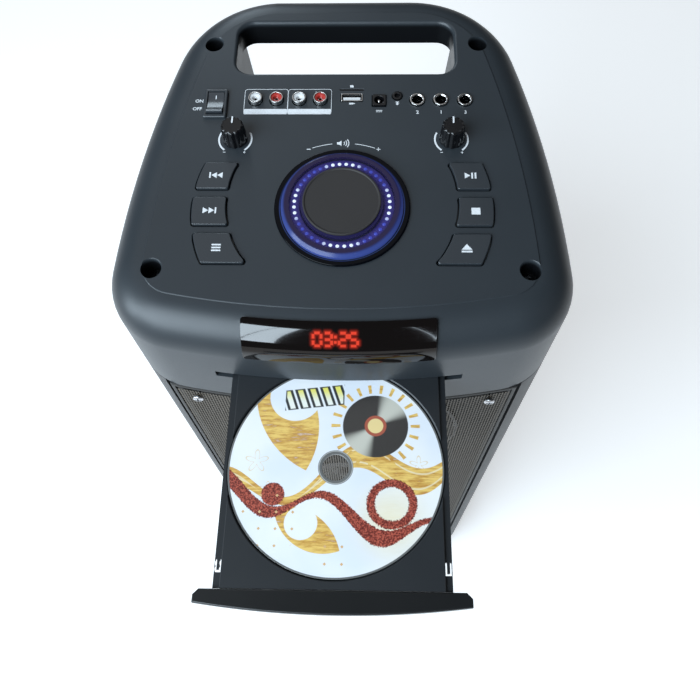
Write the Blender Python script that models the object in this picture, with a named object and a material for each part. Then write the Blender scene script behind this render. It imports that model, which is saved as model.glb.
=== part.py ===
"""Tower karaoke machine with a front-loading disc tray, built from separate named pieces.

Metres, +Z up, floor at Z = 0. The front faces -Y and +X is on the right of someone who looks at it.
Inside the script, Y is counted from the foremost point of the body, and one empty moves the whole
machine so that the world origin lies under the middle of its outline with the tray open.
The control panel slopes, so everything on it is placed in the frame of a second, tilted empty:
X across, Y up the slope and Z out of the panel's face.
"""

import math

import bmesh
import bpy
from mathutils import Matrix, Vector

GAP = 0.0003
RUNNING = 0.0001

# Sides of round pieces
WIDE_ROUND = 40
MIDDLE_ROUND = 24
HIDDEN_ROUND = 16
SMALL_ROUND = 12
SCREW_ROUND = 8

# Body seen from above
BODY_DEPTH = 0.2564
FRONT_BOW = 0.540
SIDE_BOW = 0.700
SIDE_REACH = 0.1339
SIDE_WIDEST_Y = 0.022
FRONT_CORNER = 0.042
REAR_CORNER = 0.070

# Heights
FOOT_HEIGHT = 0.014
SEAM_Z = 0.546
PANEL_FRONT_Z = 0.6230
PANEL_TILT = math.radians(4.0)
DISC_TOP_Z = 0.5775

# Top housing
HOUSING_WALL = 0.003
RIM_FILLET = 0.0225
RIM_STEP = 0.0006
RIM_LEDGE = 0.0008

# Handle
HANDLE_SLOT_HALF = 0.5116 * SIDE_REACH
HANDLE_SLOT_FRONT = BODY_DEPTH - 0.0723
HANDLE_SLOT_REAR = BODY_DEPTH - 0.0314
HANDLE_BAR_BOTTOM_Z = 0.6225
POCKET_HALF = HANDLE_SLOT_HALF + 0.0055
POCKET_FRONT = HANDLE_SLOT_FRONT - 0.0031
POCKET_HALF_DEPTH = 0.060
POCKET_FLOOR_Z = 0.562
POCKET_DRAFT = 0.004
POCKET_CORNER = 0.012

# Housing screws
PILLAR_RADIUS = 0.006
PILLAR_CLEARANCE = 0.0008
SCREW_FRONT = (0.7864 * SIDE_REACH, 0.0467)
SCREW_REAR = (POCKET_HALF + HOUSING_WALL + PILLAR_RADIUS + PILLAR_CLEARANCE, BODY_DEPTH - 0.0486)
SCREW_WELL_RADIUS = 0.00575
SCREW_WELL_DEPTH = 0.014
SCREW_BOSS_RADIUS = 0.0076
SCREW_BOSS_DEPTH = 0.020
SCREW_HEAD_RADIUS = 0.0045
SCREW_HEAD_HEIGHT = 0.003
SCREW_SHANK_RADIUS = 0.0020
SCREW_SHANK_LENGTH = 0.018

# Cabinet
SHELL_WALL = 0.006
SHELL_BASE = 0.005
SHELL_FOOT_FILLET = 0.008
FRONT_OPENING_HALF = SIDE_REACH - 0.0207
FRONT_OPENING_BOTTOM_Z = 0.047
SHELF_THICKNESS = 0.0035
BAFFLE_Y = 0.019
BAFFLE_THICKNESS = 0.008

# Grille
GRILLE_GROOVE = 0.0032
GRILLE_SHEET = 0.0016
GRILLE_BORDER_SIDE = 0.0205
GRILLE_BORDER_END = 0.0150
GRILLE_COLUMNS = 11
GRILLE_ROWS = 4
GRILLE_BAR = 0.0050
GRILLE_BRIDGE = 0.0080
GRILLE_SCREW_X = FRONT_OPENING_HALF - 0.0192
GRILLE_SCREW_Z = 0.5315
GRILLE_SCREW_HEAD = 0.0034
GRILLE_SCREW_SHANK = 0.0016

# Loudspeakers
WOOFER_UPPER_Z = 0.452
WOOFER_LOWER_Z = 0.180
WOOFER_FRAME_RADIUS = 0.0825
WOOFER_CUTOUT_RADIUS = WOOFER_FRAME_RADIUS - 0.010
WOOFER_FLANGE = 0.004
WOOFER_DEPTH = 0.066
WOOFER_MAGNET_RADIUS = WOOFER_CUTOUT_RADIUS - 0.0275
WOOFER_MAGNET_HEIGHT = 0.020
CONE_RADIUS = WOOFER_CUTOUT_RADIUS - 0.0145
CONE_CAP_RADIUS = 0.018
CONE_TRAVEL = 0.003
MAGNET_BACK_PLATE = 0.004
MAGNET_SLOT_INNER = 0.0145
MAGNET_SLOT_OUTER = 0.0200
COIL_INNER_RADIUS = 0.0160
COIL_OUTER_RADIUS = 0.0175
BASKET_FOOT_RADIUS = 0.034
BASKET_WALL = 0.004
ROLL_HEIGHT = 0.0050
ROLL_SKIN = 0.0010
TWEETER_Z = 0.318
TWEETER_FLANGE_RADIUS = 0.046
TWEETER_CUTOUT_RADIUS = 0.036
TWEETER_FLANGE = 0.0030
TWEETER_DEPTH = 0.030

# Back of the cabinet
PORT_Z = 0.420
PORT_BORE = 0.024
PORT_WALL = 0.0025
PORT_FLARE = 0.006
PORT_LENGTH = 0.090
COVER_HALF = 0.038
COVER_BOTTOM_Z = 0.090
COVER_TOP_Z = 0.250
COVER_THICKNESS = 0.0022
COVER_LIP = 0.006
COVER_SINK = 0.0020
COVER_SCREW_HEAD = 0.0026
COVER_SCREW_HEIGHT = 0.0018
COVER_SCREW_SHANK = 0.0011
COVER_SCREW_LENGTH = 0.0090
FOOT_RADIUS = 0.015
FOOT_FRONT = (SIDE_REACH - 0.0479, 0.045)
FOOT_REAR = (SIDE_REACH - 0.0619, BODY_DEPTH - 0.0514)

# Disc, tray and door
DISC_RADIUS = 0.060
DISC_HOLE_RADIUS = 0.0075
DISC_THICKNESS = 0.0012
TRAY_X = -0.0013
TRAY_TRAVEL = 0.129
DISC_CLOSED_Y = 0.0774
TRAY_TOP_Z = 0.5785
TRAY_THICKNESS = 0.0048
TRAY_HALF = 0.0586
TRAY_REAR_CLOSED = 0.169
RAIL_WIDTH = 0.0038
RAIL_THICKNESS = 0.0027
RECESS_CLEARANCE = 0.0008
INNER_RECESS_RADIUS = 0.041
INNER_RECESS_DEPTH = 0.0010
TRAY_HUB_RADIUS = 0.024
TRAY_SLOT_HALF = 0.018
TRAY_SLOT_REACH = 0.068
DOOR_HALF = 0.0722
DOOR_HEIGHT = 0.0050
DOOR_BACK_CLOSED = 0.012
SLOT_CLEARANCE = 0.0005

# Rack and pinion that drive the tray
RACK_MODULE = 0.0010
PINION_TEETH = 20
PINION_CLOSED_Y = 0.030
PINION_WIDTH = 0.0026
PINION_SHAFT_RADIUS = 0.0015
RACK_BACKLASH = 0.00036
RACK_MARGIN = 0.0045
TRAY_MOTOR_RADIUS = 0.0075
TRAY_MOTOR_LENGTH = 0.020
GEARBOX_LENGTH = 0.008

# Disc loader
CHASSIS_HALF = 0.066
CHASSIS_FLOOR = 0.002
CHASSIS_FRONT = 0.0145
CHASSIS_REAR = 0.1740
CHASSIS_TOP_Z = 0.5795
TRAVERSE_LIFT = 0.006
TRAVERSE_HALF = 0.032
TRAVERSE_FRONT = 0.054
TRAVERSE_REAR = 0.160
TRAVERSE_THICKNESS = 0.0015
TURNTABLE_RADIUS = 0.015
TURNTABLE_THICKNESS = 0.003
HUB_RADIUS = 0.0071
HUB_HEIGHT = 0.0022
SPINDLE_MOTOR_RADIUS = 0.013
SPINDLE_MOTOR_HEIGHT = 0.0082
SPINDLE_RADIUS = 0.0012
SLED_HALF = 0.023
SLED_LENGTH = 0.024
SLED_HEIGHT = 0.004
SLED_START = 0.0166
SLED_TRAVEL = 0.035
LENS_TOWER_HALF = 0.009
LENS_TOWER_LENGTH = 0.013
ROD_RADIUS = 0.0015
ROD_X = 0.020
ROD_BLOCK = 0.004
ROD_BLOCK_COVER = 0.0008
LIFT_POST_RADIUS = 0.0022
LIFT_PIN_RADIUS = 0.0012
BRIDGE_DEPTH = 0.032
BRIDGE_THICKNESS = 0.0025
PUCK_RADIUS = 0.010
PUCK_FLANGE_RADIUS = 0.0135

# Display
DISPLAY_HALF = 0.0531
DISPLAY_X = 0.0001
DISPLAY_TOP_ANGLE = math.radians(18.5)
DISPLAY_BOTTOM_ANGLE = math.radians(85.0)
DISPLAY_PROUD = 0.0008
DISPLAY_THICKNESS = 0.0030
MODULE_HALF = (0.026, 0.0085)
MODULE_DEPTH = 0.007
MODULE_ANGLE = math.radians(50.0)

# Volume dial
DIAL_CENTRE = (0.0005, 0.0866)
DIAL_RADIUS = 0.0350
DIAL_TOP = 0.0050
DIAL_SKIN = 0.0014
DIAL_LIFT = 0.0008
DIAL_CAP_RADIUS = 0.0223
DIAL_CAP_HEIGHT = 0.0020
BEZEL_RADIUS = 0.03915
BEZEL_HEIGHT = 0.0016
LED_RING_INNER = 0.0243
LED_RING_OUTER = 0.0300
LED_RING_HEIGHT = 0.0029
SHAFT_RADIUS = 0.003
STEM_LOW = -0.0085
BUSH_RADIUS = 0.0038
BUSH_CLEARANCE = 0.0004
ENCODER_SIZE = 0.014
CONTROL_SIZE = 0.012

# Buttons, in a ring round the volume dial
BUTTON_OUTER_RADIUS = SIDE_REACH - 0.0475
BUTTON_INNER_RADIUS = BUTTON_OUTER_RADIUS - 0.0194
BUTTON_INNER_RISE = 0.0040
BUTTON_ROWS = ((0.0983, 0.1163), (0.0741, 0.0926), (0.0497, 0.0686))
BUTTON_CORNER = 0.0012
BUTTON_PROUD = 0.0013
BUTTON_TRAVEL = 0.0012
BUTTON_CLEARANCE = 0.0005
BUTTON_FLANGE = 0.0010
BUTTON_STEM_RADIUS = 0.0022
BUTTON_STEM_LOW = -0.0092

# Small knobs
SMALL_KNOB_X = 0.4817 * SIDE_REACH
SMALL_KNOB_Y = 0.1337
SMALL_KNOB_RADIUS = 0.0075
SMALL_KNOB_HEIGHT = 0.0130
SMALL_KNOB_FLUTES = 12

# Power switch
SWITCH_CENTRE = (-0.5855 * SIDE_REACH, 0.1593)
SWITCH_BEZEL = (0.0143, 0.0210)
SWITCH_OPENING = (0.0106, 0.0174)
SWITCH_TILT = math.radians(9.0)
SWITCH_BEZEL_HEIGHT = 0.0020
SWITCH_LOW = -0.0125

# Sockets along the rear of the panel
SOCKET_ROW_Y = 0.1628
RCA_X = tuple(share * SIDE_REACH for share in (-0.4048, -0.3084, -0.2046, -0.1083))
RCA_RADIUS = 0.00415
RCA_HEIGHT = 0.0030
RCA_BORE_RADIUS = 0.0016
RCA_BLOCK_HALF = (0.0053, 0.0055)
USB_CENTRE = (0.0358 * SIDE_REACH, 0.1647)
USB_SIZE = (0.0131, 0.0057)
CARD_CENTRE = (0.0351 * SIDE_REACH, 0.1708)
CARD_SIZE = (0.0150, 0.0013)
DC_CENTRE = (0.1606 * SIDE_REACH, 0.1623)
DC_SIZE = 0.0083
AUX_CENTRE = (0.2435 * SIDE_REACH, 0.1660)
AUX_RADIUS = 0.0030
AUX_BORE_RADIUS = 0.00176
JACK_X = tuple(share * SIDE_REACH for share in (0.3338, 0.4406, 0.5504))
JACK_RING_RADIUS = 0.0045
JACK_RING_HEIGHT = 0.0011
JACK_BORE_RADIUS = 0.0032
JACK_BLOCK_HALF = (0.0062, 0.0068)
SOCKET_BORE_LOW = -0.0130
CARD_SLOT_LOW = -0.0125

# Boards
BOARD_DEPTH = 0.0144
BOARD_THICKNESS = 0.0016
SOLDERED = 0.0005
AMPLIFIER_FINS = 7
AMPLIFIER_DEPTH = 0.020
BATTERY_HALF = (0.055, 0.020)
BATTERY_HEIGHT = 0.052
BATTERY_Y = 0.120
BOARD_HALF = SIDE_REACH - 0.0384
BOARD_FRONT = 0.045
BOARD_REAR = 0.1745
BOARD_POSTS = ((BOARD_HALF - 0.005, 0.070), (BOARD_HALF - 0.005, 0.1480))

# Sizes that follow from the ones above
RACK_PITCH = math.pi * RACK_MODULE
PINION_RADIUS = RACK_MODULE * PINION_TEETH / 2
TRAY_BOTTOM_Z = TRAY_TOP_Z - TRAY_THICKNESS
RACK_PITCH_Z = TRAY_BOTTOM_Z + RACK_MODULE
PINION_Z = RACK_PITCH_Z - PINION_RADIUS
RAIL_OUTER = TRAY_HALF + RAIL_WIDTH
RAIL_TOP_Z = TRAY_BOTTOM_Z + RAIL_THICKNESS
DOOR_BOTTOM_Z = TRAY_BOTTOM_Z
DOOR_TOP_Z = DOOR_BOTTOM_Z + DOOR_HEIGHT
DISC_BOTTOM_Z = DISC_TOP_Z - DISC_THICKNESS
RECESS_FLOOR_Z = DISC_BOTTOM_Z - GAP
SHELF_BOTTOM_Z = SEAM_Z
SHELF_TOP_Z = SHELF_BOTTOM_Z + SHELF_THICKNESS
CHASSIS_BOTTOM_Z = SHELF_TOP_Z + GAP
CHASSIS_FLOOR_Z = CHASSIS_BOTTOM_Z + CHASSIS_FLOOR
TURNTABLE_TOP_Z = DISC_BOTTOM_Z - GAP - TRAVERSE_LIFT
TRAVERSE_TOP_Z = TURNTABLE_TOP_Z - TURNTABLE_THICKNESS - 0.0045
TRAVERSE_BOTTOM_Z = TRAVERSE_TOP_Z - TRAVERSE_THICKNESS
ROD_Z = TRAVERSE_TOP_Z + 0.0025
SHELL_TOP_Z = SEAM_Z - GAP
BOARD_TOP = -BOARD_DEPTH
OPEN_REACH = TRAY_TRAVEL
COVER_BACK_Y = BODY_DEPTH - COVER_SINK
PLAN_MIDDLE_Y = (BODY_DEPTH - OPEN_REACH) / 2


def clear_scene():
    for obj in list(bpy.data.objects):
        bpy.data.objects.remove(obj, do_unlink=True)


def material(name, colour, roughness, metallic=0.0, alpha=1.0):
    """A Principled material with one colour."""
    made = bpy.data.materials.get(name) or bpy.data.materials.new(name)
    made.use_nodes = True
    shader = made.node_tree.nodes["Principled BSDF"]
    shader.inputs["Base Color"].default_value = (*colour, 1.0)
    shader.inputs["Roughness"].default_value = roughness
    shader.inputs["Metallic"].default_value = metallic
    shader.inputs["Alpha"].default_value = alpha
    made.diffuse_color = (*colour, alpha)
    return made


def empty(name, parent=None, location=(0, 0, 0), rotation=(0, 0, 0)):
    made = bpy.data.objects.new(name, None)
    bpy.context.scene.collection.objects.link(made)
    made.parent = parent
    made.location = location
    made.rotation_euler = rotation
    return made


def add_object(name, shape, parent, skin=None, location=(0, 0, 0), rotation=(0, 0, 0), smooth=True):
    """Turns a bmesh into an object of its own and frees the bmesh."""
    bmesh.ops.recalc_face_normals(shape, faces=shape.faces)
    mesh = bpy.data.meshes.new(name)
    shape.to_mesh(mesh)
    shape.free()
    if smooth:
        mesh.shade_smooth()
        mesh.set_sharp_from_angle(angle=math.radians(35))
    if skin:
        mesh.materials.append(skin)
    made = bpy.data.objects.new(name, mesh)
    bpy.context.scene.collection.objects.link(made)
    made.parent = parent
    made.location = location
    made.rotation_euler = rotation
    return made


def add_tool(name, shape, parent, location=(0, 0, 0), rotation=(0, 0, 0)):
    """A helper solid for a Boolean, which is never rendered."""
    made = add_object(name, shape, parent, None, location, rotation, smooth=False)
    made.hide_render = True
    made.display_type = "WIRE"
    return made


def combine(target, tool, operation="DIFFERENCE"):
    step = target.modifiers.new(tool.name, "BOOLEAN")
    step.operation = operation
    step.solver = "EXACT"
    step.object = tool


def arc(centre, radius, start, end, steps):
    """Points on an arc, both ends included, with angles in radians from +X."""
    return [
        (
            centre[0] + radius * math.cos(start + (end - start) * i / steps),
            centre[1] + radius * math.sin(start + (end - start) * i / steps),
        )
        for i in range(steps + 1)
    ]


def circles_meet(first, first_radius, second, second_radius):
    """The crossing of two circles that lies furthest along +X."""
    span = Vector(second) - Vector(first)
    along = (span.length_squared + first_radius**2 - second_radius**2) / (2 * span.length)
    aside = math.sqrt(max(first_radius**2 - along**2, 0.0))
    foot = Vector(first) + span.normalized() * along
    normal = Vector((-span.y, span.x)).normalized() * aside
    return max((foot + normal, foot - normal), key=lambda point: point.x)


def body_outline(inset=0.0):
    """The body's outline from above, counter-clockwise from the middle of the front, moved in by inset."""
    front = Vector((0.0, FRONT_BOW))
    side = Vector((SIDE_REACH - SIDE_BOW, SIDE_WIDEST_Y))
    corner = circles_meet(side, SIDE_BOW - FRONT_CORNER, front, FRONT_BOW - FRONT_CORNER)
    rear_y = BODY_DEPTH - REAR_CORNER
    reach = SIDE_BOW - REAR_CORNER
    rear = Vector((side.x + math.sqrt(reach**2 - (rear_y - side.y) ** 2), rear_y))
    to_corner = math.atan2(corner.y - front.y, corner.x - front.x)
    to_side = math.atan2(corner.y - side.y, corner.x - side.x)
    to_rear = math.atan2(rear.y - side.y, rear.x - side.x)
    half = arc(front, FRONT_BOW - inset, -math.pi / 2, to_corner, 5)
    half += arc(corner, FRONT_CORNER - inset, to_corner, to_side, 4)[1:]
    half += arc(side, SIDE_BOW - inset, to_side, to_rear, 3)[1:]
    half += arc(rear, REAR_CORNER - inset, to_rear, math.pi / 2, 5)[1:]
    return half + [(-x, y) for x, y in reversed(half[1:])]


def half_width(y, inset):
    """How far the outline, moved in by inset, reaches to the side at y, on its front half."""
    points = body_outline(inset)
    for (x0, y0), (x1, y1) in zip(points, points[1:]):
        if y0 <= y < y1:
            return x0 + (x1 - x0) * (y - y0) / (y1 - y0)
    return points[0][0]


def bow(x):
    """How far the front lies behind its foremost point, x away from the middle."""
    return FRONT_BOW - math.sqrt(FRONT_BOW**2 - x**2)


def panel_z(y):
    return PANEL_FRONT_Z + math.tan(PANEL_TILT) * y


def on_panel(point, height=0.0):
    """A place on the sloping panel, from its place in plan."""
    return (point[0], point[1] / math.cos(PANEL_TILT), height)


def rounded(corners, radius, steps=3):
    """A polygon, counter-clockwise, whose corners are arcs of the radius."""
    points = []
    count = len(corners)
    for i, corner in enumerate(corners):
        here = Vector(corner)
        back = (Vector(corners[i - 1]) - here).normalized()
        ahead = (Vector(corners[(i + 1) % count]) - here).normalized()
        half_angle = back.angle(ahead) / 2
        reach = radius / math.tan(half_angle)
        middle = here + (back + ahead).normalized() * (radius / math.sin(half_angle))
        start = here + back * reach - middle
        turn = start.angle_signed(here + ahead * reach - middle)
        for step in range(steps + 1):
            points.append(tuple(middle + Matrix.Rotation(-turn * step / steps, 2) @ start))
    return points


def rectangle(half_x, half_y, radius=0.0, centre=(0.0, 0.0), steps=3):
    cx, cy = centre
    corners = [
        (cx - half_x, cy - half_y),
        (cx + half_x, cy - half_y),
        (cx + half_x, cy + half_y),
        (cx - half_x, cy + half_y),
    ]
    return rounded(corners, radius, steps) if radius else corners


def circle(radius, count, centre=(0.0, 0.0)):
    half_step = math.pi / count
    return arc(centre, radius, half_step, 2 * math.pi + half_step, count)[:-1]


def clear_circle(radius, count, centre=(0.0, 0.0)):
    """The outline of a bore: its flats, not its corners, lie at the radius."""
    return circle(radius / math.cos(math.pi / count), count, centre)


def loft(rings):
    """A solid through closed rings of 3-D points, with both ends capped."""
    shape = bmesh.new()
    rows = [[shape.verts.new(point) for point in ring] for ring in rings]
    count = len(rows[0])
    for low, high in zip(rows, rows[1:]):
        for i in range(count):
            j = (i + 1) % count
            shape.faces.new((low[i], low[j], high[j], high[i]))
    shape.faces.new(list(reversed(rows[0])))
    shape.faces.new(rows[-1])
    return shape


def level(points, z):
    return [(x, y, z) for x, y in points]


def prism(points, low, high):
    return loft([level(points, low), level(points, high)])


def box(low, high):
    """A box between two opposite corners."""
    middle = [(a + b) / 2 for a, b in zip(low, high)]
    half = [(b - a) / 2 for a, b in zip(low, high)]
    shape = prism(rectangle(half[0], half[1]), -half[2], half[2])
    bmesh.ops.translate(shape, verts=shape.verts, vec=middle)
    return shape


def turned(profile, count):
    """A closed (radius, height) profile turned round Z. A radius of 0 closes the solid on the axis."""
    shape = bmesh.new()
    rows = []
    for radius, height in profile:
        if radius == 0:
            rows.append([shape.verts.new((0, 0, height))])
        else:
            rows.append([shape.verts.new((x, y, height)) for x, y in circle(radius, count)])
    pairs = list(zip(rows, rows[1:]))
    if len(rows[0]) > 1:
        pairs.append((rows[-1], rows[0]))
    for first, second in pairs:
        for i in range(count):
            j = (i + 1) % count
            if len(first) == 1 and len(second) == 1:
                break
            if len(first) == 1:
                shape.faces.new((first[0], second[j], second[i]))
            elif len(second) == 1:
                shape.faces.new((first[i], first[j], second[0]))
            else:
                shape.faces.new((first[i], first[j], second[j], second[i]))
    return shape


def moved(shape, by):
    bmesh.ops.translate(shape, verts=shape.verts, vec=by)
    return shape


def facing_front(shape):
    """Turns a shape made along +Z so that it points to the front, -Y."""
    bmesh.ops.rotate(shape, verts=shape.verts, cent=(0, 0, 0), matrix=Matrix.Rotation(math.pi / 2, 3, "X"))
    return shape


def mirrored(points):
    return [(-x, y) for x, y in reversed(points)]


def housing_ring(inset, drop):
    """The body outline on a surface that lies drop below the sloping panel."""
    return [(x, y, panel_z(y) - drop) for x, y in body_outline(inset)]


def rim_rings(wall, step, bends):
    """Rings that round the rim over, from the upright wall up to the panel, for a skin moved in by wall."""
    radius = RIM_FILLET - wall
    rings = []
    for bend in range(bends + 1):
        angle = math.pi / 2 * (1 - bend / bends)
        inset = wall + radius * (1 - math.sin(angle))
        rings.append(housing_ring(inset, wall + step + (radius - step) * (1 - math.cos(angle))))
    return rings


def screw_places():
    """The four housing screws, each with its name and its (x, y)."""
    return [
        ("front_left", (-SCREW_FRONT[0], SCREW_FRONT[1])),
        ("front_right", SCREW_FRONT),
        ("rear_left", (-SCREW_REAR[0], SCREW_REAR[1])),
        ("rear_right", SCREW_REAR),
    ]


def pocket_shape(wall):
    """The hand pocket under the handle bar, grown by wall."""
    half_y = POCKET_HALF_DEPTH + wall
    low_middle = (0, POCKET_FRONT + POCKET_HALF_DEPTH + POCKET_DRAFT)
    high_middle = (0, POCKET_FRONT + POCKET_HALF_DEPTH)
    low = rectangle(POCKET_HALF - POCKET_DRAFT + wall, half_y, POCKET_CORNER, low_middle)
    high = rectangle(POCKET_HALF + wall, half_y, POCKET_CORNER, high_middle)
    return loft([level(low, POCKET_FLOOR_Z - wall), level(high, HANDLE_BAR_BOTTOM_Z + wall)])


def handle_slot_shape(wall):
    """The upright slot in front of the handle bar, grown by wall."""
    half_y = (HANDLE_SLOT_REAR - HANDLE_SLOT_FRONT) / 2
    middle = (0, (HANDLE_SLOT_REAR + HANDLE_SLOT_FRONT) / 2)
    outline = rectangle(HANDLE_SLOT_HALF + wall, half_y + wall, 0.010 + wall, middle)
    return prism(outline, HANDLE_BAR_BOTTOM_Z - 0.010, PANEL_FRONT_Z + 0.050)


def fillet_band(low_x, high_x, outward, inward, top_angle, bottom_angle, bends=6, columns=4):
    """A plate that wraps the front rim: outward and inward are its distances from the rim's surface."""
    rings = []
    for i in range(columns + 1):
        x = low_x + (high_x - low_x) * i / columns
        middle_y = RIM_FILLET + bow(x)
        middle_z = panel_z(middle_y) - RIM_FILLET
        outer = []
        inner = []
        for j in range(bends + 1):
            angle = top_angle + (bottom_angle - top_angle) * j / bends
            for radius, points in ((RIM_FILLET + outward, outer), (RIM_FILLET - inward, inner)):
                points.append((x, middle_y - radius * math.sin(angle), middle_z + radius * math.cos(angle)))
        rings.append(outer + inner[::-1])
    return loft(rings)


def button_outline(row, side, grow=0.0):
    """A key between two circles round the volume dial and two lines across the panel."""
    low, high = BUTTON_ROWS[row]
    low -= grow
    high += grow
    cx, cy = DIAL_CENTRE

    def curve(radius, middle, start, end):
        heights = [start, (start + end) / 2, end]
        return [(math.sqrt(radius**2 - (y - middle) ** 2), y) for y in heights]

    outer = curve(BUTTON_OUTER_RADIUS + grow, cy, low, high)
    inner = curve(BUTTON_INNER_RADIUS - grow, cy + BUTTON_INNER_RISE, high, low)
    corners = [outer[0], outer[-1], inner[0], inner[-1]]
    soft = rounded(corners, BUTTON_CORNER + grow, 1)
    quarter = len(soft) // 4
    points = soft[:quarter] + outer[1:-1] + soft[quarter : 3 * quarter] + inner[1:-1] + soft[3 * quarter :]
    if side < 0:
        points = mirrored(points)
    return [(cx + x, y) for x, y in points]


def panel_points(points):
    """Points in plan moved into the panel's own frame."""
    return [(x, y / math.cos(PANEL_TILT)) for x, y in points]


def build_top_housing(machine, panel, skin):
    """The moulded top: sloping panel, rolled rim, handle, display window and tray slot."""
    outer = [level(body_outline(), SEAM_Z)] + rim_rings(0.0, RIM_STEP, 4)
    outer.append(housing_ring(RIM_FILLET + RIM_LEDGE, 0.0))
    housing = add_object("top_housing", loft(outer), machine, skin)

    inner = [level(body_outline(HOUSING_WALL), SEAM_Z - 0.010)] + rim_rings(HOUSING_WALL, 0.0, 2)
    cavity = add_tool("tool_cavity", loft(inner), machine)
    combine(cavity, add_tool("tool_pocket_wall", pocket_shape(HOUSING_WALL), machine))
    combine(cavity, add_tool("tool_slot_wall", handle_slot_shape(HOUSING_WALL), machine))
    for name, place in screw_places():
        boss = prism(circle(SCREW_BOSS_RADIUS, SMALL_ROUND), -SCREW_BOSS_DEPTH, 0.010)
        combine(cavity, add_tool(f"tool_boss_{name}", boss, panel, on_panel(place)))
    for i, (x, y) in enumerate(BOARD_POSTS):
        for side in (-1, 1):
            post = prism(circle(0.003, 8), BOARD_TOP + GAP, 0.0)
            combine(cavity, add_tool(f"tool_post_{i}_{side}", post, panel, on_panel((side * x, y))))
    combine(housing, cavity)

    combine(housing, add_tool("tool_pocket", pocket_shape(0.0), machine))
    combine(housing, add_tool("tool_handle_slot", handle_slot_shape(0.0), machine))
    for name, place in screw_places():
        well = [(0, 0.010), (SCREW_WELL_RADIUS, 0.010), (SCREW_WELL_RADIUS, -SCREW_WELL_DEPTH)]
        bore = SCREW_SHANK_RADIUS + GAP
        well += [(bore, -SCREW_WELL_DEPTH), (bore, -0.030), (0, -0.030)]
        combine(housing, add_tool(f"tool_well_{name}", turned(well, SMALL_ROUND), panel, on_panel(place)))
    window = fillet_band(
        DISPLAY_X - DISPLAY_HALF - GAP,
        DISPLAY_X + DISPLAY_HALF + GAP,
        0.006,
        0.010,
        DISPLAY_TOP_ANGLE - GAP / RIM_FILLET,
        DISPLAY_BOTTOM_ANGLE + GAP / RIM_FILLET,
    )
    combine(housing, add_tool("tool_window", window, machine))
    tray_slot = box(
        (TRAY_X - DOOR_HALF - SLOT_CLEARANCE, -0.010, DOOR_BOTTOM_Z - SLOT_CLEARANCE),
        (TRAY_X + DOOR_HALF + SLOT_CLEARANCE, 0.030, DOOR_TOP_Z + SLOT_CLEARANCE),
    )
    combine(housing, add_tool("tool_tray_slot", tray_slot, machine))
    cut_panel_holes(housing, panel)


def cut_panel_holes(housing, panel):
    """Every hole for a control or a socket, each from its own piece's size."""
    holes = [("encoder", circle(BUSH_RADIUS + BUSH_CLEARANCE, SMALL_ROUND), DIAL_CENTRE)]
    for side in (-1, 1):
        place = (side * SMALL_KNOB_X, SMALL_KNOB_Y)
        holes.append((f"knob_{side}", circle(BUSH_RADIUS + BUSH_CLEARANCE, SMALL_ROUND), place))
    body = (SWITCH_BEZEL[0] / 2 - 0.0008, SWITCH_BEZEL[1] / 2 - 0.0008)
    holes.append(("switch", rectangle(*body), SWITCH_CENTRE))
    for i, x in enumerate(RCA_X):
        holes.append((f"rca_{i}", circle(RCA_RADIUS + GAP, HIDDEN_ROUND), (x, SOCKET_ROW_Y)))
    holes.append(("usb", rectangle(USB_SIZE[0] / 2 + GAP, USB_SIZE[1] / 2 + GAP), USB_CENTRE))
    holes.append(("card", rectangle(CARD_SIZE[0] / 2, CARD_SIZE[1] / 2), CARD_CENTRE))
    holes.append(("dc", rectangle(DC_SIZE / 2 + GAP, DC_SIZE / 2 + GAP), DC_CENTRE))
    holes.append(("aux", circle(AUX_RADIUS + GAP, SMALL_ROUND), AUX_CENTRE))
    for i, x in enumerate(JACK_X):
        holes.append((f"jack_{i}", circle(JACK_RING_RADIUS + GAP, HIDDEN_ROUND), (x, SOCKET_ROW_Y)))
    for name, outline, place in holes:
        tool = add_tool(f"tool_{name}", prism(outline, -0.010, 0.010), panel, on_panel(place))
        combine(housing, tool)
    for row in range(len(BUTTON_ROWS)):
        for side in (-1, 1):
            outline = panel_points(button_outline(row, side, BUTTON_CLEARANCE))
            tool = add_tool(f"tool_button_{row}_{side}", prism(outline, -0.010, 0.010), panel)
            combine(housing, tool)


def build_housing_screws(panel, skin):
    """Four screws at the bottom of wells, which hold the top down on the shelf's pillars."""
    top = -SCREW_WELL_DEPTH + GAP + SCREW_HEAD_HEIGHT
    foot = -SCREW_WELL_DEPTH + GAP
    for name, place in screw_places():
        profile = [(0, top), (SCREW_HEAD_RADIUS - 0.001, top), (SCREW_HEAD_RADIUS, top - 0.001)]
        profile += [(SCREW_HEAD_RADIUS, foot), (SCREW_SHANK_RADIUS, foot)]
        profile += [(SCREW_SHANK_RADIUS, foot - SCREW_SHANK_LENGTH), (0, foot - SCREW_SHANK_LENGTH)]
        add_object(f"housing_screw_{name}", turned(profile, SCREW_ROUND), panel, skin, on_panel(place))


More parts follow.
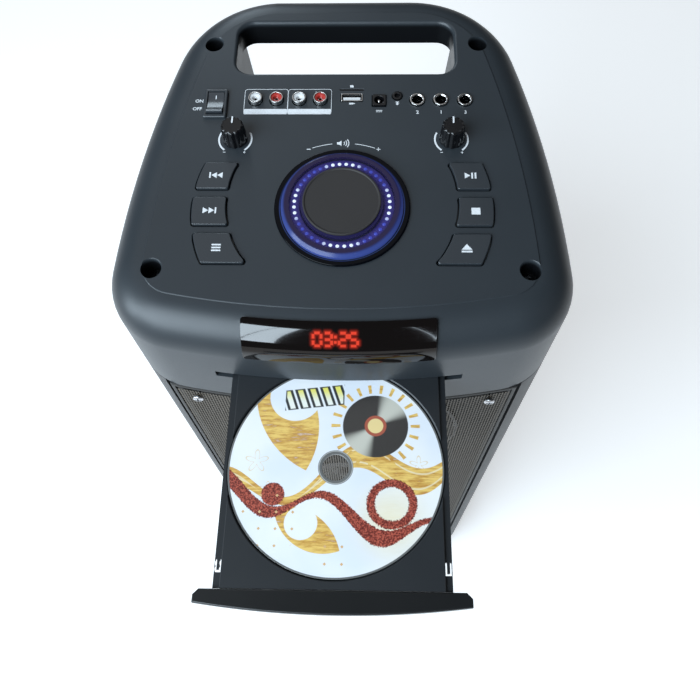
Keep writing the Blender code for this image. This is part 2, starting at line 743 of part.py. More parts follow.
def build_display(machine, skin, board_skin):
    """The smoked lens that wraps the rim and the digit module behind it."""
    lens = fillet_band(
        DISPLAY_X - DISPLAY_HALF,
        DISPLAY_X + DISPLAY_HALF,
        DISPLAY_PROUD,
        DISPLAY_THICKNESS - DISPLAY_PROUD,
        DISPLAY_TOP_ANGLE,
        DISPLAY_BOTTOM_ANGLE,
    )
    add_object("display_lens", lens, machine, skin)
    angle = MODULE_ANGLE
    inner = RIM_FILLET - DISPLAY_THICKNESS + DISPLAY_PROUD
    reach = math.sqrt(inner**2 - MODULE_HALF[1] ** 2) - GAP
    middle_y = RIM_FILLET + bow(MODULE_HALF[0] + abs(DISPLAY_X))
    middle_z = panel_z(RIM_FILLET) - RIM_FILLET
    place = (DISPLAY_X, middle_y - reach * math.sin(angle), middle_z + reach * math.cos(angle))
    body = prism(rectangle(*MODULE_HALF), -MODULE_DEPTH, 0.0)
    add_object("display_module", body, machine, board_skin, place, (angle, 0, 0))


def build_cabinet(machine, skin):
    """The moulded cabinet: a tall tub with an open top, an open front and a bass port at the back."""
    base = FOOT_HEIGHT
    rings = []
    for bend in range(4):
        angle = math.pi / 2 * bend / 3
        inset = SHELL_FOOT_FILLET * (1 - math.sin(angle))
        rings.append(level(body_outline(inset), base + SHELL_FOOT_FILLET * (1 - math.cos(angle))))
    rings.append(level(body_outline(), SHELL_TOP_Z))
    shell = add_object("cabinet_shell", loft(rings), machine, skin)
    hollow = [level(body_outline(SHELL_WALL), z) for z in (base + SHELL_BASE, SHELL_TOP_Z + 0.010)]
    combine(shell, add_tool("tool_cabinet_hollow", loft(hollow), machine))
    front = box(
        (-FRONT_OPENING_HALF, -0.010, FRONT_OPENING_BOTTOM_Z),
        (FRONT_OPENING_HALF, BAFFLE_Y, SHELL_TOP_Z + 0.010),
    )
    combine(shell, add_tool("tool_cabinet_front", front, machine))
    tube = facing_front(prism(circle(PORT_BORE + PORT_WALL, MIDDLE_ROUND), SHELL_WALL / 2, PORT_LENGTH))
    combine(shell, add_tool("tool_port_tube", tube, machine, (0, BODY_DEPTH, PORT_Z)), "UNION")
    flare = [
        (0, -0.010),
        (PORT_BORE + PORT_FLARE + 0.003, -0.010),
        (PORT_BORE + PORT_FLARE, 0.0),
        (PORT_BORE + PORT_FLARE * 0.3, 0.0025),
        (PORT_BORE, 0.008),
        (PORT_BORE, PORT_LENGTH + 0.010),
        (0, PORT_LENGTH + 0.010),
    ]
    bore = facing_front(turned(flare, MIDDLE_ROUND))
    combine(shell, add_tool("tool_port_bore", bore, machine, (0, BODY_DEPTH, PORT_Z)))
    recess = box(
        (-COVER_HALF - GAP, COVER_BACK_Y - COVER_THICKNESS - GAP, COVER_BOTTOM_Z - GAP),
        (COVER_HALF + GAP, BODY_DEPTH + 0.010, COVER_TOP_Z + GAP),
    )
    combine(shell, add_tool("tool_cover_recess", recess, machine))
    opening = box(
        (-COVER_HALF + COVER_LIP, BODY_DEPTH - 0.020, COVER_BOTTOM_Z + COVER_LIP),
        (COVER_HALF - COVER_LIP, BODY_DEPTH + 0.010, COVER_TOP_Z - COVER_LIP),
    )
    combine(shell, add_tool("tool_cover_opening", opening, machine))
    return shell


def build_back(machine, shell, skin, metal):
    """The screwed service cover at the back."""
    half_z = (COVER_TOP_Z - COVER_BOTTOM_Z) / 2
    plate = prism(rectangle(COVER_HALF, half_z, 0.002, steps=2), 0.0, COVER_THICKNESS)
    plate = moved(facing_front(plate), (0, COVER_THICKNESS, 0))
    place = (0, COVER_BACK_Y - COVER_THICKNESS, (COVER_TOP_Z + COVER_BOTTOM_Z) / 2)
    cover = add_object("service_cover", plate, machine, skin, place)
    for name, z in (("lower", -1), ("upper", 1)):
        at = (0, COVER_BACK_Y, place[2] + z * (half_z - COVER_LIP / 2))
        hole = facing_front(prism(circle(COVER_SCREW_SHANK + 0.0004, SCREW_ROUND), -0.020, 0.020))
        tool = add_tool(f"tool_cover_screw_{name}", hole, machine, at)
        combine(cover, tool)
        combine(shell, tool)
        screw = [(0, COVER_SCREW_LENGTH), (COVER_SCREW_SHANK, COVER_SCREW_LENGTH), (COVER_SCREW_SHANK, -GAP)]
        screw += [(COVER_SCREW_HEAD, -GAP), (COVER_SCREW_HEAD, 0.0008 - COVER_SCREW_HEIGHT)]
        screw.append((0, -COVER_SCREW_HEIGHT))
        add_object(f"cover_screw_{name}", facing_front(turned(screw, SCREW_ROUND)), machine, metal, at)


def build_feet(machine, skin):
    profile = [(0, 0), (FOOT_RADIUS - 0.003, 0), (FOOT_RADIUS - 0.001, 0.002)]
    profile += [(FOOT_RADIUS, FOOT_HEIGHT - GAP), (0, FOOT_HEIGHT - GAP)]
    for end, (x, y) in (("front", FOOT_FRONT), ("rear", FOOT_REAR)):
        for name, side in (("left", -1), ("right", 1)):
            add_object(f"foot_{end}_{name}", turned(profile, HIDDEN_ROUND), machine, skin, (side * x, y, 0))


def build_baffle(machine, skin):
    """The board behind the grille that carries the loudspeakers."""
    low_z = FOOT_HEIGHT + SHELL_BASE + GAP
    front = BAFFLE_Y + GAP
    back = BAFFLE_Y + BAFFLE_THICKNESS
    near = half_width(front, SHELL_WALL + GAP)
    far = half_width(back, SHELL_WALL + GAP)
    outline = [(-near, front), (near, front), (far, back), (-far, back)]
    baffle = add_object("front_baffle", prism(outline, low_z, SHELL_TOP_Z), machine, skin)
    for i, (radius, z) in enumerate(
        (
            (WOOFER_CUTOUT_RADIUS, WOOFER_UPPER_Z),
            (WOOFER_CUTOUT_RADIUS, WOOFER_LOWER_Z),
            (TWEETER_CUTOUT_RADIUS, TWEETER_Z),
        )
    ):
        hole = facing_front(prism(circle(radius, MIDDLE_ROUND), -0.1, 0.1))
        combine(baffle, add_tool(f"tool_baffle_{i}", hole, machine, (0, BAFFLE_Y, z)))


def build_grille(machine, skin, metal):
    """A bowed sheet pierced by upright slots, with a skirt that stands on the baffle."""
    half = FRONT_OPENING_HALF - GRILLE_GROOVE
    low_z = FRONT_OPENING_BOTTOM_Z + GAP
    high_z = SHELL_TOP_Z
    span = 2 * (half - GRILLE_BORDER_SIDE)
    slot = (span - (GRILLE_COLUMNS - 1) * GRILLE_BAR) / GRILLE_COLUMNS
    rise = high_z - low_z - 2 * GRILLE_BORDER_END
    slot_z = (rise - (GRILLE_ROWS - 1) * GRILLE_BRIDGE) / GRILLE_ROWS
    xs = [-half]
    for i in range(GRILLE_COLUMNS):
        start = -span / 2 + i * (slot + GRILLE_BAR)
        xs += [start, start + slot]
    xs.append(half)
    zs = [low_z]
    for i in range(GRILLE_ROWS):
        start = low_z + GRILLE_BORDER_END + i * (slot_z + GRILLE_BRIDGE)
        zs += [start, start + slot_z]
    zs.append(high_z)
    shape = bmesh.new()
    layers = []
    for depth in (0.0, GRILLE_SHEET):
        layers.append([[shape.verts.new((x, bow(x) + depth, z)) for z in zs] for x in xs])
    kept = {(i, j): not (i % 2 and j % 2) for i in range(len(xs) - 1) for j in range(len(zs) - 1)}
    for (i, j), solid in kept.items():
        if not solid:
            continue
        for layer in layers:
            shape.faces.new((layer[i][j], layer[i + 1][j], layer[i + 1][j + 1], layer[i][j + 1]))
        sides = (((i, j), (i + 1, j), (i, j - 1)), ((i + 1, j), (i + 1, j + 1), (i + 1, j)))
        sides += (((i + 1, j + 1), (i, j + 1), (i, j + 1)), ((i, j + 1), (i, j), (i - 1, j)))
        for (a, b), (c, d), beside in sides:
            if not kept.get(beside, False):
                shape.faces.new((layers[0][a][b], layers[0][c][d], layers[1][c][d], layers[1][a][b]))
    grille = add_object("front_grille", shape, machine, skin)
    for side in (-1, 1):
        edges = sorted((side * (half - GRILLE_SHEET), side * half))
        skirt = box((edges[0], bow(half) + GRILLE_SHEET / 4, low_z), (edges[1], BAFFLE_Y, high_z))
        combine(grille, add_tool(f"tool_skirt_{side}", skirt, machine), "UNION")
    for name, side in (("left", -1), ("right", 1)):
        at = (side * GRILLE_SCREW_X, bow(GRILLE_SCREW_X), GRILLE_SCREW_Z)
        reach = BAFFLE_Y + BAFFLE_THICKNESS / 2 - at[1]
        hole = facing_front(prism(circle(GRILLE_SCREW_SHANK + GAP, SCREW_ROUND), -reach - 0.002, 0.006))
        tool = add_tool(f"tool_grille_screw_{name}", hole, machine, at)
        combine(grille, tool)
        combine(bpy.data.objects["front_baffle"], tool)
        seat = GRILLE_SCREW_HEAD * math.sin(math.atan2(GRILLE_SCREW_X, FRONT_BOW)) + GAP
        wide = GRILLE_SCREW_HEAD
        head = [(0, seat + 0.0020), (wide * 0.6, seat + 0.0018), (wide, seat + 0.0008), (wide, seat)]
        head += [(GRILLE_SCREW_SHANK, seat), (GRILLE_SCREW_SHANK, -reach), (0, -reach)]
        add_object(f"grille_screw_{name}", facing_front(turned(head, SMALL_ROUND)), machine, metal, at)


def build_woofers(machine, frame_skin, cone_skin):
    """Two bass loudspeakers: basket with magnet and glued surround, and a cone that moves in and out."""
    reach = WOOFER_CUTOUT_RADIUS - 0.0015
    back = -WOOFER_DEPTH
    magnet_front = back + WOOFER_MAGNET_HEIGHT
    basket = [
        (WOOFER_FRAME_RADIUS, GAP),
        (WOOFER_FRAME_RADIUS, WOOFER_FLANGE),
        (reach - 0.0035, WOOFER_FLANGE),
        (reach - 0.0035, -0.006),
        (BASKET_FOOT_RADIUS - BASKET_WALL, magnet_front + 0.002),
        (MAGNET_SLOT_OUTER, magnet_front + 0.002),
        (MAGNET_SLOT_OUTER, back + MAGNET_BACK_PLATE),
        (MAGNET_SLOT_INNER, back + MAGNET_BACK_PLATE),
        (MAGNET_SLOT_INNER, magnet_front + 0.003),
        (0.0030, magnet_front + 0.003),
        (0.0030, back),
        (WOOFER_MAGNET_RADIUS, back),
        (WOOFER_MAGNET_RADIUS, magnet_front),
        (BASKET_FOOT_RADIUS, magnet_front),
        (reach, -0.006),
        (reach, GAP),
    ]
    seat = WOOFER_FLANGE - 0.0005
    surround = [(WOOFER_FRAME_RADIUS - 0.003, seat), (WOOFER_FRAME_RADIUS - 0.003, seat + 0.0017)]
    roll_middle = (reach - 0.003 + CONE_RADIUS) / 2
    roll = reach - 0.003 - roll_middle
    for bend in range(4):
        angle = math.pi * bend / 3
        height = seat + 0.0017 + ROLL_HEIGHT * math.sin(angle)
        surround.append((roll_middle + roll * math.cos(angle), height))
    for bend in range(3, 0, -1):
        angle = math.pi * bend / 3
        height = seat + 0.0006 + (ROLL_HEIGHT - 0.8 * ROLL_SKIN) * math.sin(angle)
        surround.append((roll_middle + (roll - ROLL_SKIN) * math.cos(angle), height))
    surround.append((roll_middle + roll - ROLL_SKIN, seat))
    edge = CONE_RADIUS - 0.0005
    lip = WOOFER_FLANGE
    cone = [
        (edge, lip + CONE_TRAVEL + 0.0016),
        (edge - 0.0012, lip + CONE_TRAVEL + 0.0016),
        (edge - 0.0016, lip + 0.0005),
        (CONE_CAP_RADIUS, -0.0200),
        (CONE_CAP_RADIUS * 0.72, -0.0165),
        (CONE_CAP_RADIUS * 0.38, -0.0146),
        (0, -0.0140),
        (0, -0.0155),
        (COIL_INNER_RADIUS, -0.0215),
        (COIL_INNER_RADIUS, back + 2 * MAGNET_BACK_PLATE),
        (COIL_OUTER_RADIUS, back + 2 * MAGNET_BACK_PLATE),
        (COIL_OUTER_RADIUS, -0.0225),
        (edge, lip - CONE_TRAVEL - 0.0012),
    ]
    for name, z in (("upper", WOOFER_UPPER_Z), ("lower", WOOFER_LOWER_Z)):
        place = (0, BAFFLE_Y, z)
        body = facing_front(turned(basket, HIDDEN_ROUND))
        woofer = add_object(f"woofer_{name}", body, machine, frame_skin, place)
        rubber = facing_front(turned(surround, HIDDEN_ROUND))
        combine(woofer, add_tool(f"tool_surround_{name}", rubber, machine, place), "UNION")
        moving = facing_front(turned(cone, HIDDEN_ROUND))
        add_object(f"woofer_cone_{name}", moving, machine, cone_skin, place)


def build_tweeter(machine, skin):
    profile = [
        (0, TWEETER_FLANGE),
        (0.0090, 0.0012),
        (0.0125, -0.0020),
        (0.0150, -0.0020),
        (TWEETER_CUTOUT_RADIUS - 0.0030, TWEETER_FLANGE),
        (TWEETER_FLANGE_RADIUS, TWEETER_FLANGE),
        (TWEETER_FLANGE_RADIUS, GAP),
        (TWEETER_CUTOUT_RADIUS - 0.001, GAP),
        (TWEETER_CUTOUT_RADIUS - 0.001, -0.012),
        (TWEETER_CUTOUT_RADIUS - 0.006, -TWEETER_DEPTH),
        (0, -TWEETER_DEPTH),
    ]
    shape = facing_front(turned(profile, HIDDEN_ROUND))
    add_object("tweeter", shape, machine, skin, (0, BAFFLE_Y, TWEETER_Z))


def build_shelf(machine, panel, skin):
    """The floor of the top compartment, with the pillars that take the housing screws."""
    outline = body_outline(HOUSING_WALL + GAP)
    shelf = add_object("equipment_shelf", prism(outline, SHELF_BOTTOM_Z, SHELF_TOP_Z), machine, skin)
    for name, place in screw_places():
        top = panel_z(place[1]) - (SCREW_BOSS_DEPTH + GAP) / math.cos(PANEL_TILT)
        top -= PILLAR_RADIUS * math.tan(PANEL_TILT)
        pillar = prism(circle(PILLAR_RADIUS, SMALL_ROUND), SHELF_TOP_Z - 0.001, top)
        at = (place[0], place[1] + SCREW_BOSS_DEPTH * math.sin(PANEL_TILT), 0)
        combine(shelf, add_tool(f"tool_pillar_{name}", pillar, machine, at), "UNION")
        low = -SCREW_WELL_DEPTH - SCREW_SHANK_LENGTH - 0.002
        pilot = prism(circle(SCREW_SHANK_RADIUS + GAP, SCREW_ROUND), low, 0)
        combine(shelf, add_tool(f"tool_pilot_{name}", pilot, panel, on_panel(place)))


def side_view(points, low_x, high_x):
    """A solid whose outline is drawn in the Y-Z plane, between two X values."""
    return loft([[(x, y, z) for y, z in points] for x in (low_x, high_x)])


def rack_outline(front, rear, low_z, top_z):
    """Side view of a rail whose underside is a straight rack with its tips at low_z."""
    flank = RACK_MODULE * math.tan(math.radians(20.0))
    half = RACK_PITCH / 4 - RACK_BACKLASH / 2
    root_z = low_z + 2.25 * RACK_MODULE
    teeth = int((rear - front - 2 * RACK_MARGIN) / RACK_PITCH)
    first = PINION_CLOSED_Y - TRAY_TRAVEL
    first -= RACK_PITCH * math.floor((first - front - RACK_MARGIN) / RACK_PITCH)
    points = [(rear, root_z), (rear, top_z), (front, top_z), (front, root_z)]
    for i in range(teeth):
        middle = first + i * RACK_PITCH
        if middle + RACK_PITCH > rear - RACK_MARGIN:
            break
        points += [
            (middle - half - 1.25 * flank, root_z),
            (middle - half + flank, low_z),
            (middle + half - flank, low_z),
            (middle + half + 1.25 * flank, root_z),
        ]
    return points


def pinion_outline():
    """Spur gear outline in its own plane, one gap pointing up towards the rack's tooth."""
    points = []
    pitch = 2 * math.pi / PINION_TEETH
    root = PINION_RADIUS - 1.2 * RACK_MODULE
    tip = PINION_RADIUS + 0.9 * RACK_MODULE
    half = pitch / 4 - RACK_BACKLASH / 4 / PINION_RADIUS
    slope = math.tan(math.radians(20.0))
    for tooth in range(PINION_TEETH):
        middle = math.pi / 2 + (tooth + 0.5) * pitch
        for side in (-1, 1):
            for radius in (root, tip) if side < 0 else (tip, root):
                lean = (radius - PINION_RADIUS) * slope / PINION_RADIUS
                lean += 0.25 * max(radius - PINION_RADIUS, 0.0) / PINION_RADIUS * slope
                angle = middle + side * (half - lean)
                points.append((radius * math.cos(angle), radius * math.sin(angle)))
    return points


def tray_shape_tools(tray):
    """Disc well, small-disc well, window for the turntable and pickup, and the two slits by the front."""
    well = prism(circle(DISC_RADIUS + RECESS_CLEARANCE, WIDE_ROUND), RECESS_FLOOR_Z, TRAY_TOP_Z + 0.005)
    combine(tray, add_tool("tool_disc_well", well, tray))
    low = RECESS_FLOOR_Z - INNER_RECESS_DEPTH
    small = prism(circle(INNER_RECESS_RADIUS, MIDDLE_ROUND), low, TRAY_TOP_Z + 0.005)
    combine(tray, add_tool("tool_small_disc_well", small, tray))
    window = arc((0, 0), TRAY_HUB_RADIUS, math.pi - 0.848, 2 * math.pi + 0.848, 14)
    window += [(TRAY_SLOT_HALF, TRAY_SLOT_REACH), (-TRAY_SLOT_HALF, TRAY_SLOT_REACH)]
    tool = prism(window, TRAY_BOTTOM_Z - 0.005, TRAY_TOP_Z + 0.005)
    combine(tray, add_tool("tool_tray_window", tool, tray))
    front = DOOR_BACK_CLOSED + GAP - DISC_CLOSED_Y
    for side in (-1, 1):
        middle = side * (RAIL_OUTER - RAIL_WIDTH / 2)
        for name, half_x, half_y, at_x, at_y in (
            ("leg", 0.0005, 0.0034, middle - 0.0012, front + 0.0115),
            ("other_leg", 0.0005, 0.0034, middle + 0.0012, front + 0.0115),
            ("foot", 0.0017, 0.0006, middle, front + 0.0087),
        ):
            outline = rectangle(half_x, half_y, 0.0, (at_x, at_y))
            slit = prism(outline, TRAY_BOTTOM_Z - 0.005, RAIL_TOP_Z + 0.001)
            combine(tray, add_tool(f"tool_slit_{name}_{side}", slit, tray))


def build_tray(loader, skin, door_skin, disc_skin):
    """The tray, its door and the disc, all shown slid out. Their origins lie on the disc's axis."""
    slider = empty("tray_slide", loader, (0, DISC_CLOSED_Y - TRAY_TRAVEL, 0))
    front = DOOR_BACK_CLOSED + GAP - DISC_CLOSED_Y
    rear = TRAY_REAR_CLOSED - DISC_CLOSED_Y
    plate = prism(
        rectangle(TRAY_HALF, (rear - front) / 2, 0.0, (0, (rear + front) / 2)), TRAY_BOTTOM_Z, TRAY_TOP_Z
    )
    tray = add_object("disc_tray", plate, slider, skin)
    overlap = 0.0006
    right = box((TRAY_HALF - overlap, front, TRAY_BOTTOM_Z), (RAIL_OUTER, rear, RAIL_TOP_Z))
    combine(tray, add_tool("tool_rail_right", right, tray), "UNION")
    shift = DISC_CLOSED_Y - TRAY_TRAVEL
    outline = rack_outline(front + shift, rear + shift, TRAY_BOTTOM_Z, RAIL_TOP_Z)
    outline = [(y - shift, z) for y, z in outline]
    left = side_view(outline, -RAIL_OUTER, -TRAY_HALF + overlap)
    combine(tray, add_tool("tool_rail_left", left, tray), "UNION")
    tray_shape_tools(tray)

    back = DOOR_BACK_CLOSED - DISC_CLOSED_Y
    face = []
    for i in range(13):
        x = -DOOR_HALF + 2 * DOOR_HALF * i / 12
        face.append((x, bow(x + TRAY_X) - DISC_CLOSED_Y))
    outline = face + [(DOOR_HALF, back), (-DOOR_HALF, back)]
    inner = [(x * 0.995, y + (0.0007 if y < back - 0.001 else 0.0)) for x, y in outline]
    rings = [
        level(inner, DOOR_BOTTOM_Z),
        level(outline, DOOR_BOTTOM_Z + 0.0007),
        level(outline, DOOR_TOP_Z - 0.0007),
        level(inner, DOOR_TOP_Z),
    ]
    add_object("tray_door", loft(rings), slider, door_skin)

    profile = [
        (DISC_HOLE_RADIUS, DISC_BOTTOM_Z),
        (DISC_RADIUS, DISC_BOTTOM_Z),
        (DISC_RADIUS, DISC_TOP_Z),
        (DISC_HOLE_RADIUS, DISC_TOP_Z),
    ]
    add_object("disc", turned(profile, WIDE_ROUND), slider, disc_skin)


def build_chassis(loader, skin):
    """The loader's body: floor, walls, grooves for the tray's rails, posts for the lifting plate."""
    groove = RAIL_OUTER + 0.0004
    lip = DISC_RADIUS + RECESS_CLEARANCE
    ledge = RAIL_OUTER - 0.0018
    ledge_z = TRAY_BOTTOM_Z - 0.0004
    groove_z = RAIL_TOP_Z + 0.0004
    half = [
        (CHASSIS_HALF, CHASSIS_BOTTOM_Z),
        (CHASSIS_HALF, CHASSIS_TOP_Z),
        (lip, CHASSIS_TOP_Z),
        (lip, groove_z),
        (groove, groove_z),
        (groove, ledge_z),
        (ledge, ledge_z),
        (ledge, CHASSIS_FLOOR_Z),
    ]
    section = half + mirrored(half)
    shape = loft([[(x, y, z) for x, z in section] for y in (CHASSIS_FRONT, CHASSIS_REAR)])
    chassis = add_object("loader_chassis", shape, loader, skin)
    opening = box(
        (-TRAVERSE_HALF - 0.003, TRAVERSE_FRONT + 0.008, CHASSIS_BOTTOM_Z - 0.01),
        (TRAVERSE_HALF + 0.003, TRAVERSE_REAR - 0.008, CHASSIS_FLOOR_Z + 0.01),
    )
    combine(chassis, add_tool("tool_chassis_opening", opening, loader))
    reach = PINION_RADIUS + RACK_MODULE + 0.0008
    bay = box(
        (-RAIL_OUTER - 0.0003, PINION_CLOSED_Y - reach, CHASSIS_FLOOR_Z),
        (-ledge + 0.005, PINION_CLOSED_Y + reach, ledge_z + 0.001),
    )
    combine(chassis, add_tool("tool_pinion_bay", bay, loader))
    axle = (PINION_CLOSED_Y, PINION_Z)
    bore = clear_circle(PINION_SHAFT_RADIUS + RUNNING, SMALL_ROUND, axle)
    bearing = side_view(bore, -CHASSIS_HALF - 0.010, -groove + 0.007)
    combine(chassis, add_tool("tool_pinion_bearing", bearing, loader))
    for x, y in lift_post_places():
        profile = [
            (0, CHASSIS_FLOOR_Z - 0.001),
            (LIFT_POST_RADIUS, CHASSIS_FLOOR_Z - 0.001),
            (LIFT_POST_RADIUS, TRAVERSE_BOTTOM_Z - GAP),
            (LIFT_PIN_RADIUS, TRAVERSE_BOTTOM_Z - GAP),
            (LIFT_PIN_RADIUS, TRAVERSE_TOP_Z + TRAVERSE_LIFT + 0.001),
            (0, TRAVERSE_TOP_Z + TRAVERSE_LIFT + 0.001),
        ]
        post = add_tool(f"tool_lift_post_{x:.3f}_{y:.3f}", turned(profile, SCREW_ROUND), loader, (x, y, 0))
        combine(chassis, post, "UNION")


def build_tray_drive(loader, gear_skin, motor_skin):
    """The pinion with its shaft, and the geared motor that turns it."""
    middle = -(RAIL_OUTER - RAIL_WIDTH / 2)
    gear = loft([[(x, y, z) for y, z in pinion_outline()] for x in (-PINION_WIDTH / 2, PINION_WIDTH / 2)])
    pinion = add_object("tray_pinion", gear, loader, gear_skin, (middle, PINION_CLOSED_Y, PINION_Z))
    left = -CHASSIS_HALF + 0.0005 - middle
    right = 0.010
    shaft = side_view(circle(PINION_SHAFT_RADIUS, SMALL_ROUND), left, right)
    combine(pinion, add_tool("tool_pinion_shaft", shaft, pinion), "UNION")
    start = middle + PINION_WIDTH / 2 + 0.0030
    axle = (PINION_CLOSED_Y, PINION_Z)
    square = rectangle(TRAY_MOTOR_RADIUS, TRAY_MOTOR_RADIUS, 0.002, axle)
    gearbox = side_view(square, start, start + GEARBOX_LENGTH)
    motor = add_object("tray_motor", gearbox, loader, motor_skin)
    wall = circle(TRAY_MOTOR_RADIUS - 0.0006, HIDDEN_ROUND, axle)
    can = side_view(wall, start + GEARBOX_LENGTH - 0.001, start + TRAY_MOTOR_LENGTH)
    combine(motor, add_tool("tool_motor_can", can, loader), "UNION")
    saddle = box(
        (start + 0.001, PINION_CLOSED_Y - 0.006, CHASSIS_FLOOR_Z + GAP),
        (start + TRAY_MOTOR_LENGTH - 0.002, PINION_CLOSED_Y + 0.006, PINION_Z - 0.003),
    )
    combine(motor, add_tool("tool_motor_saddle", saddle, loader), "UNION")
    hole = clear_circle(PINION_SHAFT_RADIUS + RUNNING, SMALL_ROUND, axle)
    bore = side_view(hole, start - 0.001, start + GEARBOX_LENGTH - 0.0015)
    combine(motor, add_tool("tool_motor_bore", bore, loader))


def build_traverse(loader, plate_skin, metal, sled_skin):
    """The lifting plate with spindle motor, turntable, guide rod and optical pickup, shown lowered."""
    lift = empty("traverse_lift", loader, (0, DISC_CLOSED_Y, 0))
    low_y = TRAVERSE_FRONT - DISC_CLOSED_Y
    high_y = TRAVERSE_REAR - DISC_CLOSED_Y
    outline = rectangle(TRAVERSE_HALF, (high_y - low_y) / 2, 0.004, (0, (low_y + high_y) / 2))
    plate = add_object("traverse_plate", prism(outline, TRAVERSE_BOTTOM_Z, TRAVERSE_TOP_Z), lift, plate_skin)
    sled_low = ROD_Z - SLED_HEIGHT / 2 + GAP
    near = SLED_START - 0.003
    far = SLED_START + SLED_LENGTH + SLED_TRAVEL + 0.003
    for name, y in (("near", near), ("far", far)):
        low = (ROD_X - 0.0035, y - ROD_BLOCK / 2, TRAVERSE_TOP_Z - 0.0005)
        high = (ROD_X + 0.0035, y + ROD_BLOCK / 2, ROD_Z + ROD_RADIUS + ROD_BLOCK_COVER)
        combine(plate, add_tool(f"tool_rod_block_{name}", box(low, high), plate), "UNION")
    rail = box((-ROD_X - 0.0015, near, TRAVERSE_TOP_Z - 0.0005), (-ROD_X + 0.0015, far, sled_low - GAP))
    combine(plate, add_tool("tool_pickup_rail", rail, plate), "UNION")
    rod_ends = (-far - ROD_BLOCK / 2 - 0.001, -near + ROD_BLOCK / 2 + 0.001)
    channel = facing_front(prism(circle(ROD_RADIUS + GAP, HIDDEN_ROUND), *rod_ends))
    combine(plate, add_tool("tool_rod_hole", channel, plate, (ROD_X, 0, ROD_Z)))
    rod = facing_front(prism(circle(ROD_RADIUS, SMALL_ROUND), rod_ends[0] + 0.0012, rod_ends[1] - 0.0012))
    add_object("pickup_rod", rod, lift, metal, (ROD_X, 0, ROD_Z))
    through = (TRAVERSE_BOTTOM_Z - 0.01, TRAVERSE_TOP_Z + 0.01)
    hole = prism(clear_circle(SPINDLE_RADIUS + RUNNING * 2, SMALL_ROUND), *through)
    combine(plate, add_tool("tool_spindle_hole", hole, plate))
    for x, y in lift_post_places():
        hole = prism(circle(LIFT_PIN_RADIUS + RUNNING * 2, SCREW_ROUND), *through)
        tool = add_tool(f"tool_lift_hole_{x:.3f}_{y:.3f}", hole, plate, (x, y - DISC_CLOSED_Y, 0))
        combine(plate, tool)

    top = TRAVERSE_BOTTOM_Z - GAP
    low = top - SPINDLE_MOTOR_HEIGHT
    bore = SPINDLE_RADIUS + RUNNING * 2
    can = [(0, low), (SPINDLE_MOTOR_RADIUS - 0.001, low), (SPINDLE_MOTOR_RADIUS, low + 0.001)]
    can += [(SPINDLE_MOTOR_RADIUS, top), (bore, top), (bore, low + 0.002), (0, low + 0.002)]
    add_object("spindle_motor", turned(can, HIDDEN_ROUND), lift, metal)
    disc_low = TURNTABLE_TOP_Z - TURNTABLE_THICKNESS
    table = [
        (0, TURNTABLE_TOP_Z + HUB_HEIGHT),
        (0.0045, TURNTABLE_TOP_Z + HUB_HEIGHT),
        (HUB_RADIUS, TURNTABLE_TOP_Z + 0.0008),
        (HUB_RADIUS, TURNTABLE_TOP_Z),
        (TURNTABLE_RADIUS, TURNTABLE_TOP_Z),
        (TURNTABLE_RADIUS, disc_low),
        (0.004, disc_low),
        (0.004, TRAVERSE_TOP_Z + GAP),
        (SPINDLE_RADIUS, TRAVERSE_TOP_Z + GAP),
        (SPINDLE_RADIUS, low + 0.0025),
        (0, low + 0.0025),
    ]
    add_object("turntable", turned(table, HIDDEN_ROUND), lift, sled_skin)

    sled_high = (SLED_HALF, SLED_START + SLED_LENGTH, sled_low + SLED_HEIGHT)
    body = box((-SLED_HALF, SLED_START, sled_low), sled_high)
    sled = add_object("pickup_sled", body, lift, sled_skin)
    tower_low = (-LENS_TOWER_HALF, SLED_START, ROD_Z)
    tower_high = (LENS_TOWER_HALF, SLED_START + LENS_TOWER_LENGTH, TURNTABLE_TOP_Z - 0.0008)
    combine(sled, add_tool("tool_lens_tower", box(tower_low, tower_high), sled), "UNION")
    lens = prism(circle(0.0025, SCREW_ROUND), ROD_Z + 0.002, TURNTABLE_TOP_Z + 0.001)
    combine(sled, add_tool("tool_lens_seat", lens, sled, (0, SLED_START + LENS_TOWER_LENGTH / 2, 0)))
    bore = facing_front(prism(circle(ROD_RADIUS + RUNNING, SMALL_ROUND), -0.1, 0.1))
    combine(sled, add_tool("tool_sled_bore", bore, sled, (ROD_X, 0, ROD_Z)))


def build_clamp(loader, skin, puck_skin):
    """The bridge over the tray and the puck that holds the disc down on the turntable."""
    low = CHASSIS_TOP_Z + GAP
    outline = rectangle(CHASSIS_HALF, BRIDGE_DEPTH / 2, 0.003, (0, DISC_CLOSED_Y), 2)
    bridge = add_object("clamp_bridge", prism(outline, low, low + BRIDGE_THICKNESS), loader, skin)
    hole = prism(circle(PUCK_RADIUS + 0.0005, HIDDEN_ROUND), low - 0.01, low + 0.01)
    combine(bridge, add_tool("tool_puck_hole", hole, loader, (0, DISC_CLOSED_Y, 0)))
    seat = low + BRIDGE_THICKNESS + GAP
    profile = [
        (0, seat + 0.0014),
        (PUCK_FLANGE_RADIUS - 0.0005, seat + 0.0014),
        (PUCK_FLANGE_RADIUS, seat + 0.0009),
        (PUCK_FLANGE_RADIUS, seat),
        (PUCK_RADIUS, seat),
        (PUCK_RADIUS, TRAY_TOP_Z + 0.0006),
        (0, TRAY_TOP_Z + 0.0006),
    ]
    add_object("clamp_puck", turned(profile, HIDDEN_ROUND), loader, puck_skin, (0, DISC_CLOSED_Y, 0))


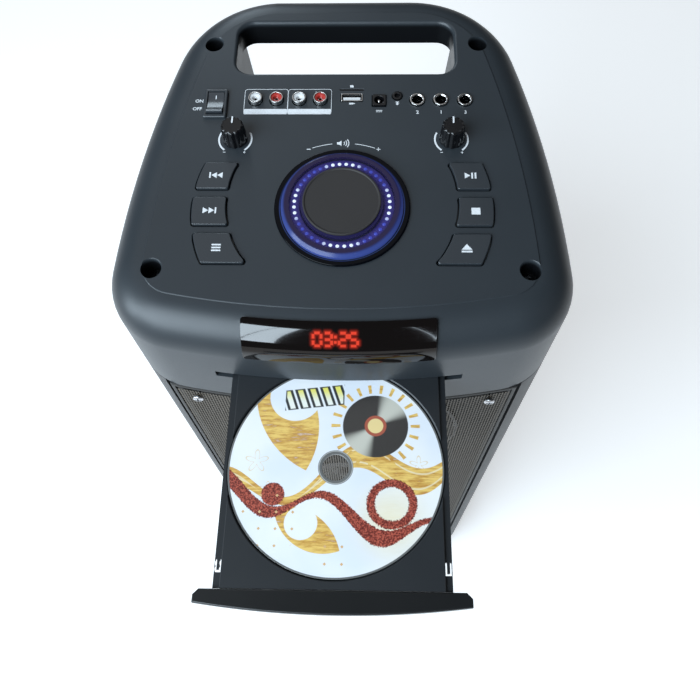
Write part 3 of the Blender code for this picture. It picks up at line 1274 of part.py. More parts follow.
def build_volume_dial(panel, clear, dark, led_skin):
    """The clear dial over a ring of lamps, its bezel, and the cap whose stem turns the encoder."""
    place = on_panel(DIAL_CENTRE)
    bezel = [
        (DIAL_RADIUS + 0.0006, GAP),
        (BEZEL_RADIUS, GAP),
        (BEZEL_RADIUS - 0.0006, BEZEL_HEIGHT),
        (DIAL_RADIUS + 0.0006, BEZEL_HEIGHT),
    ]
    add_object("volume_bezel", turned(bezel, WIDE_ROUND), panel, dark, place)
    ring = [
        (LED_RING_INNER, GAP),
        (LED_RING_OUTER, GAP),
        (LED_RING_OUTER, LED_RING_HEIGHT),
        (LED_RING_INNER, LED_RING_HEIGHT),
    ]
    add_object("led_ring", turned(ring, MIDDLE_ROUND), panel, led_skin, place)
    under = DIAL_TOP - DIAL_SKIN
    bore = SHAFT_RADIUS + GAP
    dial = [
        (bore, DIAL_TOP),
        (DIAL_RADIUS - 0.0020, DIAL_TOP),
        (DIAL_RADIUS, DIAL_TOP - 0.0020),
        (DIAL_RADIUS, DIAL_LIFT),
        (DIAL_RADIUS - 0.0022, DIAL_LIFT),
        (DIAL_RADIUS - 0.0022, under),
        (0.0065, under),
        (0.0065, DIAL_LIFT),
        (bore, DIAL_LIFT),
    ]
    add_object("volume_dial", turned(dial, WIDE_ROUND), panel, clear, place)
    cap = [
        (0, DIAL_TOP + DIAL_CAP_HEIGHT - 0.0002),
        (DIAL_CAP_RADIUS - 0.0006, DIAL_TOP + DIAL_CAP_HEIGHT),
        (DIAL_CAP_RADIUS, DIAL_TOP + DIAL_CAP_HEIGHT - 0.0006),
        (DIAL_CAP_RADIUS, DIAL_TOP + GAP),
        (SHAFT_RADIUS, DIAL_TOP + GAP),
        (SHAFT_RADIUS, STEM_LOW),
        (0, STEM_LOW),
    ]
    add_object("dial_cap", turned(cap, MIDDLE_ROUND), panel, dark, place)


def build_small_knobs(panel, skin):
    """Echo and microphone volume: fluted knobs with a pointer rib and a stem."""
    count = SMALL_KNOB_FLUTES * 2

    def fluted(scale, z):
        ring = []
        for i in range(count):
            radius = (SMALL_KNOB_RADIUS - (0.0005 if i % 2 else 0.0)) * scale
            angle = 2 * math.pi * i / count
            ring.append((radius * math.cos(angle), radius * math.sin(angle), z))
        return ring

    top = SMALL_KNOB_HEIGHT
    for name, side in (("echo_knob", -1), ("mic_volume_knob", 1)):
        knob = loft([fluted(1.0, DIAL_LIFT), fluted(0.90, top - 0.0012), fluted(0.78, top)])
        made = add_object(name, knob, panel, skin, on_panel((side * SMALL_KNOB_X, SMALL_KNOB_Y)))
        stem = prism(circle(SHAFT_RADIUS, SMALL_ROUND), STEM_LOW, DIAL_LIFT + 0.001)
        combine(made, add_tool(f"tool_{name}_stem", stem, made), "UNION")
        pointer = box((-0.0005, 0.001, top - 0.001), (0.0005, SMALL_KNOB_RADIUS * 0.74, top + 0.0004))
        combine(made, add_tool(f"tool_{name}_pointer", pointer, made), "UNION")


def build_buttons(panel, skin):
    """Six keys round the dial, each with a flange under the panel and a stem to its switch."""
    under = -HOUSING_WALL - GAP
    for name, row, side, middle in key_places():
        outline = [Vector(point) - middle for point in panel_points(button_outline(row, side))]
        inner = [point * (1 - 0.0006 / point.length) for point in outline]
        flange = [point * (1 + BUTTON_FLANGE / point.length) for point in outline]
        stem = [point.normalized() * BUTTON_STEM_RADIUS for point in outline]
        rings = [
            level(stem, BUTTON_STEM_LOW),
            level(stem, under - BUTTON_FLANGE),
            level(flange, under - BUTTON_FLANGE),
            level(flange, under),
            level(outline, under),
            level(outline, BUTTON_PROUD - 0.0005),
            level(inner, BUTTON_PROUD),
        ]
        add_object(f"button_{name}", loft(rings), panel, skin, (*middle, 0.0))


def build_power_switch(panel, skin):
    """The rocker in its bezel, with the end marked on pressed down."""
    half_x = SWITCH_BEZEL[0] / 2
    half_y = SWITCH_BEZEL[1] / 2
    place = on_panel(SWITCH_CENTRE)
    body = rectangle(half_x - 0.0011, half_y - 0.0011, 0.0004, steps=1)
    wide = rectangle(half_x, half_y, 0.0012, steps=1)
    soft = rectangle(half_x - 0.0007, half_y - 0.0007, 0.0008, steps=1)
    rings = [level(body, SWITCH_LOW), level(body, GAP), level(wide, GAP)]
    rings += [level(wide, SWITCH_BEZEL_HEIGHT - 0.0008), level(soft, SWITCH_BEZEL_HEIGHT)]
    frame = add_object("power_switch_frame", loft(rings), panel, skin, place)
    pocket = prism(rectangle(SWITCH_OPENING[0] / 2, SWITCH_OPENING[1] / 2), -0.0110, 0.010)
    combine(frame, add_tool("tool_switch_pocket", pocket, frame))
    reach = SWITCH_OPENING[1] / 2 - 0.0005
    width = SWITCH_OPENING[0] / 2 - 0.0003
    pivot = 0.0020
    high = 0.0030
    section = [(-reach, 0.0), (-reach, high - pivot + 0.0012), (0.0, high - pivot - 0.0004)]
    section += [(reach, high - pivot + 0.0012), (reach, 0.0), (0.0040, -0.0085), (-0.0040, -0.0085)]
    section = list(reversed(section))
    rocker = side_view(section, -width, width)
    at = (place[0], place[1], pivot - 0.0010)
    add_object("power_rocker", rocker, panel, skin, at, (-SWITCH_TILT, 0, 0), smooth=False)


def build_sockets(panel, black, metal):
    """Sockets along the rear of the panel, each standing on the board under it."""
    low = BOARD_TOP + GAP
    for name, pair in (("left", RCA_X[:2]), ("right", RCA_X[2:])):
        barrel = (RCA_RADIUS, RCA_HEIGHT, RCA_BORE_RADIUS)
        build_socket_block(f"rca_sockets_{name}", panel, black, pair, RCA_BLOCK_HALF, *barrel)
    barrel = (JACK_RING_RADIUS, JACK_RING_HEIGHT, JACK_BORE_RADIUS)
    build_socket_block("microphone_jacks", panel, metal, JACK_X, JACK_BLOCK_HALF, *barrel)

    usb = prism(rectangle(USB_SIZE[0] / 2, USB_SIZE[1] / 2, 0.0005, steps=1), low, 0.0004)
    usb_socket = add_object("usb_socket", usb, panel, metal, on_panel(USB_CENTRE), smooth=False)
    half_x = USB_SIZE[0] / 2 - 0.0005
    half_y = USB_SIZE[1] / 2 - 0.0005
    for name, low_y, high_y in (("low", -half_y, -0.0004), ("high", 0.0014, half_y)):
        slot = box((-half_x, low_y, SOCKET_BORE_LOW), (half_x, high_y, 0.010))
        combine(usb_socket, add_tool(f"tool_usb_{name}", slot, usb_socket))

    half = DC_SIZE / 2
    body = prism(rectangle(half, half, 0.0008, steps=2), low, 0.0010)
    dc_socket = add_object("dc_socket", body, panel, black, on_panel(DC_CENTRE), smooth=False)
    ring = turned([(0.0010, 0.010), (0.0010, -0.009), (0.0027, -0.009), (0.0027, 0.010)], SMALL_ROUND)
    combine(dc_socket, add_tool("tool_dc_bore", ring, dc_socket))


def build_socket_block(name, panel, skin, xs, half, radius, high, bore):
    """Sockets side by side in one moulded block, each with a round barrel up through the panel."""
    low = BOARD_TOP + GAP
    under = -HOUSING_WALL - GAP
    middle = (xs[0] + xs[-1]) / 2
    reach = (xs[-1] - xs[0]) / 2 + half[0]
    block = prism(rectangle(reach, half[1]), low, under)
    made = add_object(name, block, panel, skin, on_panel((middle, SOCKET_ROW_Y)))
    for i, x in enumerate(xs):
        at = (x - middle, 0, 0)
        barrel = prism(circle(radius, HIDDEN_ROUND), under - 0.001, high)
        combine(made, add_tool(f"tool_{name}_barrel_{i}", barrel, made, at), "UNION")
        hole = prism(circle(bore, SMALL_ROUND), SOCKET_BORE_LOW, 0.010)
        combine(made, add_tool(f"tool_{name}_bore_{i}", hole, made, at))


def build_stores(machine, dark):
    """The amplifier on the service cover and the battery pack on the cabinet's floor."""
    high = COVER_TOP_Z - COVER_LIP - 0.006
    low = COVER_BOTTOM_Z + COVER_LIP + 0.006
    back = COVER_BACK_Y - COVER_THICKNESS - GAP
    reach = COVER_HALF - COVER_LIP - 0.003
    body = box((-reach, back - AMPLIFIER_DEPTH, low), (reach, back, high))
    amplifier = add_object("amplifier", body, machine, dark, smooth=False)
    for i in range(AMPLIFIER_FINS):
        x = -reach + (i + 0.5) * 2 * reach / AMPLIFIER_FINS
        root = back - AMPLIFIER_DEPTH * 0.4
        groove = box((x - 0.0018, back - AMPLIFIER_DEPTH - 0.01, low - 0.01), (x + 0.0018, root, high + 0.01))
        combine(amplifier, add_tool(f"tool_amplifier_fin_{i}", groove, machine))
    floor = FOOT_HEIGHT + SHELL_BASE + GAP
    pack = prism(rectangle(*BATTERY_HALF, 0.004, (0, BATTERY_Y), 2), floor, floor + BATTERY_HEIGHT)
    add_object("battery_pack", pack, machine, dark, smooth=False)


def build_control_board(panel, green):
    """The board under the panel with its encoder, controls, switches, card reader and small jack."""
    length = (BOARD_REAR - BOARD_FRONT) / 2
    outline = rectangle(BOARD_HALF, length, 0.003, (0, BOARD_FRONT + length), 1)
    shape = prism(panel_points(outline), BOARD_TOP - BOARD_THICKNESS, BOARD_TOP)
    board = add_object("control_board", shape, panel, green, smooth=False)
    sunk = BOARD_TOP - SOLDERED
    under = -HOUSING_WALL - GAP

    def solder(name, shape, place):
        combine(board, add_tool(f"tool_{name}", shape, panel, (place[0], place[1], 0)), "UNION")

    controls = [("encoder", DIAL_CENTRE, ENCODER_SIZE)]
    for name, side in (("echo_control", -1), ("mic_control", 1)):
        controls.append((name, (side * SMALL_KNOB_X, SMALL_KNOB_Y), CONTROL_SIZE))
    for name, place, size in controls:
        can = prism(rectangle(size / 2, size / 2), sunk, under)
        bush = prism(circle(BUSH_RADIUS, SMALL_ROUND), under - 0.001, -0.0010)
        bore = prism(clear_circle(SHAFT_RADIUS + RUNNING, SMALL_ROUND), STEM_LOW - GAP, 0.001)
        place = on_panel(place)
        solder(f"{name}_can", can, place)
        solder(f"{name}_bush", bush, place)
        combine(board, add_tool(f"tool_{name}_bore", bore, panel, (place[0], place[1], 0)))
    for name, _, _, middle in key_places():
        high = BUTTON_STEM_LOW - BUTTON_TRAVEL - GAP
        solder(f"switch_{name}", prism(rectangle(0.003, 0.003), sunk, high), middle)

    solder("card_reader", prism(rectangle(0.0072, 0.0016), sunk, under), on_panel(CARD_CENTRE))
    slot = prism(rectangle(0.0056, 0.0005), CARD_SLOT_LOW, 0.010)
    combine(board, add_tool("tool_card_slot", slot, panel, on_panel(CARD_CENTRE)))
    place = on_panel(AUX_CENTRE)
    solder("aux_block", prism(rectangle(0.0035, 0.0045), sunk, under), place)
    solder("aux_barrel", prism(circle(AUX_RADIUS, SMALL_ROUND), under - 0.001, GAP), place)
    bore = prism(circle(AUX_BORE_RADIUS, SMALL_ROUND), SOCKET_BORE_LOW, 0.010)
    combine(board, add_tool("tool_aux_bore", bore, panel, place))


def key_places():
    """Each key's name, row, side and the middle of its outline in the panel's frame."""
    names = (("previous", "play_pause"), ("next", "stop"), ("mode", "eject"))
    found = []
    for row, pair in enumerate(names):
        for name, side in zip(pair, (-1, 1)):
            flat = panel_points(button_outline(row, side))
            middle = Vector((sum(x for x, _ in flat) / len(flat), sum(y for _, y in flat) / len(flat)))
            found.append((name, row, side, middle))
    return found


def lift_post_places():
    """The four posts that guide the lifting plate, near its corners."""
    x = TRAVERSE_HALF - 0.004
    return [(side * x, y) for side in (-1, 1) for y in (TRAVERSE_FRONT + 0.004, TRAVERSE_REAR - 0.004)]


def main():
    clear_scene()
    plastic = material("black_plastic", (0.045, 0.050, 0.058), 0.45)
    cabinet_plastic = material("cabinet_plastic", (0.10, 0.095, 0.085), 0.5)
    loader_plastic = material("loader_plastic", (0.030, 0.033, 0.038), 0.5)
    door_plastic = material("door_plastic", (0.018, 0.019, 0.020), 0.35)
    knob_plastic = material("knob_plastic", (0.015, 0.015, 0.016), 0.4)
    smoked = material("smoked_lens", (0.01, 0.008, 0.010), 0.08)
    disc_plastic = material("disc_print", (0.85, 0.85, 0.90), 0.2)
    clear = material("clear_dial", (0.10, 0.15, 0.60), 0.15, alpha=0.5)
    led = material("led_ring", (0.20, 0.35, 1.00), 0.4)
    steel = material("zinc_steel", (0.60, 0.60, 0.62), 0.35, 1.0)
    rubber = material("black_rubber", (0.02, 0.02, 0.02), 0.9)
    paper = material("cone_paper", (0.05, 0.05, 0.05), 0.9)
    board = material("fibreboard", (0.06, 0.05, 0.045), 0.8)
    grille = material("grille_steel", (0.09, 0.085, 0.08), 0.5, 0.5)
    green = material("circuit_board", (0.02, 0.16, 0.07), 0.5)
    gear = material("gear_nylon", (0.80, 0.78, 0.72), 0.5)

    machine = empty("machine", location=(0, -PLAN_MIDDLE_Y, 0))
    panel = empty("panel", machine, (0, 0, PANEL_FRONT_Z), (PANEL_TILT, 0, 0))
    loader = empty("loader", machine, (TRAY_X, 0, 0))

    build_top_housing(machine, panel, plastic)
    build_housing_screws(panel, steel)
    build_display(machine, smoked, green)
    shell = build_cabinet(machine, cabinet_plastic)
    build_back(machine, shell, cabinet_plastic, steel)
    build_feet(machine, rubber)
    build_baffle(machine, board)
    build_grille(machine, grille, steel)
    build_woofers(machine, steel, paper)
    build_tweeter(machine, knob_plastic)
    build_shelf(machine, panel, loader_plastic)
    build_chassis(loader, loader_plastic)
    build_tray(loader, loader_plastic, door_plastic, disc_plastic)
    build_tray_drive(loader, gear, steel)
    build_traverse(loader, steel, steel, loader_plastic)
    build_clamp(loader, steel, loader_plastic)
    build_volume_dial(panel, clear, knob_plastic, led)
    build_small_knobs(panel, knob_plastic)
    build_buttons(panel, plastic)
    build_power_switch(panel, knob_plastic)
    build_sockets(panel, knob_plastic, steel)
    build_control_board(panel, green)
    build_stores(machine, knob_plastic)


main()
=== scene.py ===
"""Karaoke machine with a disc tray, dressed over its solids.

All sizes are in metres. The machine's own frame has Y = 0 at the foremost point
of the cabinet, and the world's origin lies on the floor under the middle of the
machine with its tray out.
"""

import logging
import math
import sys
from dataclasses import dataclass, field
from enum import Enum
from typing import Iterable, Mapping, Optional, Sequence, Union

import bmesh
import bpy
from mathutils import Matrix, Vector


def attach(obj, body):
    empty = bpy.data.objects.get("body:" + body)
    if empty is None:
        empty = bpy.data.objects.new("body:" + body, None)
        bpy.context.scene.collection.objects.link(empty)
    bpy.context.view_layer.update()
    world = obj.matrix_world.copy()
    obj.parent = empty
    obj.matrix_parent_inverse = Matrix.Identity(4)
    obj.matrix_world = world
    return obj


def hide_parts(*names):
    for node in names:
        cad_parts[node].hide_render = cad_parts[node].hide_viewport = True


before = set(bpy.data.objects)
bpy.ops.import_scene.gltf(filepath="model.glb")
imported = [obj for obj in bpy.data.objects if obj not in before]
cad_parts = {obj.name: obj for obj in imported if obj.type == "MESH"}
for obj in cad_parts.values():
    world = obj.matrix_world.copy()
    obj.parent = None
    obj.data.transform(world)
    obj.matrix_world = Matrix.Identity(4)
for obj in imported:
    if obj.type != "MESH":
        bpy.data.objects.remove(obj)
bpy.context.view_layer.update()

LOG = logging.getLogger("machine")

Point2 = tuple[float, float]
Point3 = tuple[float, float, float]
Colour = tuple[float, float, float]

TRAY_TRAVEL = 0.129
BODY_DEPTH = 0.2564
PLAN_MIDDLE_Y = (BODY_DEPTH - TRAY_TRAVEL) / 2
PANEL_FRONT_Z = 0.6230
PANEL_TILT = math.radians(4.0)
GAP = 0.0003
CABINET = "cabinet"

MACHINE = Matrix.Translation((0, -PLAN_MIDDLE_Y, 0))
PANEL = MACHINE @ Matrix.Translation((0, 0, PANEL_FRONT_Z)) @ Matrix.Rotation(PANEL_TILT, 4, "X")
FACING_FRONT = Matrix.Rotation(math.pi / 2, 4, "X")


# Shader expressions


class Value:
    """A number that changes over a surface, held as a node's output."""

    def __init__(self, paint: "Paint", socket: bpy.types.NodeSocket) -> None:
        """Wraps a socket of that paint's node tree."""
        self.paint = paint
        self.socket = socket

    def maths(self, operation: str, *terms: "Term") -> "Value":
        """Adds a Math node.

        Args:
            operation: The Math node's operation.
            *terms: Its inputs in order, each a number or a value.

        Returns:
            The node's output.
        """
        inputs = dict(enumerate(terms))
        return self.paint.node("ShaderNodeMath", {"operation": operation}, inputs)

    def __add__(self, other: "Term") -> "Value":
        """This plus other."""
        return self.maths("ADD", self, other)

    def __radd__(self, other: "Term") -> "Value":
        """Other plus this."""
        return self.maths("ADD", other, self)

    def __sub__(self, other: "Term") -> "Value":
        """This less other."""
        return self.maths("SUBTRACT", self, other)

    def __rsub__(self, other: "Term") -> "Value":
        """Other less this."""
        return self.maths("SUBTRACT", other, self)

    def __mul__(self, other: "Term") -> "Value":
        """This times other."""
        return self.maths("MULTIPLY", self, other)

    def __rmul__(self, other: "Term") -> "Value":
        """Other times this."""
        return self.maths("MULTIPLY", other, self)

    def __truediv__(self, other: "Term") -> "Value":
        """This over other."""
        return self.maths("DIVIDE", self, other)

    def __neg__(self) -> "Value":
        """This with its sign changed."""
        return self.maths("MULTIPLY", self, -1.0)

    def __abs__(self) -> "Value":
        """This without its sign."""
        return self.maths("ABSOLUTE", self)

    def root(self) -> "Value":
        """The square root."""
        return self.maths("SQRT", self)

    def sine(self) -> "Value":
        """The sine, of radians."""
        return self.maths("SINE", self)

    def fraction(self) -> "Value":
        """The part after the decimal point."""
        return self.maths("FRACT", self)

    def at_least(self, other: "Term") -> "Value":
        """The larger of this and other."""
        return self.maths("MAXIMUM", self, other)

    def at_most(self, other: "Term") -> "Value":
        """The smaller of this and other."""
        return self.maths("MINIMUM", self, other)

    def ramp(self, low: float, high: float, start: float = 0.0, end: float = 1.0) -> "Value":
        """A smooth step, from start at low to end at high, held level outside them.

        Args:
            low: The input that gives start.
            high: The input that gives end.
            start: The output at low.
            end: The output at high.

        Returns:
            The stepped value.
        """
        inputs = {"Value": self, "From Min": low, "From Max": high, "To Min": start, "To Max": end}
        return self.paint.node("ShaderNodeMapRange", {"interpolation_type": "SMOOTHSTEP"}, inputs)


Term = Union[Value, float, int]


class Paint:
    """One material, whose nodes come from expressions."""

    def __init__(self, name: str) -> None:
        """Makes an empty Principled material of that name."""
        self.material = bpy.data.materials.new(name)
        self.material.use_nodes = True
        self.tree = self.material.node_tree
        self.shader = self.tree.nodes["Principled BSDF"]

    def feed(self, socket: bpy.types.NodeSocket, value: object) -> None:
        """Links a value to a socket, or sets a constant on it.

        Args:
            socket: The input to set.
            value: A Value, a number or a sequence of numbers.
        """
        if isinstance(value, Value):
            self.tree.links.new(value.socket, socket)
        elif socket.type == "RGBA" and len(value) == 3:
            socket.default_value = (*value, 1.0)
        else:
            socket.default_value = value

    def node(
        self,
        kind: str,
        settings: Optional[Mapping[str, object]] = None,
        inputs: Optional[Mapping[Union[str, int], object]] = None,
        output: Union[str, int] = 0,
    ) -> Value:
        """Adds any node.

        Args:
            kind: The node's type.
            settings: Its properties, set first.
            inputs: Its sockets by name or number, each a value or a constant.
            output: The output to return.

        Returns:
            That output.
        """
        made = self.tree.nodes.new(kind)
        for name, setting in (settings or {}).items():
            setattr(made, name, setting)
        for name, value in (inputs or {}).items():
            self.feed(made.inputs[name], value)
        return Value(self, made.outputs[output])

    def place(self) -> Value:
        """The point on the piece, in metres, which moves with the piece."""
        return self.node("ShaderNodeTexCoord", output="Object")

    def axes(self, vector: Value) -> tuple[Value, Value, Value]:
        """The X, Y and Z of a vector."""
        split = self.node("ShaderNodeSeparateXYZ", inputs={0: vector})
        outputs = split.socket.node.outputs
        return tuple(Value(self, outputs[i]) for i in range(3))

    def polar(self, centre: Point2) -> tuple[Value, Value, Value]:
        """A point's place round an upright axis.

        Args:
            centre: The axis's place in plan.

        Returns:
            How far the point lies to the right of the axis, behind it and away from it.
        """
        x, y, _ = self.axes(self.place())
        across = x - centre[0]
        along = y - centre[1]
        return across, along, (across * across + along * along).root()

    def scaled(self, vector: Value, by: Point3) -> Value:
        """A vector with each axis scaled."""
        return self.node("ShaderNodeVectorMath", {"operation": "MULTIPLY"}, {0: vector, 1: by})

    def noise(
        self, scale: float, detail: float = 2.0, rough: float = 0.5, at: Optional[Value] = None
    ) -> Value:
        """A noise from 0 to 1.

        Args:
            scale: Its cells per metre.
            detail: How many finer layers it has.
            rough: How strong the finer layers are.
            at: Where it is read, or the point on the piece.

        Returns:
            The noise.
        """
        inputs = {"Vector": at or self.place(), "Scale": scale, "Detail": detail, "Roughness": rough}
        return self.node("ShaderNodeTexNoise", None, inputs)

    def mix(self, first: object, second: object, factor: Term) -> Value:
        """A colour between two colours.

        Args:
            first: The colour at factor 0.
            second: The colour at factor 1.
            factor: The share of the second.

        Returns:
            The mixed colour.
        """
        return self.node("ShaderNodeMix", {"data_type": "RGBA"}, {0: factor, 6: first, 7: second}, 2)

    def bump(self, height: Value, distance: float, strength: float = 1.0) -> None:
        """Feeds the shader's normal with a bump of that height and distance."""
        inputs = {"Strength": strength, "Distance": distance, "Height": height}
        self.set(Normal=self.node("ShaderNodeBump", None, inputs))

    def set(self, **inputs: object) -> None:
        """Sets the shader's sockets, with an underscore for each space in a name."""
        for name, value in inputs.items():
            self.feed(self.shader.inputs[name.replace("_", " ")], value)


def tint(colour: Colour, by: float) -> Colour:
    """A colour made lighter or darker by a factor."""
    return tuple(channel * by for channel in colour)


# Finishes


@dataclass(frozen=True)
class Finish:
    """A finish, which makes its material once."""

    name: str
    slot: str

    def dress(self, paint: Paint) -> None:
        """Sets up the material's nodes."""
        raise NotImplementedError

    def material(self) -> bpy.types.Material:
        """The material, made on the first call."""
        found = bpy.data.materials.get(self.name)
        if found is None:
            paint = Paint(self.name)
            self.dress(paint)
            found = paint.material
        return found


@dataclass(frozen=True)
class Moulding(Finish):
    """Injection-moulded plastic with a spark-eroded grain."""

    colour: Colour = (0.030, 0.033, 0.038)
    roughness: float = 0.42
    grain: float = 1600.0
    depth: float = 0.00003
    mottle: float = 0.10
    coat: float = 0.0

    def tone(self, paint: Paint, cloud: Value) -> Value:
        """The colour, a little lighter and darker by turns."""
        return paint.mix(tint(self.colour, 1 - self.mottle), tint(self.colour, 1 + self.mottle), cloud)

    def dress(self, paint: Paint) -> None:
        """Fine grain, and a faint change of tone and gloss over a hand's width."""
        cloud = paint.noise(22.0, 3.0)
        fine = paint.noise(self.grain, 2.0, 0.6)
        paint.set(
            Base_Color=self.tone(paint, cloud),
            Roughness=self.roughness + (cloud - 0.5) * 0.10 + (fine - 0.5) * 0.12,
            Coat_Weight=self.coat,
            Coat_Roughness=0.12,
        )
        paint.bump(fine, self.depth, 0.5)


@dataclass(frozen=True)
class HousingPlasticWithPaintedShade(Moulding):
    """The housing's plastic, with painted shade, nearly black, on the walls of the handle's slot and of the
    screw wells.
    """

    slot_x: float = 0.0685
    slot_y: Point2 = (0.1841, 0.2250)
    panel: Point2 = (0.0, 0.0)
    wells: tuple[Point2, ...] = ()
    well_radius: float = 0.00575
    edge: float = 0.0010
    # hollow is the colour of the painted shade laid on the walls of the slot and the wells.
    hollow: Colour = (0.0035, 0.0040, 0.0050)

    def tone(self, paint: Paint, cloud: Value) -> Value:
        """The plain tone outside, and painted shade, nearly black, on the walls inside the slot and the
        wells.
        """
        x, y, z = paint.axes(paint.place())
        seam = (-2 * self.edge, -self.edge)
        inside = (self.slot_x - abs(x)).ramp(*seam)
        inside *= (y - self.slot_y[0]).ramp(*seam) * (self.slot_y[1] - y).ramp(*seam)
        for well in self.wells:
            inside = (self.well_radius - paint.polar(well)[2]).ramp(*seam).at_least(inside)
        sunk = (y * self.panel[1] + self.panel[0] - z).ramp(self.edge, 4 * self.edge)
        # Painted shade: walls below the panel inside the slot and the wells are mixed toward the hollow
        # colour.
        return paint.mix(super().tone(paint, cloud), self.hollow, inside * sunk)


@dataclass(frozen=True)
class Metal(Finish):
    """Plated or plain metal with fine marks from making."""

    colour: Colour = (0.62, 0.62, 0.64)
    roughness: float = 0.28
    marks: Point3 = (300.0, 300.0, 4000.0)

    def dress(self, paint: Paint) -> None:
        """Fine lines one way, and cloudy gloss."""
        line = paint.noise(1.0, 2.0, 0.5, paint.scaled(paint.place(), self.marks))
        cloud = paint.noise(120.0, 3.0)
        paint.set(
            Base_Color=paint.mix(tint(self.colour, 0.82), self.colour, cloud),
            Metallic=1.0,
            Roughness=self.roughness + (line - 0.5) * 0.18 + (cloud - 0.5) * 0.12,
        )
        paint.bump(line, 0.00001, 0.4)


@dataclass(frozen=True)
class PaintedSteel(Finish):
    """Steel sheet with a fine baked paint."""

    colour: Colour = (0.045, 0.041, 0.037)

    def dress(self, paint: Paint) -> None:
        """Grainy satin paint."""
        fine = paint.noise(2600.0, 2.0, 0.6)
        cloud = paint.noise(14.0, 2.0)
        paint.set(
            Base_Color=paint.mix(tint(self.colour, 0.85), tint(self.colour, 1.15), cloud),
            Metallic=0.2,
            Roughness=0.50 + (fine - 0.5) * 0.15,
        )
        paint.bump(fine, 0.00002, 0.5)


@dataclass(frozen=True)
class Rubber(Finish):
    """Matt black rubber, a little dusty."""

    colour: Colour = (0.018, 0.018, 0.018)

    def dress(self, paint: Paint) -> None:
        """Matt, with pale dust in patches."""
        dust = paint.noise(140.0, 4.0, 0.65).ramp(0.5, 0.8)
        fine = paint.noise(2200.0, 2.0)
        paint.set(Base_Color=paint.mix(self.colour, (0.05, 0.048, 0.045), dust), Roughness=0.82 + dust * 0.1)
        paint.bump(fine, 0.00004, 0.5)


@dataclass(frozen=True)
class ConePaper(Finish):
    """Pressed paper pulp of a loudspeaker cone."""

    colour: Colour = (0.030, 0.029, 0.028)

    def dress(self, paint: Paint) -> None:
        """Matt, with the pulp's fibres."""
        fibre = paint.noise(700.0, 5.0, 0.7)
        paint.set(
            Base_Color=paint.mix(tint(self.colour, 0.7), tint(self.colour, 1.4), fibre),
            Roughness=0.85 + (fibre - 0.5) * 0.1,
        )
        paint.bump(fibre, 0.00012, 0.6)


@dataclass(frozen=True)
class Board(Finish):
    """Wood-fibre board painted black."""

    colour: Colour = (0.022, 0.020, 0.018)

    def dress(self, paint: Paint) -> None:
        """Fibres that show through the paint."""
        fibre = paint.noise(1.0, 4.0, 0.6, paint.scaled(paint.place(), (500.0, 500.0, 160.0)))
        paint.set(
            Base_Color=paint.mix(tint(self.colour, 0.7), tint(self.colour, 1.5), fibre),
            Roughness=0.75 + (fibre - 0.5) * 0.2,
        )
        paint.bump(fibre, 0.00008, 0.5)


@dataclass(frozen=True)
class CircuitBoard(Finish):
    """Green solder mask over copper tracks."""

    colour: Colour = (0.010, 0.090, 0.035)

    def dress(self, paint: Paint) -> None:
        """Tracks at right angles that show lighter through the mask."""
        x, y, _ = paint.axes(paint.place())
        across = paint.noise(90.0, 0.0)
        tracks = (x * 400.0 + across * 3.0).fraction().ramp(0.42, 0.5)
        stripes = tracks * (y * 35.0 + across).fraction().ramp(0.3, 0.36)
        paint.set(
            Base_Color=paint.mix(self.colour, (0.030, 0.170, 0.070), stripes),
            Roughness=0.35 + stripes * 0.1,
        )
        paint.bump(stripes, 0.00004, 0.5)


@dataclass(frozen=True)
class Ink(Finish):
    """Screen-printed ink."""

    colour: Colour = (0.80, 0.81, 0.83)

    def dress(self, paint: Paint) -> None:
        """Slightly uneven cover."""
        cover = paint.noise(1500.0, 3.0, 0.6)
        paint.set(
            Base_Color=paint.mix(tint(self.colour, 0.86), self.colour, cover.ramp(0.3, 0.6)),
            Roughness=0.55 + (cover - 0.5) * 0.1,
        )


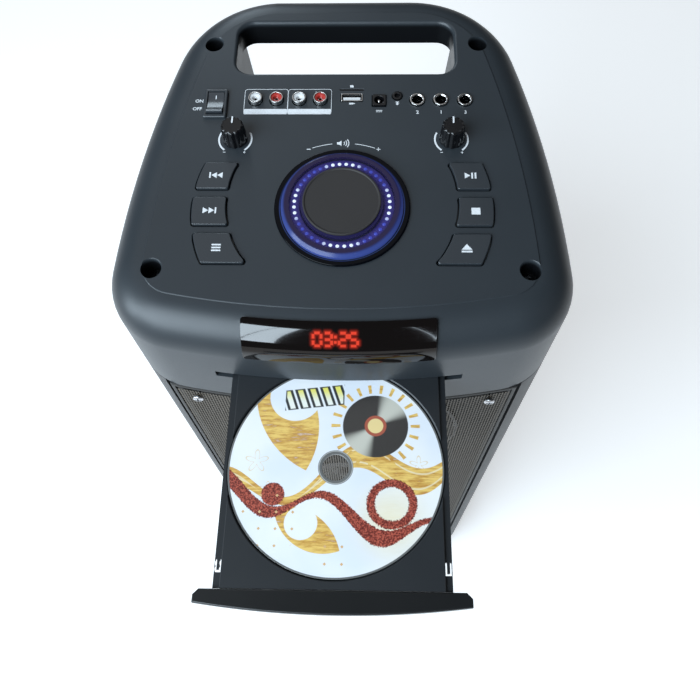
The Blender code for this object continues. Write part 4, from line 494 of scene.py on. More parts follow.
class Finishes:
    """The finishes of this machine."""

    housing = Moulding("housing_plastic", "black_plastic", (0.0260, 0.0315, 0.0370), 0.40)
    keys = Moulding("key_plastic", "black_plastic", (0.0255, 0.0305, 0.0360), 0.38, coat=0.35)
    cabinet = Moulding(
        "cabinet_textured_plastic", "cabinet_plastic", (0.026, 0.0265, 0.028), 0.50, 900.0, 0.00006
    )
    tray = Moulding("tray_plastic", "loader_plastic", (0.0150, 0.0175, 0.0205), 0.46, 2200.0, 0.00002)
    door = Moulding("door_plastic_satin", "door_plastic", (0.0085, 0.0090, 0.0095), 0.34, 2600.0, 0.00001)
    loader = Moulding("loader_frame_plastic", "loader_plastic", (0.020, 0.021, 0.024), 0.50, 1400.0, 0.00004)
    knob = Moulding("knob_plastic_black", "knob_plastic", (0.0040, 0.0040, 0.0048), 0.20, 2400.0, 0.00001)
    cap = Moulding("dial_cap_plastic", "knob_plastic", (0.026, 0.0225, 0.0215), 0.62, 2800.0, 0.00002)
    rocker = Moulding(
        "rocker_plastic", "knob_plastic", (0.030, 0.035, 0.042), 0.30, 2400.0, 0.00001, coat=0.4
    )
    # Near-black that stands in for shade deep in the ports: it lines the USB shell and closes the small
    # jack's bore.
    dark = Moulding("port_painted_shade_black", "knob_plastic", (0.0020, 0.0020, 0.0022), 0.60, 1200.0, 0.00001)
    rubber = Rubber("foot_rubber", "black_rubber")
    zinc = Metal("zinc_plate", "zinc_steel")
    black_zinc = Metal("black_screw_plate", "zinc_steel", (0.10, 0.10, 0.105), 0.35)
    nickel = Metal("nickel_plate", "zinc_steel", (0.78, 0.77, 0.76), 0.16)
    grille = PaintedSteel("grille_paint", "grille_steel", (0.088, 0.068, 0.046))
    # The fold's paint is a darker copy of the grille's paint: painted shade on the folded border.
    fold = PaintedSteel("grille_fold_painted_shade", "grille_steel", (0.014, 0.013, 0.012))
    paper = ConePaper("cone_pulp", "cone_paper")
    baffle = Board("baffle_board", "fibreboard")
    circuit = CircuitBoard("solder_mask", "circuit_board")
    nylon = Moulding("nylon_white", "gear_nylon", (0.62, 0.60, 0.54), 0.48, 1200.0, 0.00002)
    ink = Ink("panel_ink", "black_plastic")
    white_ring = Moulding("socket_white", "knob_plastic", (0.70, 0.70, 0.70), 0.38, 2400.0, 0.00001)
    red_ring = Moulding("socket_red", "knob_plastic", (0.42, 0.030, 0.022), 0.38, 2400.0, 0.00001)


@dataclass(frozen=True)
class DialFinish(Finish):
    """A finish laid out round the dial's axis."""

    centre: Point2 = (0.0, 0.0)


@dataclass(frozen=True)
class LampGlow(DialFinish):
    """The diffuser dots of the lamp ring, brightest at the four quarters."""

    def dress(self, paint: Paint) -> None:
        """Blue-white where the lamps are driven hardest, dim blue between."""
        across, along, reach = paint.polar(self.centre)
        driven = abs(across / reach).at_least(abs(along / reach)).ramp(0.88, 0.985)
        paint.set(
            Base_Color=paint.mix((0.02, 0.03, 0.20), (0.7, 0.8, 1.0), driven),
            Roughness=0.3,
            Emission_Color=paint.mix((0.05, 0.07, 0.46), (0.80, 0.92, 1.0), driven),
            Emission_Strength=1.25,
        )


@dataclass(frozen=True)
class LampFloor(DialFinish):
    """The reflector under the dots, washed with violet light."""

    lamp_radius: float = 0.0
    fade: float = 0.0035

    def dress(self, paint: Paint) -> None:
        """A violet glow that fades away from the row of dots."""
        reach = paint.polar(self.centre)[2]
        near = 1 - (abs(reach - self.lamp_radius) / self.fade).at_most(1.0)
        haze = paint.noise(180.0, 2.0)
        paint.set(
            Base_Color=paint.mix((0.010, 0.008, 0.030), (0.030, 0.028, 0.14), near),
            Roughness=0.35 + haze * 0.1,
            Emission_Color=paint.mix((0.010, 0.006, 0.045), (0.035, 0.030, 0.24), near * (0.6 + haze * 0.5)),
            Emission_Strength=1.0,
        )


@dataclass(frozen=True)
class DialGlass(DialFinish):
    """The dial's clear smoked body, lit blue from inside at its wall."""

    inner_edge: Point2 = (0.0232, 0.0240)
    outer_edge: Point2 = (0.0298, 0.0306)
    violet_edge: Point2 = (0.0296, 0.0308)
    wall_edge: Point2 = (0.0324, 0.0341)

    def dress(self, paint: Paint) -> None:
        """Clear over the lamps, dark violet beyond them, and blue at the wall."""
        _, along, reach = paint.polar(self.centre)
        wall = reach.ramp(*self.wall_edge)
        violet = reach.ramp(*self.violet_edge) * (1 - wall)
        window = reach.ramp(*self.inner_edge) * (1 - reach.ramp(*self.outer_edge))
        toward = (along / reach).ramp(-0.9, 0.5, 1.0, 0.42)
        haze = paint.noise(150.0, 3.0)
        glow = paint.mix((0.008, 0.006, 0.040), (0.022, 0.040, 0.18), wall * toward)
        smoke = paint.mix((0.010, 0.010, 0.030), (0.009, 0.007, 0.016), violet)
        paint.set(
            Base_Color=paint.mix(smoke, (0.02, 0.03, 0.10), wall),
            Roughness=0.07 + haze * 0.05 + wall * 0.14,
            Specular_IOR_Level=0.26,
            Emission_Color=paint.mix(glow, (0.012, 0.008, 0.034), violet * haze),
            Emission_Strength=1.0,
            Alpha=1 - window * 0.80,
        )


@dataclass(frozen=True)
class LitBezel(DialFinish):
    """Black gloss that mirrors the dial's blue wall along its inner edge."""

    inner: float = 0.0356
    fade: float = 0.0007

    def dress(self, paint: Paint) -> None:
        """Blue beside the wall, black beyond it, with a little dust."""
        _, along, reach = paint.polar(self.centre)
        toward = (along / reach).ramp(-0.6, 0.7, 1.0, 0.15)
        near = reach.ramp(self.inner, self.inner + self.fade, 1.0, 0.0) * toward
        dust = paint.noise(900.0, 3.0, 0.7).ramp(0.66, 0.80)
        paint.set(
            Base_Color=paint.mix((0.0016, 0.0020, 0.0026), (0.03, 0.03, 0.035), dust * 0.3),
            Roughness=0.14 + dust * 0.2,
            Specular_IOR_Level=0.12,
            Emission_Color=paint.mix((0.0, 0.0, 0.001), (0.045, 0.080, 0.28), near),
            Emission_Strength=1.0,
        )


@dataclass(frozen=True)
class SmokedLens(Finish):
    """The display's smoked lens, with four red digits and a colon that shine through it."""

    middle: Point3 = (0.0, 0.0, 0.0)
    lean: float = math.radians(50.0)
    digit_width: float = 0.0043
    digit_height: float = 0.0072
    stroke: float = 0.00055
    pitch: float = 0.0057
    colon_room: float = 0.0013
    colon_half: float = 0.0015
    shown: str = "0325"

    def strokes(self) -> list[tuple[Point2, Point2]]:
        """The lit bars of the digits, each as its middle and half size."""
        lit = {"0": "abcdef", "2": "abged", "3": "abgcd", "5": "afgcd"}
        half_x = self.digit_width / 2
        half_y = self.digit_height / 2
        flat = (half_x - self.stroke * 1.6, self.stroke)
        upright = (self.stroke, half_y / 2 - self.stroke * 1.4)
        bars = {
            "a": ((0, half_y), flat),
            "g": ((0, 0), flat),
            "d": ((0, -half_y), flat),
            "f": ((-half_x, half_y / 2), upright),
            "b": ((half_x, half_y / 2), upright),
            "e": ((-half_x, -half_y / 2), upright),
            "c": ((half_x, -half_y / 2), upright),
        }
        found = []
        for i, digit in enumerate(self.shown):
            shift = (i - 1.5) * self.pitch + (self.colon_room if i > 1 else -self.colon_room)
            for bar in lit[digit]:
                (x, y), half = bars[bar]
                found.append(((x + shift, y), half))
        return found + [((0.0, y), (self.stroke, self.stroke)) for y in (-self.colon_half, self.colon_half)]

    def dress(self, paint: Paint) -> None:
        """Dark gloss, and the digits with their red haze."""
        x, y, z = paint.axes(paint.place())
        across = x - self.middle[0]
        up = (y - self.middle[1]) * math.cos(self.lean) + (z - self.middle[2]) * math.sin(self.lean)
        nearest: Term = 1.0
        for (bar_x, bar_y), (half_x, half_y) in self.strokes():
            side = (abs(across - bar_x) - half_x).at_least(0.0)
            rise = (abs(up - bar_y) - half_y).at_least(0.0)
            nearest = (side * side + rise * rise).root().at_most(nearest)
        lit = nearest.ramp(0.00008, 0.00030, 1.0, 0.0)
        haze = nearest.ramp(0.0, 0.0030, 1.0, 0.0)
        wipe = paint.noise(45.0, 3.0)
        ground = paint.mix((0.0, 0.0, 0.0), (0.34, 0.020, 0.010), haze * haze * haze)
        paint.set(
            Base_Color=(0.0030, 0.0018, 0.0016),
            Roughness=0.045 + wipe * 0.05,
            Coat_Weight=0.5,
            Coat_Roughness=0.02,
            Emission_Color=paint.mix(ground, (0.84, 0.062, 0.030), lit),
            Emission_Strength=1.0,
        )


@dataclass(frozen=True)
class DiscPrint(Finish):
    """The disc's screen print: gold ribbons, a sun with rays, a rust wave and small diamonds."""

    centre: Point2 = (0.0, 0.0)
    hub: float = 0.0098
    edge: float = 0.0590

    def dress(self, paint: Paint) -> None:
        """Lays each motif over the last, then the clear hub and rim."""
        u, v, reach = (part * 1000.0 for part in paint.polar(self.centre))
        streak = paint.noise(1.0, 4.0, 0.6, paint.scaled(paint.place(), (120.0, 700.0, 200.0)))
        speck = paint.noise(1100.0, 3.0, 0.7)
        slow = paint.noise(28.0, 2.0)

        def disc(at_u: float, at_v: float, radius: float) -> Value:
            """How far a point lies outside a circle, in millimetres."""
            du = u - at_u
            dv = v - at_v
            return (du * du + dv * dv).root() - radius

        def inside(distance: Value, soft: float = 0.25) -> Value:
            """1 inside a form and 0 outside it."""
            return distance.ramp(-soft, soft, 1.0, 0.0)

        def wave(at_v: float, rise: float, length: float, phase: float, lean: float) -> Value:
            """How far a point lies above a wave that crosses the disc."""
            return v - at_v - u * lean - (u * (2 * math.pi / length) + phase).sine() * rise

        def angle_round(at_u: float, at_v: float) -> Value:
            """The heading of a point from another, in radians."""
            return paint.node("ShaderNodeMath", {"operation": "ARCTAN2"}, {0: v - at_v, 1: u - at_u})

        def flower(at_u: float, at_v: float, radius: float) -> Value:
            """How far a point lies from the outline of a flower with five petals."""
            petals = (angle_round(at_u, at_v) * 5.0).sine() * 0.36 + 0.64
            return abs(disc(at_u, at_v, 0.0) - petals * radius) - 0.35

        ground = paint.mix((0.78, 0.82, 0.89), (0.90, 0.90, 0.89), slow.ramp(0.3, 0.7))
        gold = paint.mix((0.50, 0.22, 0.035), (0.88, 0.60, 0.17), streak.ramp(0.28, 0.66))
        pale_gold = paint.mix((0.86, 0.72, 0.42), (0.93, 0.86, 0.66), streak)
        rust = paint.mix((0.13, 0.018, 0.014), (0.52, 0.11, 0.07), speck.ramp(0.42, 0.60))
        crumb = (speck - 0.5) * 3.0

        colour = paint.mix(ground, pale_gold, inside(disc(30.0, -30.0, 16.0), 14.0) * 0.8)
        flowers = ((-44.0, 3.0, 6.5), (-37.0, -13.0, 4.5), (-49.0, -12.0, 3.5), (46.0, 2.0, 5.0))
        for at_u, at_v, radius in flowers:
            colour = paint.mix(colour, (0.78, 0.58, 0.30), inside(flower(at_u, at_v, radius)) * 0.7)
        leaf = disc(-58.0, 22.0, 48.0).at_least(disc(6.0, 46.0, 53.0)).at_least(-disc(-24.0, 42.0, 15.0))
        tail = disc(-26.0, -52.0, 30.0).at_least(disc(-6.0, -20.0, 27.0)).at_least(-disc(-18.0, -31.0, 9.0))
        for form in (leaf, tail):
            colour = paint.mix(colour, gold, inside(form) * streak.ramp(0.25, 0.40, 0.45, 1.0))
        ribbon = abs(wave(-5.0, 10.0, 74.0, 0.6, 0.16)) - (5.2 + (u * 0.05).sine() * 3.0)
        colour = paint.mix(colour, gold, inside(ribbon) * streak.ramp(0.22, 0.36, 0.6, 1.0))
        colour = paint.mix(colour, pale_gold, inside(abs(ribbon + 3.2) - 0.5) * 0.7)

        sun_u, sun_v, sun_radius = 22.0, 24.5, 18.5
        spoke = angle_round(sun_u, sun_v)
        ring = disc(sun_u, sun_v, 0.0)
        grooves = (ring * 1.6).fraction().ramp(0.0, 0.5)
        sheen = abs((spoke + 0.7).sine()).ramp(0.80, 1.0)
        grooved = paint.mix((0.010, 0.009, 0.009), (0.060, 0.054, 0.050), grooves)
        black = paint.mix(grooved, (0.60, 0.58, 0.50), sheen)
        rays = (abs(ring - (sun_radius + 4.0)) - 2.6).at_least(abs((spoke * 11.0).sine()) * 4.0 - 1.7)
        colour = paint.mix(colour, gold, inside(rays, 0.3))
        colour = paint.mix(colour, black, inside(ring - sun_radius))
        label = paint.mix((0.42, 0.10, 0.06), (0.86, 0.66, 0.30), inside(ring - 4.4, 0.2))
        colour = paint.mix(colour, label, inside(ring - 6.2, 0.2))

        rust_wave = abs(wave(-25.0, 8.0, 61.0, 2.2, -0.22)) - (3.3 + (u * 0.09).sine() * 1.7) + crumb
        rust_loop = abs(disc(31.0, -20.0, 11.5)) - 2.3 + crumb
        ball = disc(-34.0, -15.5, 6.4) + crumb * 0.4
        colour = paint.mix(colour, rust, inside(rust_wave.at_most(rust_loop).at_most(ball), 0.35))

        step = (u + v * 0.35 + 17.0) / 7.5
        bars = abs(step.fraction() - 0.5) * 7.5 - 2.2
        block = (abs(u + 13.0) - 17.0).at_least(abs(v - 43.0 - u * 0.12) - 6.2)
        colour = paint.mix(colour, (0.035, 0.038, 0.040), inside(block.at_least(bars - 0.9)))
        yellow = paint.mix((0.90, 0.90, 0.82), (0.86, 0.78, 0.16), (v - 38.0).ramp(0.0, 9.0))
        colour = paint.mix(colour, yellow, inside(block.at_least(bars) + 0.7))

        cell_u = (u / 9.0).fraction() - 0.5
        cell_v = (v / 9.0 + 0.3).fraction() - 0.5
        diamond = abs(cell_u) * 9.0 + abs(cell_v) * 9.0 - 0.9
        corner = inside(disc(-34.0, -30.0, 17.0)).at_least(inside(disc(2.0, -46.0, 11.0)))
        colour = paint.mix(colour, (0.72, 0.45, 0.22), inside(diamond, 0.15) * corner)

        clear = inside(reach - self.hub * 1000.0, 0.1).at_least(1 - inside(reach - self.edge * 1000.0, 0.1))
        rim_line = inside(abs(reach - self.hub * 1000.0 + 0.5) - 0.25, 0.15)
        colour = paint.mix(colour, (0.15, 0.15, 0.145), clear)
        colour = paint.mix(colour, (0.42, 0.42, 0.41), rim_line)
        line = (reach * 3.0).fraction()
        paint.set(
            Base_Color=colour,
            Roughness=0.30 + streak * 0.10 - clear * 0.12,
            Coat_Weight=0.25,
            Coat_Roughness=0.08,
        )
        paint.bump(line * clear, 0.00002, 0.3)


# Shapes


def arc(centre: Point2, radius: float, start: float, end: float, steps: int) -> list[Point2]:
    """Points on an arc, both ends included.

    Args:
        centre: Its middle.
        radius: Its radius.
        start: The first angle from +X, in radians.
        end: The last angle.
        steps: How many chords it has.

    Returns:
        The points in order.
    """
    turn = (end - start) / steps
    angles = [start + turn * i for i in range(steps + 1)]
    return [(centre[0] + radius * math.cos(a), centre[1] + radius * math.sin(a)) for a in angles]


def circle(radius: float, count: int) -> list[Point2]:
    """A circle of count points round the origin, counter-clockwise."""
    return arc((0.0, 0.0), radius, 0.0, 2 * math.pi, count)[:-1]


def rounded(corners: Sequence[Point2], radius: float, steps: int = 6) -> list[Point2]:
    """A polygon whose corners are arcs.

    Args:
        corners: Its corners, counter-clockwise.
        radius: The arcs' radius.
        steps: How many chords each arc has.

    Returns:
        The rounded outline.
    """
    points: list[Point2] = []
    count = len(corners)
    for i, corner in enumerate(corners):
        here = Vector(corner)
        back = (Vector(corners[i - 1]) - here).normalized()
        ahead = (Vector(corners[(i + 1) % count]) - here).normalized()
        half_angle = back.angle(ahead) / 2
        reach = radius / math.tan(half_angle)
        middle = here + (back + ahead).normalized() * (radius / math.sin(half_angle))
        start = here + back * reach - middle
        turn = start.angle_signed(here + ahead * reach - middle)
        for step in range(steps + 1):
            points.append(tuple(middle + Matrix.Rotation(-turn * step / steps, 2) @ start))
    return points


def rectangle(
    half_x: float, half_y: float, radius: float = 0.0, centre: Point2 = (0.0, 0.0), steps: int = 6
) -> list[Point2]:
    """A rectangle, with rounded corners where radius isn't 0."""
    left, right = centre[0] - half_x, centre[0] + half_x
    front, rear = centre[1] - half_y, centre[1] + half_y
    corners = [(left, front), (right, front), (right, rear), (left, rear)]
    return rounded(corners, radius, steps) if radius else corners


def mirrored(points: Sequence[Point2]) -> list[Point2]:
    """An outline turned over left to right, still counter-clockwise."""
    return [(-x, y) for x, y in reversed(points)]


def level(points: Iterable[Point2], z: float) -> list[Point3]:
    """An outline at one height."""
    return [(x, y, z) for x, y in points]


def quarter(steps: int) -> list[Point2]:
    """The steps of a quarter turn, each as what its cosine and its sine fall short of 1."""
    angles = [math.pi / 2 * step / steps for step in range(steps + 1)]
    return [(1 - math.cos(angle), 1 - math.sin(angle)) for angle in angles]


def skin(shape: bmesh.types.BMesh, rows: Sequence[Sequence[bmesh.types.BMVert]]) -> None:
    """Joins each row of points to the next with a belt of quads."""
    for first, second in zip(rows, rows[1:]):
        for i in range(len(first)):
            j = (i + 1) % len(first)
            shape.faces.new((first[i], first[j], second[j], second[i]))


def loft(rings: Sequence[Sequence[Point3]], capped: bool = True) -> bmesh.types.BMesh:
    """A closed form through rings of points.

    Args:
        rings: The rings, of as many points each.
        capped: Whether the ends are capped. If not, the last ring joins the first.

    Returns:
        The form.
    """
    shape = bmesh.new()
    rows = [[shape.verts.new(point) for point in ring] for ring in rings]
    if capped:
        skin(shape, rows)
        shape.faces.new(list(reversed(rows[0])))
        shape.faces.new(rows[-1])
    else:
        skin(shape, rows + rows[:1])
    return shape


def prism(points: Sequence[Point2], low: float, high: float) -> bmesh.types.BMesh:
    """An outline drawn up from one height to another."""
    return loft([level(points, low), level(points, high)])


def box(low: Point3, high: Point3) -> bmesh.types.BMesh:
    """A cutter between two opposite corners."""
    outline = [(low[0], low[1]), (high[0], low[1]), (high[0], high[1]), (low[0], high[1])]
    return prism(outline, low[2], high[2])


def turned(profile: Sequence[Point2], count: int) -> bmesh.types.BMesh:
    """A (radius, height) profile turned round Z, closed on itself or at radius 0."""
    shape = bmesh.new()
    rows = []
    for radius, height in profile:
        ring = [(0.0, 0.0)] if radius == 0 else circle(radius, count)
        rows.append([shape.verts.new((x, y, height)) for x, y in ring])
    if len(rows[0]) > 1:
        rows.append(rows[0])
    for first, second in zip(rows, rows[1:]):
        if len(first) > 1 and len(second) > 1:
            skin(shape, (first, second))
        elif len(first) > 1 or len(second) > 1:
            for i in range(count):
                j = (i + 1) % count
                tip = (first[0], second[j], second[i]) if len(first) == 1 else (first[i], first[j], second[0])
                shape.faces.new(tip)
    return shape


def softened(profile: Sequence[Point2], radius: float, steps: int = 3) -> list[Point2]:
    """A turned profile with each corner off the axis rounded, as far as its sides allow.

    Args:
        profile: The (radius, height) corners.
        radius: The rounding.
        steps: How many chords each rounding has.

    Returns:
        The rounded profile.
    """
    points: list[Point2] = []
    count = len(profile)
    for i, corner in enumerate(profile):
        here = Vector(corner)
        back = Vector(profile[i - 1]) - here
        ahead = Vector(profile[(i + 1) % count]) - here
        open_end = profile[0][0] == 0 and i in (0, count - 1)
        if corner[0] == 0 or open_end or back.length < 1e-6 or ahead.length < 1e-6:
            points.append(corner)
            continue
        half_angle = back.angle(ahead) / 2
        if half_angle > math.radians(80):
            points.append(corner)
            continue
        reach = min(radius / math.tan(half_angle), back.length * 0.45, ahead.length * 0.45)
        start = here + back.normalized() * reach
        end = here + ahead.normalized() * reach
        for step in range(steps + 1):
            t = step / steps
            point = start * (1 - t) ** 2 + here * 2 * t * (1 - t) + end * t**2
            points.append((point.x, point.y))
    return points


def merged(shapes: Iterable[tuple[bmesh.types.BMesh, Matrix]]) -> bmesh.types.BMesh:
    """Several forms, each in its place, as one mesh."""
    whole = bmesh.new()
    for shape, place in shapes:
        bmesh.ops.transform(shape, matrix=place, verts=shape.verts)
        bmesh.ops.recalc_face_normals(shape, faces=shape.faces)
        held = bpy.data.meshes.new("held")
        shape.to_mesh(held)
        shape.free()
        whole.from_mesh(held)
        bpy.data.meshes.remove(held)
    return whole


def panel_place(point: Point2, height: float = 0.0) -> Matrix:
    """The frame of a control whose place in plan is the point."""
    return PANEL @ Matrix.Translation((point[0], point[1] / math.cos(PANEL_TILT), height))


def freeze(piece: bpy.types.Object) -> None:
    """Replaces a piece's mesh with what its modifiers make of it."""
    graph = bpy.context.evaluated_depsgraph_get()
    made = bpy.data.meshes.new_from_object(piece.evaluated_get(graph))
    piece.modifiers.clear()
    old = piece.data
    piece.data = made
    bpy.data.meshes.remove(old)


def thing(name: str, shape: bmesh.types.BMesh, place: Matrix) -> bpy.types.Object:
    """A mesh object in its place in the world, whose own frame is the world's."""
    bmesh.ops.transform(shape, matrix=place, verts=shape.verts)
    bmesh.ops.recalc_face_normals(shape, faces=shape.faces)
    mesh = bpy.data.meshes.new(name)
    shape.to_mesh(mesh)
    shape.free()
    made = bpy.data.objects.new(name, mesh)
    bpy.context.scene.collection.objects.link(made)
    return made


@dataclass
class Cut:
    """A form taken from a piece, or joined to it."""

    shape: bmesh.types.BMesh
    place: Matrix = field(default_factory=MACHINE.copy)
    operation: str = "DIFFERENCE"


def carve(piece: bpy.types.Object, cuts: Sequence[Cut]) -> None:
    """Applies cuts in order and removes their tools."""
    tools = []
    for i, cut in enumerate(cuts):
        tool = thing(f"tool_{i}", cut.shape, cut.place)
        step = piece.modifiers.new(tool.name, "BOOLEAN")
        step.operation = cut.operation
        step.solver = "EXACT"
        step.object = tool
        tools.append(tool)
    freeze(piece)
    for tool in tools:
        held = tool.data
        bpy.data.objects.remove(tool)
        bpy.data.meshes.remove(held)


@dataclass
class Make:
    """How a form becomes a piece of the machine."""

    finish: Finish
    body: str = CABINET
    place: Matrix = field(default_factory=MACHINE.copy)
    nodes: tuple[str, ...] = ()
    bevel: float = 0.0
    bevel_steps: int = 2
    sharp: float = 35.0
    cuts: tuple[Cut, ...] = ()

    def piece(self, name: str, shape: bmesh.types.BMesh) -> bpy.types.Object:
        """Makes the piece, carves it, rounds its edges and dresses it.

        Args:
            name: The piece's name.
            shape: Its form in the frame of place.

        Returns:
            The finished piece, riding on its body.
        """
        made = thing(name, shape, self.place)
        if self.cuts:
            carve(made, self.cuts)
        mesh = made.data
        mesh.shade_smooth()
        mesh.set_sharp_from_angle(angle=math.radians(self.sharp))
        if self.bevel:
            edge = made.modifiers.new("edges", "BEVEL")
            edge.width = self.bevel
            edge.segments = self.bevel_steps
            edge.limit_method = "ANGLE"
            edge.angle_limit = math.radians(self.sharp)
            edge.harden_normals = False
        even = made.modifiers.new("even", "WEIGHTED_NORMAL")
        even.keep_sharp = not self.bevel
        freeze(made)
        made.data.materials.clear()
        made.data.materials.append(self.finish.material())
        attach(made, self.body)
        if self.nodes:
            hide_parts(*self.nodes)
        LOG.info("%s: %d faces", name, len(made.data.polygons))
        return made


def dress_node(node: str, finish: Finish) -> None:
    """Gives a solid that shows as it is a better material."""
    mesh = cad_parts[node].data
    if not mesh.materials:
        mesh.materials.append(finish.material())
    for i in range(len(mesh.materials)):
        mesh.materials[i] = finish.material()


# Sub-assemblies


@dataclass(frozen=True)
class BodyForm:
    """The machine's outline from above, and its sloping panel."""

    front_bow: float = 0.540
    side_bow: float = 0.700
    side_reach: float = 0.1339
    side_widest_y: float = 0.022
    front_corner: float = 0.042
    rear_corner: float = 0.070
    seam_z: float = 0.546
    wall: float = 0.003
    rim: float = 0.0225
    rim_step: float = 0.0006
    rim_ledge: float = 0.0008

    def outline(self, inset: float = 0.0, fine: int = 4) -> list[Point2]:
        """The outline, counter-clockwise from the middle of the front, moved in by inset."""
        front = Vector((0.0, self.front_bow))
        side = Vector((self.side_reach - self.side_bow, self.side_widest_y))
        first = self.side_bow - self.front_corner
        second = self.front_bow - self.front_corner
        span = front - side
        along = (span.length_squared + first**2 - second**2) / (2 * span.length)
        aside = math.sqrt(max(first**2 - along**2, 0.0))
        foot = side + span.normalized() * along
        normal = Vector((-span.y, span.x)).normalized() * aside
        corner = max((foot + normal, foot - normal), key=lambda point: point.x)
        rear_y = BODY_DEPTH - self.rear_corner
        reach = self.side_bow - self.rear_corner
        rear = Vector((side.x + math.sqrt(reach**2 - (rear_y - side.y) ** 2), rear_y))
        to_corner = math.atan2(corner.y - front.y, corner.x - front.x)
        to_side = math.atan2(corner.y - side.y, corner.x - side.x)
        to_rear = math.atan2(rear.y - side.y, rear.x - side.x)
        half = arc(front, self.front_bow - inset, -math.pi / 2, to_corner, 5 * fine)
        half += arc(corner, self.front_corner - inset, to_corner, to_side, 3 * fine)[1:]
        half += arc(side, self.side_bow - inset, to_side, to_rear, 3 * fine)[1:]
        half += arc(rear, self.rear_corner - inset, to_rear, math.pi / 2, 5 * fine)[1:]
        return half + mirrored(half[1:-1])

    def bow(self, x: float) -> float:
        """How far the front lies behind its foremost point, x away from the middle."""
        return self.front_bow - math.sqrt(self.front_bow**2 - x**2)

    def panel_z(self, y: float) -> float:
        """The panel's height above the floor at y."""
        return PANEL_FRONT_Z + math.tan(PANEL_TILT) * y

    def ring(self, inset: float, drop: float, fine: int = 4) -> list[Point3]:
        """The outline on a surface that lies drop below the panel."""
        return [(x, y, self.panel_z(y) - drop) for x, y in self.outline(inset, fine)]

    def rim_rings(self, wall: float, step: float, bends: int, fine: int = 4) -> list[list[Point3]]:
        """Rings that round the rim over, for a skin moved in by wall."""
        radius = self.rim - wall
        rings = []
        for flat, upright in reversed(quarter(bends)):
            rings.append(self.ring(wall + radius * upright, wall + step + (radius - step) * flat, fine))
        return rings


FORM = BodyForm()


@dataclass(frozen=True)
class Screw:
    """A pan-head screw with a cross recess, made along +Z with its seat at 0."""

    head_radius: float
    head_height: float
    shank_radius: float
    length: float

    def build(self, name: str, place: Matrix, node: str, finish: Finish) -> None:
        """Makes the screw in place of its node."""
        head, high = self.head_radius, self.head_height
        profile = [(0.0, high)]
        for step in range(1, 7):
            angle = math.pi / 2 * step / 6
            profile.append((head * math.sin(angle), high * (0.35 + 0.65 * math.cos(angle))))
        profile += [
            (head, 0.0), (self.shank_radius, 0.0), (self.shank_radius, -self.length), (0.0, -self.length)
        ]
        arm, slot, deep = head * 0.62, head * 0.16, high * 0.42
        cross = [
            Cut(box((-arm, -slot, deep), (arm, slot, high + 0.001)), place),
            Cut(box((-slot, -arm, deep), (slot, arm, high + 0.001)), place),
        ]
        Make(finish, CABINET, place, (node,), cuts=tuple(cross)).piece(name, turned(profile, 32))


